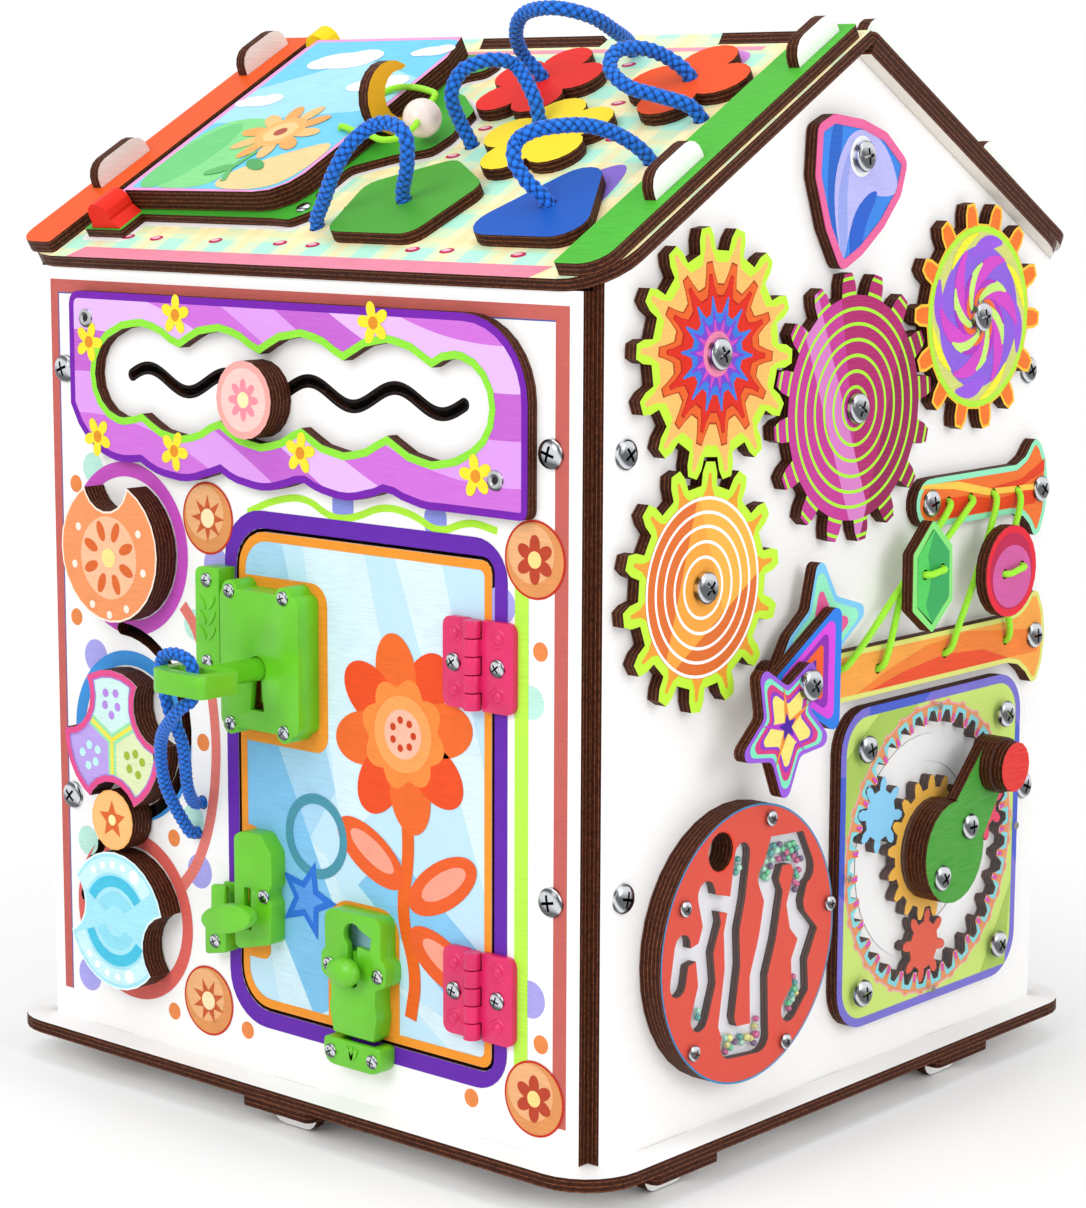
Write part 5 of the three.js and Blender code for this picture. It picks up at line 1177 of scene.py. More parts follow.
# The red frame, the thin blue line inside it, and the dots of the front wall
WALL_FRAME = [
    (-162.2, 14.3), (-162.2, 361.1), (161.9, 361.1), (161.9, 14.3), (154.4, 14.3), (154.4, 355.0),
    (-156.7, 355.0), (-156.7, 14.3)
]
WALL_HAIRLINE = [
    (-156.7, 14.3), (-156.7, 355.0), (154.4, 355.0), (154.4, 354.4), (-156.1, 354.4), (-156.1, 14.3)
]
LILAC_DOTS = ((-134.5, 182.4), (-63.6, 88.8), (-49.5, 234.7), (-143.6, 23.9), (141.8, 67.6), (124.7, 234.7))
MINT_DOTS = ((-134.0, 273.0), (141.8, 195.5), (-143.1, 90.8), (-67.6, 112.9), (-64.6, 205.5))
ORANGE_DOTS = (
    (-146.6, 264.4), (-148.1, 200.0), (-60.0, 150.7), (-81.2, 101.9), (-82.7, 17.3), (-32.4, 18.3),
    (108.1, 16.8), (147.8, 49.0), (146.8, 217.6)
)

# The red arc beside the discs, and the colours of the rings under them
SIDE_ARC = [
    (-72.6, 213.6), (-63.6, 204.5), (-55.5, 184.4), (-52.0, 163.3), (-51.0, 146.2), (-53.0, 126.0),
    (-57.5, 107.9), (-65.6, 90.8), (-75.6, 79.7)
]
DISC_RINGS = (((-109.5, 236.7), "CC55C6"), ((-109, 147), "3E94DE"), ((-110, 59.5), "E0665E"))

# The green line over the door, and the middles of the round badges
VINE = [
    (-28.3, 260.9), (-11.2, 267.9), (8.9, 271.0), (24.0, 262.9), (39.1, 263.9), (56.2, 271.0), (74.3, 269.0),
    (89.4, 261.9), (106.6, 269.0), (122.7, 265.9)
]
BADGE_PLACES = ((-54.5, 255.9), (143.8, 255.9), (-58.5, 27.4), (144.3, 24.4))


class BUSY_OT_front_prints(bpy.types.Operator):
    """Prints the frame, the rings, the dots and the round badges on the front wall"""

    bl_idname = "busy.front_prints"
    bl_label = "Front wall prints"

    def execute(self, context):
        put = printer("front", "front", 0, "house")
        put(0, [WALL_FRAME], "C4635B")
        put(1, [WALL_HAIRLINE], "4B5FA8")
        for x, z in LILAC_DOTS:
            put(0, [circle((x, z), 8.2)], "A9A4EA")
        for x, z in MINT_DOTS:
            put(0, [circle((x, z), 7.2)], "BDEBDC")
        for x, z in ORANGE_DOTS:
            put(0, [circle((x, z), 4.1)], "E98A4A")
        put(2, [ribbon(smooth_open(SIDE_ARC), 6.0)], "E27A70")
        for (x, z), code in DISC_RINGS:
            clip(put(3, ring((x, z), 41.0, 7.0), code), "wall_front", "front")
        put(2, [rect(132.7, 140.3, 35.4, 248.8)], "B9F24E")
        band = [
            rect(-43.4, 128.7, 22.3, 262.4, (24, 18, 18, 24)), rect(-36, 121.5, 30.3, 254.6, (19, 7, 7, 19))
        ]
        put(4, band, "6428AA")
        put(1, [ribbon(smooth_open(VINE), 3.2)], "AEEB3C")
        for x, z in ((32.1, 269.0), (87.4, 266.9)):
            put(0, [rect(x - 6.5, x + 6.5, z - 6, z + 6, 4)], "8D97E4")
        for i, (x, z) in enumerate(BADGE_PLACES):
            put(5, [circle((x, z), 16.7)], "C62E1E")
            put(6, [circle((x, z), 15.7)], "DE9458")
            put(7, [circle((x - 2.0, z + 2.4), 12.6)], "EBB07C")
            if i % 2 == 0:
                put(8, [star((x, z), 11.0, 5.0, 8, 90 + i * 11)], "C65A2E")
                put(9, [circle((x, z), 4.4)], "F7E2B4")
            else:
                put(8, [blossom((x, z), 5.5, 5.0, 6, 90)], "B8442C")
                put(9, [circle((x, z), 3.6)], "F7D98A")
        return {"FINISHED"}


def smooth_open(points, times=3):
    """An open line with its corners cut round."""
    for _ in range(times):
        out = [points[0]]
        for a, b in zip(points, points[1:]):
            out.append((0.75 * a[0] + 0.25 * b[0], 0.75 * a[1] + 0.25 * b[1]))
            out.append((0.25 * a[0] + 0.75 * b[0], 0.25 * a[1] + 0.75 * b[1]))
        out.append(points[-1])
        points = out
    return points


# The wavy slot: its ends, the height of its middle line, its swing, a crest and its repeat
SLOT_LEFT, SLOT_RIGHT = -104.5, 104.0
SLOT_MIDDLE = 317.6
SLOT_SWING = 4.75
SLOT_CREST = 12.0
SLOT_REPEAT = 52.6
SLOT_WIDE = 3.0
# Width of the near-black band around the slot's cut: painted shade of the slot's opening
SLOT_SHADE = 6.0
SLOT_STEPS = 120
SKIN_FACE = 0.12


# Middles of the yellow flowers on the window plate
WINDOW_FLOWERS = ((-128, 333), (-68, 348), (57, 350), (-123, 289), (-70, 286), (12, 291), (116, 289))


class BUSY_OT_maze_window(bpy.types.Operator):
    """Finishes the purple window plate of the wavy slot and its slide knob"""

    bl_idname = "busy.maze_window"
    bl_label = "Wavy slot window"

    def execute(self, context):
        paint_nodes(["maze_plate"], board("front", "B06AD8"))
        lilac = waves("lilac_waves", "front", ("C765D2", "D694E6", "BC58C8", "DDB2F0"), 17.0, 0.22)
        banded("maze_plate", "front", PLY, [(3.4, ink("7420AA")), (0, lilac)])
        outline_ring("maze_plate", "front", PLY, 3.4, "8FE23C")
        window_ink = printer("window", "front", PLY, "house")
        for i, (x, z) in enumerate(WINDOW_FLOWERS):
            window_ink(4, [blossom((x, z), 3.6, 5.8, 5, 70 + 17 * i)], "F4E234")
            window_ink(5, [circle((x, z), 2.8, 20)], "E0902A")
        for i, (x, z) in enumerate(((-130, 344), (127, 288))):
            rivet = turned(
                f"rivet_{i}", [(0, 0.5), (1.5, 0.45), (2.2, 0.9), (3.2, 1.1), (4.2, 0.7), (4.5, 0)], 28
            )
            rivet.data.transform(place_on("front", x, z, PLY))
            coat(rivet, metal("rivet_steel", "C4C6C8", 0.25), "house")
            # A near-black disc in the rivet's dimpled middle: painted shade for its hole
            print_on("rivet", "front", 6.5, 0, [circle((x, z), 1.7, 20)], "2A2624", "house")
        centre = []
        for i in range(SLOT_STEPS + 1):
            x = SLOT_LEFT + (SLOT_RIGHT - SLOT_LEFT) * i / SLOT_STEPS
            centre.append(
                (x, SLOT_MIDDLE + SLOT_SWING * math.cos(2 * math.pi * (x - SLOT_CREST) / SLOT_REPEAT))
            )
        slot = round_ribbon(centre, SLOT_WIDE)
        window = offset(loops_of("maze_plate", "front", PLY)[1], 1.5)
        plate = slab_piece("slot_skin", "front", -0.02, SKIN_FACE, [window, slot], 0.02, 1)
        coat(plate, board("front", WHITE), "house")
        # A near-black band around the cut: painted shade that widens the slot's dark opening
        print_on(
            "slot", "front", SKIN_FACE, 0, [round_ribbon(centre, SLOT_SHADE), slot], "140A06", "house",
        )
        paint_nodes(["maze_knob"], board("front", "EFA7A0"))
        c = (-16.61, 313.03)
        knob_ink = printer("knob", "front", DISC_FACE, "maze_knob")
        knob_ink(0, [circle(c, 14.2)], "F8C9C2")
        knob_ink(1, [blossom(c, 4.6, 5.0, 8, 0)], "F08FA0")
        knob_ink(2, [circle(c, 3.6)], "FBE7B2")
        return {"FINISHED"}


def loops_of(node, face, height):
    """The closed outlines of a board's printed face, the largest first."""
    obj = node_copy(node, f"outline_{node}")
    across, up = Vector(FACES[face][0]), Vector(FACES[face][1])
    start = Vector(FACES[face][3]) * MM
    bm = printed_face(obj.data, face, height)
    loops = []
    edges = {e for e in bm.edges if e.is_boundary}
    while edges:
        e = edges.pop()
        first, v = e.verts[0], e.verts[1]
        line = [first, v]
        while v != first:
            nxt = next((q for q in v.link_edges if q in edges), None)
            if nxt is None:
                break
            edges.discard(nxt)
            v = nxt.other_vert(v)
            line.append(v)
        loops.append([((q.co - start).dot(across) / MM, (q.co - start).dot(up) / MM) for q in line[:-1]])
    bm.free()
    bpy.data.objects.remove(obj)
    loops = [points if area_of(points) > 0 else points[::-1] for points in loops]
    return sorted(loops, key=area_of, reverse=True)


def area_of(points):
    return sum(a[0] * b[1] - b[0] * a[1] for a, b in zip(points, points[1:] + points[:1])) / 2


def outline_ring(node, face, height, width, code):
    """A band of ink along the inner edge of a window in a board."""
    window = loops_of(node, face, height)[1]
    return print_on(
        "window_band", face, height, 2, [offset(window, width), window], code, BODY_OF[node]
    )


def bordered(node, face, height, widths):
    """Inks that fill a board's face inside its border: a list of border widths and inks."""
    outline = loops_of(node, face, height)[0]
    for i, (width, look) in enumerate(widths):
        obj = print_on(
            node, face, height, i, [offset(outline, -width)], look if isinstance(look, str) else WHITE,
            BODY_OF[node]
        )
        if not isinstance(look, str):
            obj.data.materials[0] = look
        clip(obj, node, face)


def nested(node, face, height, centre, bands):
    """Bands that follow a piece's outline, each drawn in towards its centre by a share."""
    outline = loops_of(node, face, height)[0]
    for i, (share, code) in enumerate(bands):
        line = [
            (centre[0] + (x - centre[0]) * share, centre[1] + (y - centre[1]) * share) for x, y in outline
        ]
        print_on(node, face, height, i, [line], code, BODY_OF[node])


def offset(points, width):
    """A closed outline moved outwards by a width, corner by corner."""
    out = []
    n = len(points)
    for i, p in enumerate(points):
        a, b = points[i - 1], points[(i + 1) % n]
        d1 = Vector((p[0] - a[0], p[1] - a[1])).normalized()
        d2 = Vector((b[0] - p[0], b[1] - p[1])).normalized()
        n1, n2 = Vector((d1.y, -d1.x)), Vector((d2.y, -d2.x))
        m = n1 + n2
        if m.length < 1e-6:
            continue
        m.normalize()
        k = min(1.6, 1 / max(0.4, m.dot(n1)))
        out.append((p[0] + m.x * width * k, p[1] + m.y * width * k))
    return out


# Dots of the upper disc, from its middle
TOP_DISC_DOTS = ((-21, 10), (21, 10), (-24, -8), (24, -8), (-12, -26), (12, -26), (0, -30))

# Each wedge of the middle disc, with the ink of its dots
WEDGE_INKS = (("CFEFEA", "B58AE0"), ("B9A0E6", "BDF0EA"), ("DDE8B8", "9FB83A"))

# Bands of the lower disc: radius, width and ink
WAVE_BANDS = ((31, 7.5, "C9F0F7"), (22, 5.5, "46BFDF"), (14, 6.5, "8FDBEE"))

# Dots of the lower disc: angle in degrees and radius
FOAM_DOTS = (
    (60, 3.4), (78, 1.8), (93, 1.8), (108, 1.8), (124, 1.8), (225, 1.8), (240, 1.8), (256, 1.8), (272, 1.8),
    (290, 3.2)
)


class BUSY_OT_turning_discs(bpy.types.Operator):
    """Finishes the three notched discs and the small runner disc"""

    bl_idname = "busy.turning_discs"
    bl_label = "Turning discs"

    def execute(self, context):
        top, middle, bottom = (-108.99, 236.69), (-108.99, 146.99), (-108.99, 59.28)
        runner = (-109.99, 108.29)
        paint_nodes(["notch_disc_top"], board("front", "F0965C"))
        banded(
            "notch_disc_top", "front", DISC_FACE, [(0.9, ink("FBE8D8")), (0, ink("EE9560"))]
        )
        disc_top_ink = printer("disc_top", "front", DISC_FACE, "notch_disc_top")
        disc_top_ink(1, [circle((top[0], top[1] - 3), 19.5)], "F7BC96")
        for i in range(8):
            a = math.radians(45 * i + 22.5)
            spot = (top[0] + 13.2 * math.cos(a), top[1] - 3 + 13.2 * math.sin(a))
            disc_top_ink(2, [oval(spot, 5.0, 2.5, math.degrees(a))], "D9662E")
        disc_top_ink(3, [circle((top[0], top[1] - 3), 4.6)], "FBE08E")
        for x, z in TOP_DISC_DOTS:
            disc_top_ink(2, [circle((top[0] + x, top[1] + z), 1.9, 20)], "FBE9DA")
        paint_nodes(["notch_disc_middle"], board("front", "CFEEE0"))
        rim = loops_of("notch_disc_middle", "front", DISC_FACE)[0]
        disc_middle_ink = printer("disc_middle", "front", DISC_FACE, "notch_disc_middle")
        for i, (code, spot_code) in enumerate(WEDGE_INKS):
            a = math.radians(90 + 120 * i)
            wedge = [middle] + [polar(middle, 36.0, a + math.radians(t)) for t in range(-58, 59, 4)]
            disc_middle_ink(1, [wedge], code, "notch_disc_middle")
            for r, t in ((12, 0), (17, -15), (17, 15), (23, -8), (22.5, 10)):
                b = a + math.radians(t)
                spot = polar(middle, r, b)
                disc_middle_ink(2, [circle(spot, 2.1, 20)], spot_code)
        for i in range(3):
            a = math.radians(150 + 120 * i)
            end = polar(middle, 17.5, a)
            disc_middle_ink(3, [ribbon([middle, end], 5.4)], "9BE3A8")
            disc_middle_ink(4, [ribbon([middle, end], 2.0)], "F3E04A")
        disc_middle_ink(5, [offset(rim, -2.9), offset(rim, -3.7)], "A884D8")
        disc_middle_ink(6, [rim, offset(rim, -3.0)], "E0508C")
        paint_nodes(["notch_disc_bottom"], board("front", "9FE0F2"))
        banded(
            "notch_disc_bottom", "front", DISC_FACE, [(0.9, ink("E4F7FB")), (0, ink("A5E4F3"))]
        )
        disc_bottom_ink = printer("disc_bottom", "front", DISC_FACE, "notch_disc_bottom")
        for r, w, code in WAVE_BANDS:
            for a0, a1 in ((35, 150), (200, 330)):
                disc_bottom_ink(1, [arc_band(bottom, r, w, a0, a1)], code, "notch_disc_bottom")
        for t, r in FOAM_DOTS:
            a = math.radians(t)
            spot = polar(bottom, 27.3, a)
            disc_bottom_ink(2, [circle(spot, r, 20)], "FBFDFD", "notch_disc_bottom")
        paint_nodes(["runner_disc"], board("front", "F2B164"))
        runner_ink = printer("runner", "front", DISC_FACE, "runner_disc")
        runner_ink(0, [circle(runner, 13.6)], "F6BE78")
        runner_ink(1, [star(runner, 9.5, 4.4, 5)], "D9662E")
        runner_ink(2, [circle(runner, 2.6, 24)], "FBE9A8")
        return {"FINISHED"}


# Slanted fields of light and darker blue behind the flower
DOOR_RAYS = (
    ([(-30, 253), (-8, 253), (26, 140), (-30, 60)], "A7D3EF"),
    ([(6, 253), (44, 253), (72, 150), (30, 120)], "D6ECF7"),
    ([(62, 253), (90, 253), (119, 150), (119, 100)], "D9EEF8"),
    ([(-34, 140), (20, 110), (70, 32), (-10, 32)], "CFE9F6"),
    ([(-34, 176), (-12, 160), (44, 50), (12, 34), (-34, 112)], "7FC0EA"),
    ([(40, 100), (119, 40), (119, 78), (60, 120)], "84C4EC"),
    ([(60, 60), (100, 32), (119, 32), (119, 40)], "D6ECF7"),
)


class BUSY_OT_door_picture(bpy.types.Operator):
    """Prints the door: an orange edge, pale blue rays, a large flower, a ring and a star"""

    bl_idname = "busy.door_picture"
    bl_label = "Door picture"

    def execute(self, context):
        paint_nodes(["door"], board("front", "BFE1F3"))

        put = printer("door", "front", 0, "door")
        for outline, code in DOOR_RAYS:
            put(0, [outline], code, "door")
        edge = [
            rect(-34.3, 119.8, 32.0, 252.9, (17.4, 5.4, 5.4, 17.4)),
            rect(-30.2, 115.6, 36.2, 248.7, (14, 3, 3, 14))
        ]
        put(2, edge, "F0962F")
        put(2, [rect(-33.5, 22.0, 156.2, 232.7, (0, 8, 10, 0))], "F0962F")
        put(2, [rect(-33.5, -16.2, 54.6, 117.0, (0, 5, 14, 0))], "F0962F")
        put(2, [rect(21.0, 65.3, 33, 91.8, (0, 0, 12, 14))], "F0962F")
        put(3, [rect(33, 57.5, 48, 88, 3)], "A4D4F0")
        c = (68, 172)
        put(3, [ribbon(smooth_open([(68, 150), (72, 120), (66, 92), (76, 66), (72, 45)]), 7.0)], "E8641E")
        for spot, turn in (((91, 108), 32), ((48, 116), 150), ((92, 74), -28)):
            put(4, [oval(spot, 23, 10.5, turn)], "E9602A")
            put(5, [oval((spot[0] + 1, spot[1] + 1), 15, 5.2, turn)], "F7A08A")
        for i in range(8):
            a = math.radians(45 * i + 10)
            spot = (c[0] + 24 * math.cos(a), c[1] + 27 * math.sin(a))
            put(4, [oval(spot, 17.5, 12.0, math.degrees(a))], "E84F22" if i % 2 else "EB6A2C")
        put(5, [blossom(c, 20, 5.0, 8, 32)], "F08A3E")
        put(6, [circle(c, 17.0)], "F3A25A")
        put(7, [circle(c, 11.0)], "F7B9A0")
        for i in range(7):
            a = math.radians(360 * i / 7)
            put(8, [circle(polar(c, 6.4, a), 1.7, 16)], "C8401E")
        star_at = (14, 118)
        put(5, ring(star_at, 19.5, 4.6), "4A93A8")
        put(6, [star((8, 88), 19, 8.5, 5, 74)], "2E72D6")
        put(7, [star((8, 88), 11, 5.0, 5, 74)], "5C9AE8")
        return {"FINISHED"}


# The hinges: place of their pins, height of a leaf's face, middles of the leaves, and their lower ends
HINGE_PIN = 112.49
HINGE_FACE = 3.38
HINGE_SIDES = (("door", HINGE_PIN - 11.4), ("house", HINGE_PIN + 13.6))
HINGE_FEET = (45.0, 189.0)

# Half the outline of a hinge's round boss
DOME = [(0, 1.5), (1.2, 1.38), (2.1, 0.95), (2.6, 0.25), (3.3, 0.35), (3.8, 0.5), (4.2, 0.2), (4.4, 0)]


# Middles of the screws in the plastic parts
LOCK_SCREWS = ((-27.26, 166.25), (7.24, 166.25), (-27.26, 226.75), (7.24, 226.75))
PLATE_SCREWS = (
    ("bolt", "door", ((31.6, 64.5), (61.4, 64.0))),
    ("bolt_keeper", "house", ((32.3, 24.6), (57.9, 24.6))),
    ("latch", "door", ((-11.0, 87.5),)),
    ("latch_keeper", "house", ((-43.8, 60.8),)),
)


class BUSY_OT_hardware(bpy.types.Operator):
    """Rounds the moulded plastic lock, key, latch, bolt and hinges, and adds their small details"""

    bl_idname = "busy.hardware"
    bl_label = "Plastic hardware"

    def execute(self, context):
        green = plastic(code_of(colours().plastic_green), 0.30)
        pink = plastic(code_of(colours().plastic_pink), 0.32)
        width = sizes().plastic_round / MM
        for node, by in (
            ("lock_case", width), ("key", 0.6), ("latch_plate", width), ("latch_keeper", width),
            ("turn_knob", 0.7), ("bolt_case", width), ("bolt_keeper", width), ("bolt_slider", 0.5)
        ):
            moulded(node, green, by)
        for where in ("upper", "lower"):
            for leaf in ("wall", "door"):
                moulded(f"hinge_{where}_{leaf}_leaf", pink, 0.6)
        small = sizes().small_screw / MM
        keeper = slab_piece(
            "moulded_lock_keeper", "front", 0.1, KEEPER_FACE,
            [rect(-52.5, -36.9, 186.7, 235.4, (4, 0.5, 0.5, 4))], 0.8, 3
        )
        coat(keeper, green, "house")
        leaves = []
        for k, (x, z) in enumerate(((-45, 217), (-45, 210), (-45, 203))):
            for s in (-1, 1):
                leaf = slab_piece(
                    f"leaf_{k}_{s}", "front", 10.2, 10.9,
                    [oval((x + s * 3.1, z + 2.2), 3.9, 1.35, 52 if s > 0 else 128)], 0.3, 2
                )
                leaves.append(leaf)
        for k, turn in enumerate((60, 90, 120)):
            a = math.radians(turn)
            leaves.append(
                slab_piece(
                    f"leaf_low_{k}", "front", 9.9, 10.6,
                    [oval((45.2 + 3.4 * math.cos(a), 22.6 + 3.4 * math.sin(a)), 3.4, 1.3, turn)], 0.3, 2
                )
            )
        coat(joined(leaves, "moulded_leaves"), green, "house")
        domes = {"door": [], "house": []}
        for z0 in HINGE_FEET:
            for body, x in HINGE_SIDES:
                for k, z in enumerate((z0 + 7.2, z0 + 31.8)):
                    dome = turned(f"dome_{body}_{z0:.0f}_{k}", DOME, 28)
                    dome.data.transform(place_on("front", x, z, HINGE_FACE))
                    domes[body].append(dome)
                screw(f"hinge_{body}_{z0:.0f}", "front", x, z0 + 19.5, 3.4, 4.0, body, "pan", 30 + z0)
        for body, pieces in domes.items():
            coat(joined(pieces, f"moulded_domes_{body}"), pink, body)
        for i, (x, z) in enumerate(LOCK_SCREWS):
            screw(f"lock_{i}", "front", x, z, LOCK_FACE, small, "door", "pan", 15 + 31 * i)
        for i, (x, z) in enumerate(((-44.9, 229.5), (-44.9, 192.0))):
            screw(f"lock_keeper_{i}", "front", x, z, KEEPER_FACE, small, "house", "pan", 40 * i)
        for name, body, points in PLATE_SCREWS:
            high = LATCH_FACE if name.startswith("latch") else BOLT_FACE
            for i, (x, z) in enumerate(points):
                screw(f"{name}_{i}", "front", x, z, high, small, body, "pan", 25 + 50 * i)
        return {"FINISHED"}


# Gable wall


def stack(name, face, height, layers, body, first=0):
    """Inks printed on each other: a list of outlines and colour codes."""
    return [
        print_on(name, face, height, first + i, lines, code, body)
        for i, (lines, code) in enumerate(layers)
    ]


# Turns of the upper left, right and lower left gears, and pins of these and, second, of the middle one
GEAR_TURNS = (1.72, 2.64, -2.1)
GEAR_PINS = ((-103.21, 339.02), (-2.03, 309.52), (96.92, 345.83), (-110.49, 240.89))

# Bands of the upper left gear: tip, root, ink, and half widths of a tooth as shares
SUNBURST = (
    (50.5, 38.5, "F8BE6A", 0.10, 0.045, 0.27), (39.2, 29.6, "A8401C", 0.19, 0.115, 0.33),
    (38.4, 28.8, "E8642A", 0.18, 0.10, 0.32),
    (33.8, 24.8, "B51F14", 0.13, 0.07, 0.30), (33.2, 24.0, "DC2C1C", 0.12, 0.06, 0.29),
    (24.5, 17.2, "3C7CDC", 0.12, 0.04, 0.28),
    (18.6, 13.4, "7A48D0", 0.12, 0.05, 0.28), (14.4, 10.0, "D44FC0", 0.13, 0.06, 0.28),
)

# Strokes of the right gear: first and last radius, width, ink and turn
SWIRL = (
    (38.5, 29, 8, "9A5CE0", 0), (39, 33, 4.5, "F2EE3A", 32), (33, 9, 8.5, "D34BC8", 20),
    (25, 6, 6.0, "C8F07A", 55), (21, 7, 3.6, "B23ABF", 78), (14, 5, 3.0, "F0703C", 100)
)


class BUSY_OT_gear_wall(bpy.types.Operator):
    """Prints the four meshing gears on the gable wall"""

    bl_idname = "busy.gear_wall"
    bl_label = "Wall gears"

    def execute(self, context):
        g1, g2, g3, g4 = GEAR_PINS
        a1, a3, a4 = GEAR_TURNS
        paint_nodes(["gear_upper_left"], board("right", "C2F23E"))
        layers = []
        for tip, root, code, half, point, foot in SUNBURST:
            layers.append(([gear_line(g1, 14, (tip + root) / 2, a1, tip, root, half, point, foot)], code))
        layers.append(([circle(g1, 9.5, 28)], "F08CB0"))
        stack("gear_upper_left", "right", GEAR_FACE, layers, "gear_upper_left")
        paint_nodes(["gear_centre"], board("right", "A81E68"))
        skin = radial(
            "magenta_circles", g2, (9.5, 16.5, 23.5, 30.5, 37.5, 44.3, 51.2, 58), "AA1C66",
            ((0.18, 0, -90, -3, "BE3490"), (0.42, 0, -24, -8, "D27AC0"), (-0.35, 0, 26, 90, "8E1450")),
            width=0.0015, line="A6EE2C"
        )
        banded("gear_centre", "right", GEAR_FACE, [(0, skin)])
        paint_nodes(["gear_right"], board("right", "F8C23C"))
        bordered("gear_right", "right", GEAR_FACE, [(1.4, "F0782C")])
        swirl = [
            ([circle(g3, 42.5)], "B4EE3E"), ([circle(g3, 39.5)], "D2D67A"), ([circle(g3, 33.2)], "8E62DC")
        ]
        stack("gear_right", "right", GEAR_FACE, swirl, "gear_right", 1)
        for k, (r0, r1, w, code, shift) in enumerate(SWIRL):
            count = 4 if k < 2 else 6
            for i in range(count):
                line = []
                for s in range(9):
                    t = s / 8
                    r = r0 + (r1 - r0) * t
                    a = a3 + 2 * math.pi * i / count + math.radians(shift) + t * (1.15 if k > 1 else 0.75)
                    line.append(polar(g3, r, a))
                print_on(
                    "gear_right", "right", GEAR_FACE, 4 + k, [taper(line, w)], code, "gear_right",
                )
        paint_nodes(["gear_lower_left"], board("right", "C2F23E"))
        skin = radial(
            "amber_circles", g4, (13, 19.5, 26, 32, 38), "EFA138",
            ((-0.3, 0, -90, -16, "DB6C26"), (0.35, 0, 10, 90, "F2B244"), (-1.6, 0, 34, 90, "DB6C26")),
            width=0.0013
        )
        tooth = gear_line(g4, 14, 42.5, a4, 48.6, 38.8, 0.09, 0.035, 0.24)
        obj = flat_shape("print_gear_lower_left_1", "right", GEAR_FACE + INK_THICK, [tooth], INK_THICK)
        coat(obj, ink("EFA138", "right"), "gear_lower_left")
        obj = flat_shape(
            "print_gear_lower_left_2", "right", GEAR_FACE + INK_THICK + INK_LAYER, [circle(g4, 39)], INK_THICK
        )
        coat(obj, skin, "gear_lower_left")
        for i, g in enumerate((g1, g2, g3, g4)):
            screw(f"gear_{i}", "right", g[0], g[1], 6.9, 6.9, "house", "tall", 25 + 37 * i)
        return {"FINISHED"}


def taper(line, width):
    """A stroke that swells in its middle and runs out at both ends."""
    left, right = [], []
    n = len(line) - 1
    for i, p in enumerate(line):
        a, b = line[max(0, i - 1)], line[min(n, i + 1)]
        d = math.hypot(b[0] - a[0], b[1] - a[1]) or 1
        w = width / 2 * math.sin(math.pi * (0.06 + 0.88 * i / n))
        left.append((p[0] - (b[1] - a[1]) / d * w, p[1] + (b[0] - a[0]) / d * w))
        right.append((p[0] + (b[1] - a[1]) / d * w, p[1] - (b[0] - a[0]) / d * w))
    return left + right[::-1]


# The pale field of the petal
SWOOSH = [(-14, 371), (-22, 400), (-19, 420), (-6, 434), (16, 428), (29, 408), (24, 402), (2, 404), (-8, 392)]


class BUSY_OT_swingers(bpy.types.Operator):
    """Prints the petal and the three pieces on one pin"""

    bl_idname = "busy.swingers"
    bl_label = "Petal and stars"

    def execute(self, context):
        pin = (-1.01, 420.49)
        paint_nodes(["petal_swinger"], board("right", "E8689E"))
        top = box_top("petal_swinger")
        bordered("petal_swinger", "right", top, [(4.2, "3E86E4")])
        shapes = (
            ([(-20, 376), (-27, 400), (-24, 436), (-14, 438), (-19, 410), (-17, 380)], "2D66C6"),
            (SWOOSH, "B9B8F2"),
            ([(-14, 372), (-19, 396), (-16, 414), (-8, 426), (-12, 404), (-10, 385)], "9AA6EA"),
            ([(-8, 372), (-9, 392), (3, 404), (14, 406), (2, 390), (0, 376)], "2F62CC"),
        )
        petal_ink = printer("petal", "right", top, "petal_swinger")
        for i, (line, code) in enumerate(shapes):
            petal_ink(1 + i, [smooth(line, 2)], code, "petal_swinger")
        border = loops_of("petal_swinger", "right", top)[0]
        petal_ink(5, [border, offset(border, -4.2)], "E8689E")
        petal_ink(6, [circle(pin, 9.0)], "FAFAFC")
        screw("petal", "right", pin[0], pin[1], 6.9, 6.9, "house", "tall", 10)
        looks = {
            "star_blue": ((1, "7CC6EE"), (0.86, "93E8C0"), (0.62, "E25C96"), (0.42, "D94C8C")),
            "triangle": (
                (1, "2E7CE4"), (0.80, "D94AE0"), (0.60, "8E2CB0"), (0.44, "F0602C"), (0.22, "5A2C9C")
            ),
            "star_purple": (
                (1, "9A5CD8"), (0.87, "7FE6C0"), (0.76, "D63C84"), (0.64, "8E3CC8"), (0.56, "F4E27A")
            ),
        }
        middles = {
            "star_blue": mean_of("star_blue"), "triangle": mean_of("triangle"), "star_purple": (-74, 178.1)
        }
        for node, bands in looks.items():
            paint_nodes([node], board("right", bands[0][1]))
            nested(node, "right", box_top(node), middles[node], bands[1:])
        top = box_top("star_purple")
        c = (-74, 178.1)
        star_purple_ink = printer("star_purple", "right", top, "star_purple")
        for i in range(5):
            a = math.radians(72 * i + 100)
            arm = [polar(c, 3, a + 0.6), polar(c, 19, a), polar(c, 3, a - 0.6)]
            star_purple_ink(5, [arm], "B23AC8" if i % 2 else "EE8E3A")
        star_purple_ink(6, [star(c, 6.5, 2.8, 5, 100)], "4A1F9E")
        pin = (-58.8, 194.3)
        screw("star", "right", pin[0], pin[1], top + 0.1, 6.9, "house", "tall", 33)
        return {"FINISHED"}


def mean_of(node):
    """The middle of a gable piece, across and up."""
    low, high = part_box(node)
    return ((low[1] + high[1]) / 2 / MM, (low[2] + high[2]) / 2 / MM - PLY)


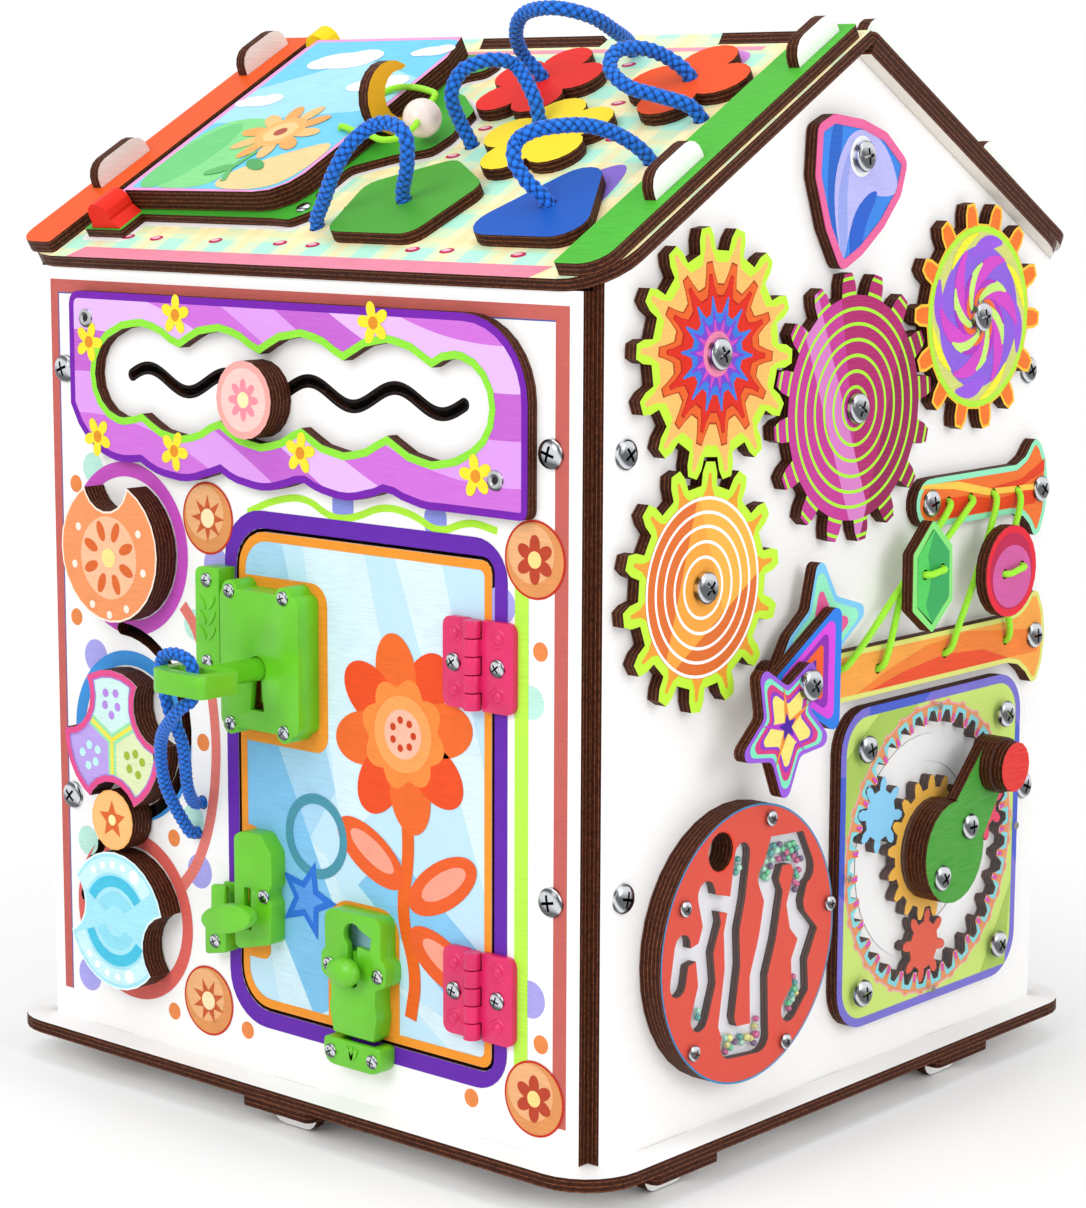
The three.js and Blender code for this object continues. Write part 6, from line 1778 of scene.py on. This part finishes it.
def box_top(node):
    """How far a gable piece's outer face stands out from the wall, in millimetres."""
    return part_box(node)[1][0] / MM - WALL_OUT


# Fields of ink on the lacing bars and on the hexagon button
UPPER_RED = [(72, 252.6), (152, 252.8), (157, 258), (158, 262), (120, 258), (90, 262), (62, 262), (60, 256)]
UPPER_YELLOW = [
    (52, 268.5), (80, 266), (110, 260.5), (160, 259.6), (160, 262.2), (112, 263.6), (84, 269.3), (56, 270)
]
UPPER_DARK = [(110, 263.6), (140, 266), (160, 274), (160, 268), (140, 262.6)]
LOWER_MID = [(4, 179), (30, 187), (60, 194), (95, 196.6), (150, 191), (160, 186), (158, 179)]
HEXAGON_SHADE = [(44, 251.5), (56.5, 240.5), (57, 219.5), (43.6, 208), (38, 217), (42, 228), (39, 240)]


class BUSY_OT_lacing(bpy.types.Operator):
    """Prints the two lacing bars and the two buttons"""

    bl_idname = "busy.lacing"
    bl_label = "Lacing set"

    def execute(self, context):
        paint_nodes(["lace_bar_upper"], board("right", "93E6BE"))
        bordered("lace_bar_upper", "right", PLY, [(2.8, "F07430")])
        bar_upper_ink = printer("bar_upper", "right", PLY, "house")
        bar_upper_ink(1, [UPPER_RED], "E4441C", "lace_bar_upper")
        bar_upper_ink(2, [UPPER_YELLOW], "FBCB50", "lace_bar_upper")
        bar_upper_ink(2, [UPPER_DARK], "E2401C", "lace_bar_upper")
        paint_nodes(["lace_bar_lower"], board("right", "DDE07A"))
        bordered("lace_bar_lower", "right", PLY, [(2.4, "F6A548")])
        bar_lower_ink = printer("bar_lower", "right", PLY, "house")
        bar_lower_ink(1, [LOWER_MID], "F08236", "lace_bar_lower")
        low = [(14, 178.8), (40, 184), (75, 188), (110, 186), (132, 179)]
        bar_lower_ink(2, [low], "E8502A", "lace_bar_lower")
        for i, (u, v) in enumerate(((61.01, 261), (156.5, 259.6), (154.5, 187.4))):
            screw(f"bar_{i}", "right", u, v, 6.0, 6.4, "house", "pan", 12 + 40 * i)
        paint_nodes(["button_hexagon"], board("right", "86E07A"))
        bordered("button_hexagon", "right", BUTTON_FACE, [(3.6, "55CC60")])
        print_on(
            "button_hexagon", "right", BUTTON_FACE, 1, [HEXAGON_SHADE, circle((51, 233), 2.4, 20)], "3AA85C",
            "house"
        )
        paint_nodes(["button_round"], board("right", "E0263A"))
        c = (110.49, 225.3)
        holes = [circle((104.5, 224.5), 2.4, 20), circle((119.5, 227), 2.4, 20)]
        button_round_ink = printer("button_round", "right", BUTTON_FACE, "house")
        button_round_ink(0, [circle(c, 18.4), *holes], "BC2350")
        button_round_ink(1, [oval((c[0] + 0.5, c[1] - 2.6), 16.8, 15.0), *holes], "D05CA0")
        return {"FINISHED"}


# Colours of the glass beads
GLASS_INKS = (
    ("green", "5FC08A"), ("teal", "4A9E98"), ("pink", "C04A80"), ("gold", "D8C878"), ("plum", "6C4A78"),
    ("sea", "9ED8B8")
)

# Where beads lie: a line from the maze's middle, half its width, and how many
BEAD_RUNS = (
    ([(13, 27), (15, 33), (20, 38), (27, 38), (34, 36), (38, 31)], 2.0, 46), ([(19, 35), (31, 34)], 1.4, 12),
    ([(38.5, 27), (36, 22), (35, 17)], 1.6, 7),
    ([(-12, -40), (-12, -45)], 1.6, 10), ([(-10, -42.5), (7, -44)], 1.5, 16), ([(8, -38), (7, -46)], 1.9, 13),
    ([(36, -24), (37, -30), (31, -36)], 1.6, 15),
    ([(-6.5, 39), (-8, 34)], 1.4, 6), ([(-35.5, -25.5), (-34, -24)], 1.0, 3),
)


class BUSY_OT_bead_maze(bpy.types.Operator):
    """Prints the round bead maze and adds its clear cover, screws and glass beads"""

    bl_idname = "busy.bead_maze"
    bl_label = "Bead maze"

    def execute(self, context):
        c = (-81.51, 80.99)
        paint_nodes(["bead_maze"], board("right", "DC3C1A"))
        thumb = (c[0] - 21.5, c[1] + 45)
        edge = slab_piece(
            "maze_cover", "right", 12.25, 13.1, [circle(c, 61.2, 96), circle(thumb, 9.2, 40)], 0.25, 2
        )
        coat(edge, clear_sheet("clear_maze_cover"), "bead_maze")
        back = slab_piece(
            "maze_back", "right", 7.4, 7.8, [circle(c, 60.5, 96), circle(thumb, 10.2, 40)], 0.05, 1
        )
        coat(back, board("right", "EEECF2"), "bead_maze")
        print_on(
            "maze_rim", "right", MAZE_FACE, 0, ring(c, 62.0, 0.9, 96), "3A86B8", "bead_maze"
        )
        for i, (u, v) in enumerate(((-47, 25), (13, 54), (58, 7), (26, -50), (-40, -40))):
            screw(f"maze_{i}", "right", c[0] + u, c[1] + v, 13.1, 3.6, "bead_maze", "pan", 20 + 33 * i)
        glass = {}
        for key, code in GLASS_INKS:
            f = Finish(f"glass_bead_{key}", 0.08)
            tone = f.noise(f.place["Object"], 300.0, 2.0)
            f.colour(f.blend(tone, linear(shade(code, 0.75)), linear(shade(code, 1.25))))
            f.skin.inputs["Coat Weight"].default_value = 1.0
            f.skin.inputs["Coat Roughness"].default_value = 0.03
            f.skin.inputs["Metallic"].default_value = 0.25
            glass[key] = f.material
        seed = 7
        keys = list(glass)
        groups = {key: [] for key in keys}
        r = sizes().bead / MM

        def rand():
            nonlocal seed
            seed = (seed * 1103515245 + 12345) % 2147483648
            return seed / 2147483648

        bpy.ops.mesh.primitive_ico_sphere_add(subdivisions=2, radius=r * MM, location=(0, 0, 0))
        master = bpy.context.object
        for p in master.data.polygons:
            p.use_smooth = True
        placed = []
        for line, spread, count in BEAD_RUNS:
            got, tries = 0, 0
            while got < count and tries < 900:
                tries += 1
                k = rand() * (len(line) - 1)
                i = min(int(k), len(line) - 2)
                t = k - i
                x = line[i][0] + (line[i + 1][0] - line[i][0]) * t + (rand() - 0.5) * 2 * spread
                y = line[i][1] + (line[i + 1][1] - line[i][1]) * t + (rand() - 0.5) * 2 * spread
                h = 10.3 - 0.9 * rand()
                size = 1.0 if rand() > 0.16 else 1.25
                q = (x, y, h)
                if any(
                    (q[0] - o[0]) ** 2 + (q[1] - o[1]) ** 2 + (q[2] - o[2]) ** 2 < (1.85 * r) ** 2
                    for o in placed
                ):
                    continue
                placed.append(q)
                got += 1
                mesh = master.data.copy()
                mesh.transform(place_on("right", c[0] + x, c[1] + y, h) @ Matrix.Scale(size, 4))
                obj = new_object("bead", mesh)
                groups[keys[int(rand() * len(keys)) % len(keys)]].append(obj)
        bpy.data.objects.remove(master)
        for key, objects in groups.items():
            if objects:
                obj = joined(objects, f"beads_{key}")
                obj.data.materials.clear()
                obj.data.materials.append(glass[key])
                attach(obj, "bead_maze")
        return {"FINISHED"}


# Planet gears and their colours
PLANET_INKS = (("planet_gear_blue", "86CDF2"), ("planet_gear_red", "E04E2A"), ("planet_gear_pink", "E8305C"))


class BUSY_OT_gearbox(bpy.types.Operator):
    """Prints the gearbox frame, and finishes its gears, crank and clear cover"""

    bl_idname = "busy.gearbox"
    bl_label = "Gearbox"

    def execute(self, context):
        sun, box, half = (67.99, 96.01), (68.99, 96.01), 75.5
        paint_nodes(["gearbox_frame"], board("right", "CBE46A"))
        outer = rect(box[0] - half, box[0] + half, box[1] - half, box[1] + half, 20)
        inner = rect(box[0] - half + 4.2, box[0] + half - 4.2, box[1] - half + 4.2, box[1] + half - 4.2, 16)
        gearbox_ink = printer("gearbox", "right", PLY, "house")
        gearbox_ink(0, [outer, inner], "7468D0")
        x0, x1, z0, z1 = box[0] - half, box[0] + half, box[1] - half, box[1] + half
        for part in (
            [(x0 + 22, z1), (x0 + 72, z1), (x0 + 66, z1 - 4.2), (x0 + 22, z1 - 4.2)],
            [(x1 - 4.2, z0 + 60), (x1, z0 + 54), (x1, z1 - 30), (x1 - 4.2, z1 - 24)],
            [(x0, z1 - 30), (x0 + 4.2, z1 - 30), (x0 + 4.2, z1 - 88), (x0, z1 - 84)]
        ):
            gearbox_ink(1, [part], "3552CC", "gearbox_frame")
        for part in (
            [(x0 + 4.2, z1 - 22), (x0 + 30, z1 - 4.2), (x0 + 62, z1 - 4.2), (x0 + 4.2, z1 - 66)],
            [(x1 - 4.2, z0 + 46), (x1 - 30, z0 + 4.2), (x1 - 8, z0 + 4.2)]
        ):
            gearbox_ink(0, [part], "A9C84A", "gearbox_frame")
        line = gear_line(sun, 33, 70.4, 3.11, 71.4, 70.0, 0.1)
        gearbox_ink(1, [line, circle(sun, 57, 96)], "F2A0B4", "gearbox_frame")
        line = gear_line(sun, 33, 69.4, 3.11, 70.6, 69.2, 0.1)
        gearbox_ink(2, [line, circle(sun, 57, 96)], "E59150", "gearbox_frame")
        cyan, magenta, red, white = [], [], [], []
        for i in range(33):
            a = 3.11 + 2 * math.pi * i / 33

            def spot(r, s):
                b = a + 2 * math.pi / 33 * s
                return polar(sun, r, b)

            cyan.append(
                [
                    spot(68.2, -0.30), spot(68.2, 0.30), spot(65.2, 0.36), spot(62, 0.34), spot(62, -0.34),
                    spot(65.2, -0.36)
                ]
            )
            magenta.append([spot(64.5, 0.42), spot(64.5, 0.52), spot(57, 0.60), spot(57, 0.40)])
            red.append([spot(65.5, 0.50), spot(64.0, 0.60), spot(57, 0.62), spot(57, 0.50)])
            white.append([spot(60.2, 0.44), spot(60.8, 0.56), spot(56.5, 0.54), spot(56.5, 0.42)])
        for layer, shapes, code in (
            (3, cyan, "7FD6DE"), (4, red, "E8553A"), (5, magenta, "D43CC4"), (6, white, "FAF4F6")
        ):
            gearbox_ink(layer, shapes, code, "gearbox_frame")
        obj = slab_piece(
            "clear_gearbox_cover", "right", 6.45, COVER_FACE, [outer, circle(sun, 25.3, 72)], 0.4, 2
        )
        coat(obj, clear_sheet("clear_gearbox_sheet"), "house")
        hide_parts("gearbox_cover")
        for i, (u, v) in enumerate(((9.5, 153), (126, 152.5), (9.5, 38), (125, 37.5))):
            screw(f"gearbox_{i}", "right", u, v, COVER_FACE, 6.5, "house", "pan", 15 + 40 * i)
        for i, (u, v) in enumerate(((-2.5, 94.5), (69, 164.5), (139.5, 94.5), (69, 27))):
            rivet = turned(f"gearbox_rivet_{i}", [(0, 0.5), (1.6, 0.4), (1.9, 0)], 20)
            rivet.data.transform(place_on("right", u, v, COVER_FACE))
            coat(rivet, metal("gearbox_rivet", "B0A89C", 0.35), "house")
        for node, code in PLANET_INKS:
            paint_nodes([node], board("right", code))
        paint_nodes(["planet_carrier"], board("right", WHITE))
        f = Finish("crank_boards", 0.45)
        _, _, h = f.face_place("right")
        facing = f.along(f.place["Normal"], FACES["right"][2])
        fibre = f.grain("right")
        levels = f.blend(f.sum("GREATER_THAN", h, 0.018), linear("F2B41E"), linear("3C9627"))
        levels = f.blend(f.sum("GREATER_THAN", h, 0.022), levels, linear("3A1D12"))
        levels = f.blend(f.sum("GREATER_THAN", h, 0.030), levels, linear("D91E16"))
        levels = f.blend(f.sum("MULTIPLY", f.step(fibre, 0.35, 0.7), 0.06), levels, linear("FFFFFF"))
        f.colour(f.blend(f.sum("GREATER_THAN", facing, 0.6), burnt_edge(f, h), levels))
        f.bump(fibre, 0.1)
        paint_nodes(["crank_and_sun_gear"], f.material)
        for i, s in enumerate((-1, 1)):
            screw(
                f"crank_{i}", "right", sun[0] + s * 11.3, sun[1] + s * 10.5, 20.0, 6.2, "crank", "pan",
                30 + 60 * i
            )
        return {"FINISHED"}


# Roof


# Clouds on the flap board: place and size
CLOUDS = ((-92, -42, 1.25), (-50, -66, 1.0), (-116, -82, 0.8), (-40, -34, 0.7))

# Loops of elastic that hold the pearl, each with the body that it rides
ELASTIC_LOOPS = (
    ([(-37.8, -108.3, 19), (-36.5, -108.8, 22.4), (-32, -110.5, 23.2), (-25.9, -112.8, 23)], "flip_board"),
    (
        [
            (-25.9, -112.8, 23), (-11.8, -117.3, 23.5), (1, -121.5, 23), (9, -119.5, 23), (13, -112, 24),
            (9, -103, 24)
        ],
        "house"
    ),
    ([(-37.5, -78.5, 19), (-36.2, -77.3, 22.4), (-30.9, -73.8, 23.2), (-26, -73.2, 23.4)], "flip_board"),
    ([(-26, -73.2, 23.4), (-19, -74.4, 24), (-2.1, -81.5, 26), (8, -88, 27), (9, -97, 25)], "house"),
)


class BUSY_OT_flip_set(bpy.types.Operator):
    """Finishes the flap board, its base with posts, and the pearl on its loop"""

    bl_idname = "busy.flip_set"
    bl_label = "Flap board set"

    def execute(self, context):
        f = Finish("flip_base_boards", 0.45)
        u, v, h = f.face_place("roof")
        facing = f.along(f.place["Normal"], FACES["roof"][2])
        fibre = f.grain("roof")
        raised = f.sum("GREATER_THAN", h, 0.0105)
        moon = f.sum("GREATER_THAN", u, -0.07)
        low_post = f.sum("LESS_THAN", v, -0.1)
        posts = f.blend(low_post, linear("F6D21E"), linear("E02A1C"))
        flat = f.blend(f.sum("GREATER_THAN", facing, 0.6), burnt_edge(f, h), linear("43A733"))
        side = f.along(f.place["Normal"], (1, 0, 0))
        moon_face = f.blend(
            f.sum("GREATER_THAN", f.sum("ABSOLUTE", side), 0.6), burnt_edge(f, u), linear("F2B02C")
        )
        up = f.blend(moon, posts, moon_face)
        f.colour(f.blend(raised, flat, up))
        f.bump(fibre, 0.1)
        paint_nodes(["flip_base"], f.material)
        paint_nodes(["flip_board"], board("roof", "EE9CD0"))
        picture = rect(-128.3, -28.6, -164.0, -22.0, (1.5, 16, 9, 1.5))

        def put(layer, outlines, code):
            obj = print_on("flip", "roof", FLIP_FACE, layer, outlines, code, "flip_board")
            return clip(obj, "flip_board", "roof") if layer < 4 else obj

        put(0, [picture], "6FCBEF")
        put(1, [[(-128, -70), (-80, -40), (-28.6, -60), (-28.6, -90), (-128, -104)]], "A6DFF6")
        put(
            2, [smooth([(-128, -104), (-96, -96), (-84, -112), (-78, -140), (-76, -164), (-128, -164)], 3)],
            "83D88A"
        )
        put(
            3,
            [smooth([(-118, -106), (-104, -102), (-98, -130), (-108, -164), (-128, -164), (-128, -130)], 3)],
            "6CCB7C"
        )
        put(
            3,
            [smooth([(-76, -148), (-50, -128), (-28.6, -118), (-28.6, -150), (-40, -164), (-76, -164)], 3)],
            "E8CF94"
        )
        for x, y, k in CLOUDS:
            cloud = [
                oval((x, y), 16 * k, 6.5 * k), oval((x - 9 * k, y - 2 * k), 9 * k, 5 * k),
                oval((x + 8 * k, y + 2.5 * k), 10 * k, 6 * k)
            ]
            for i, piece in enumerate(cloud):
                put(4 + i, [piece], "F8FCFE")
        c = (-74, -112)
        for i in range(10):
            a = math.radians(36 * i)
            put(7, [oval(polar(c, 17, a), 8.5, 4.2, math.degrees(a))], "EBA85C" if i % 2 else "E8C07C")
        put(8, [circle(c, 13.5)], "F0B468")
        put(9, [circle(c, 9.0)], "F6CC8E")
        put(10, [circle(c, 3.6)], "B0503C")
        put(8, [ribbon([(-74, -130), (-77, -146), (-72, -157)], 3.2)], "5FB768")
        put(9, [oval((-83, -147), 8.5, 3.6, 28)], "5FB768")
        put(9, [oval((-64, -142), 8.5, 3.6, -28)], "4EA65C")
        for i, (x, y) in enumerate(((-21, -161), (-20, -27))):
            screw(f"flip_{i}", "roof", x, y, FLIP_BASE_FACE, 3.6, "house", "pan", 30 + 50 * i)
        bpy.ops.mesh.primitive_uv_sphere_add(
            segments=40, ring_count=24, radius=9.0 * MM, location=at("roof", 7.5, -100, 22)
        )
        pearl = bpy.context.object
        pearl.name = "pearl_bead"
        settle(pearl)
        bpy.ops.object.shade_smooth()
        f = Finish("pearl", 0.16)
        cloud = f.noise(f.place["Object"], 60.0, 2.0)
        f.colour(f.blend(f.step(cloud, 0.3, 0.7), linear("F2D6CC"), linear("FBEDE6")))
        f.roughness(f.node("ShaderNodeMapRange", {0: cloud, 3: 0.12, 4: 0.2}).outputs[0])
        f.skin.inputs["Coat Weight"].default_value = 0.8
        f.skin.inputs["Coat Roughness"].default_value = 0.05
        f.skin.inputs["Sheen Weight"].default_value = 0.2
        coat(pearl, f.material, "house")
        lime = bpy.data.materials["lime_elastic"]
        for i, (points, body) in enumerate(ELASTIC_LOOPS):
            line = smooth_line([at("roof", *p) for p in points], 0.0012)
            loop = cord_tube(f"elastic_loop_{i}", line, 1.5, lime, 0.0, sides=12)
            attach(loop, body)
        return {"FINISHED"}


# Shapes on the roof and their colours
SHAPE_INKS = (
    ("flower_red", "E2231C"), ("clover_orange", "E9501C"), ("flower_yellow", "F8DA2A"),
    ("pentagon_green", "4CA236"), ("triangle_blue", "1C58B8")
)


class BUSY_OT_roof_shapes(bpy.types.Operator):
    """Paints the five shapes that are tied to the roof"""

    bl_idname = "busy.roof_shapes"
    bl_label = "Roof shapes"

    def execute(self, context):
        for node, code in SHAPE_INKS:
            paint_nodes([node], board("roof", code, 0.5))
        return {"FINISHED"}


# Middles of the screws on the front wall and on the gable wall
FRONT_SCREWS = ((-152.3, 319), (-152.8, 112.2), (152.6, 300.5), (153.6, 112.1))
GABLE_SCREWS = ((-155.1, 300.3), (-154.6, 113.3), (151.5, 317.4), (158.0, 110.3))


class BUSY_OT_wall_screws(bpy.types.Operator):
    """Adds the pan-head screws on the two walls that show, and on the other two"""

    bl_idname = "busy.wall_screws"
    bl_label = "Wall screws"

    def execute(self, context):
        r = sizes().wall_screw / MM
        for i, (u, v) in enumerate(FRONT_SCREWS):
            screw(f"front_{i}", "front", u, v, 0, r, "house", "pan", 20 + 27 * i)
            screw(f"back_{i}", "back", u, v, 0, r, "house", "pan", 50 + 27 * i)
        for i, (u, v) in enumerate(GABLE_SCREWS):
            screw(f"right_{i}", "right", u, v, 0, r, "house", "pan", 35 + 41 * i)
            screw(f"left_{i}", "left", -u, v, 0, r, "house", "pan", 60 + 41 * i)
        clear_masters()
        return {"FINISHED"}


# Stage


# The paper fades to white between these distances from the middle, in metres
PAPER_NEAR = 0.22
PAPER_FAR = 0.5
PAPER_TONE = 0.93
SOFT_LIGHT = 0.70


def floor_paper():
    """Pale paper that takes the shadow near the house and is plain white further out."""
    material = bpy.data.materials.new("floor_paper")
    material.use_nodes = True
    tree = material.node_tree
    tree.nodes.clear()
    out = node_in(tree, "ShaderNodeOutputMaterial")
    paper = node_in(tree, "ShaderNodeBsdfDiffuse", {"Color": (PAPER_TONE, PAPER_TONE, PAPER_TONE, 1)})
    glow = node_in(tree, "ShaderNodeEmission", {"Strength": 1.0})
    rays = node_in(tree, "ShaderNodeLightPath").outputs
    place = node_in(tree, "ShaderNodeTexCoord").outputs["Object"]
    far = node_in(tree, "ShaderNodeVectorMath", {0: place}, operation="LENGTH").outputs["Value"]
    edge = node_in(tree, "ShaderNodeMapRange", {0: far, 1: PAPER_NEAR, 2: PAPER_FAR}).outputs[0]
    seen = {0: rays["Is Camera Ray"], 1: rays["Is Glossy Ray"]}
    shown = node_in(tree, "ShaderNodeMath", seen, operation="MAXIMUM").outputs[0]
    amount = node_in(tree, "ShaderNodeMath", {0: edge, 1: shown}, operation="MULTIPLY").outputs[0]
    mix = node_in(tree, "ShaderNodeMixShader", {0: amount, 1: paper.outputs[0], 2: glow.outputs[0]})
    tree.links.new(mix.outputs[0], out.inputs[0])
    return material


def surroundings():
    """Soft white light on the house, and plain white where the surroundings are seen."""
    world = bpy.data.worlds.new("surroundings")
    world.use_nodes = True
    tree = world.node_tree
    tree.nodes.clear()
    out = node_in(tree, "ShaderNodeOutputWorld")
    soft = node_in(tree, "ShaderNodeBackground", {"Color": (1, 1, 1, 1), "Strength": SOFT_LIGHT})
    white = node_in(tree, "ShaderNodeBackground", {"Color": (1, 1, 1, 1), "Strength": 1.0})
    rays = node_in(tree, "ShaderNodeLightPath").outputs
    seen = {0: rays["Is Camera Ray"], 1: rays["Is Glossy Ray"]}
    one = node_in(tree, "ShaderNodeMath", seen, operation="MAXIMUM").outputs[0]
    two = node_in(
        tree, "ShaderNodeMath", {0: one, 1: rays["Is Transmission Ray"]}, operation="MAXIMUM"
    ).outputs[0]
    mix = node_in(tree, "ShaderNodeMixShader", {0: two, 1: soft.outputs[0], 2: white.outputs[0]})
    tree.links.new(mix.outputs[0], out.inputs[0])
    return world


# Lamps: name, place and power, and how wide each is
LAMPS = (
    ("lamp_key", (0.1, -1.9, 1.35), 17.0, 1.1), ("lamp_side", (1.9, -0.2, 1.0), 12.0, 1.2),
    ("lamp_top", (0.1, -0.3, 2.2), 9.0, 1.4)
)


class BUSY_OT_stage(bpy.types.Operator):
    """Sets the pale floor, the white surroundings and the soft lamps"""

    bl_idname = "busy.stage"
    bl_label = "Stage"

    def execute(self, context):
        clean_selection()
        low = CAD_BOX[0][2]
        bpy.ops.mesh.primitive_circle_add(
            vertices=96, radius=4.0, fill_type="NGON", location=(0, 0, low - 0.0004)
        )
        floor = bpy.context.object
        floor.name = "floor"
        settle(floor)
        floor.data.materials.append(floor_paper())
        context.scene.world = surroundings()
        for name, place, power, size in LAMPS:
            lamp = bpy.data.lights.new(name, "AREA")
            lamp.energy = power
            lamp.size = size
            holder = new_object(name, lamp)
            holder.location = place
            holder.rotation_euler = (Vector((0, 0, 0.22)) - Vector(place)).to_track_quat("-Z", "Y").to_euler()
        context.scene.view_settings.view_transform = "Standard"
        return {"FINISHED"}


STEPS = (
    BUSY_OT_camera_and_cords, BUSY_OT_walls_and_roof, BUSY_OT_front_prints, BUSY_OT_maze_window,
    BUSY_OT_turning_discs, BUSY_OT_door_picture, BUSY_OT_hardware,
    BUSY_OT_gear_wall, BUSY_OT_swingers, BUSY_OT_lacing, BUSY_OT_bead_maze, BUSY_OT_gearbox, BUSY_OT_flip_set,
    BUSY_OT_roof_shapes, BUSY_OT_wall_screws, BUSY_OT_stage,
)


class BUSY_PT_panel(bpy.types.Panel):
    """Lists the steps that build the board's looks"""

    bl_idname = "BUSY_PT_panel"
    bl_label = "Busy board"
    bl_space_type = "VIEW_3D"
    bl_region_type = "UI"
    bl_category = "Busy board"

    def draw(self, context):
        for group in (context.scene.board_colours, context.scene.board_sizes):
            for key in type(group).__annotations__:
                self.layout.prop(group, key)
        for step in STEPS:
            self.layout.operator(step.bl_idname)


CLASSES = (BoardColours, BoardSizes, *STEPS, BUSY_PT_panel)


def register():
    for cls in CLASSES:
        bpy.utils.register_class(cls)
    bpy.types.Scene.board_colours = PointerProperty(type=BoardColours)
    bpy.types.Scene.board_sizes = PointerProperty(type=BoardSizes)


def unregister():
    del bpy.types.Scene.board_sizes
    del bpy.types.Scene.board_colours
    for cls in reversed(CLASSES):
        bpy.utils.unregister_class(cls)


def main():
    register()
    for step in STEPS:
        group, name = step.bl_idname.split(".")
        getattr(getattr(bpy.ops, group), name)()


if __name__ == "__main__":
    main()
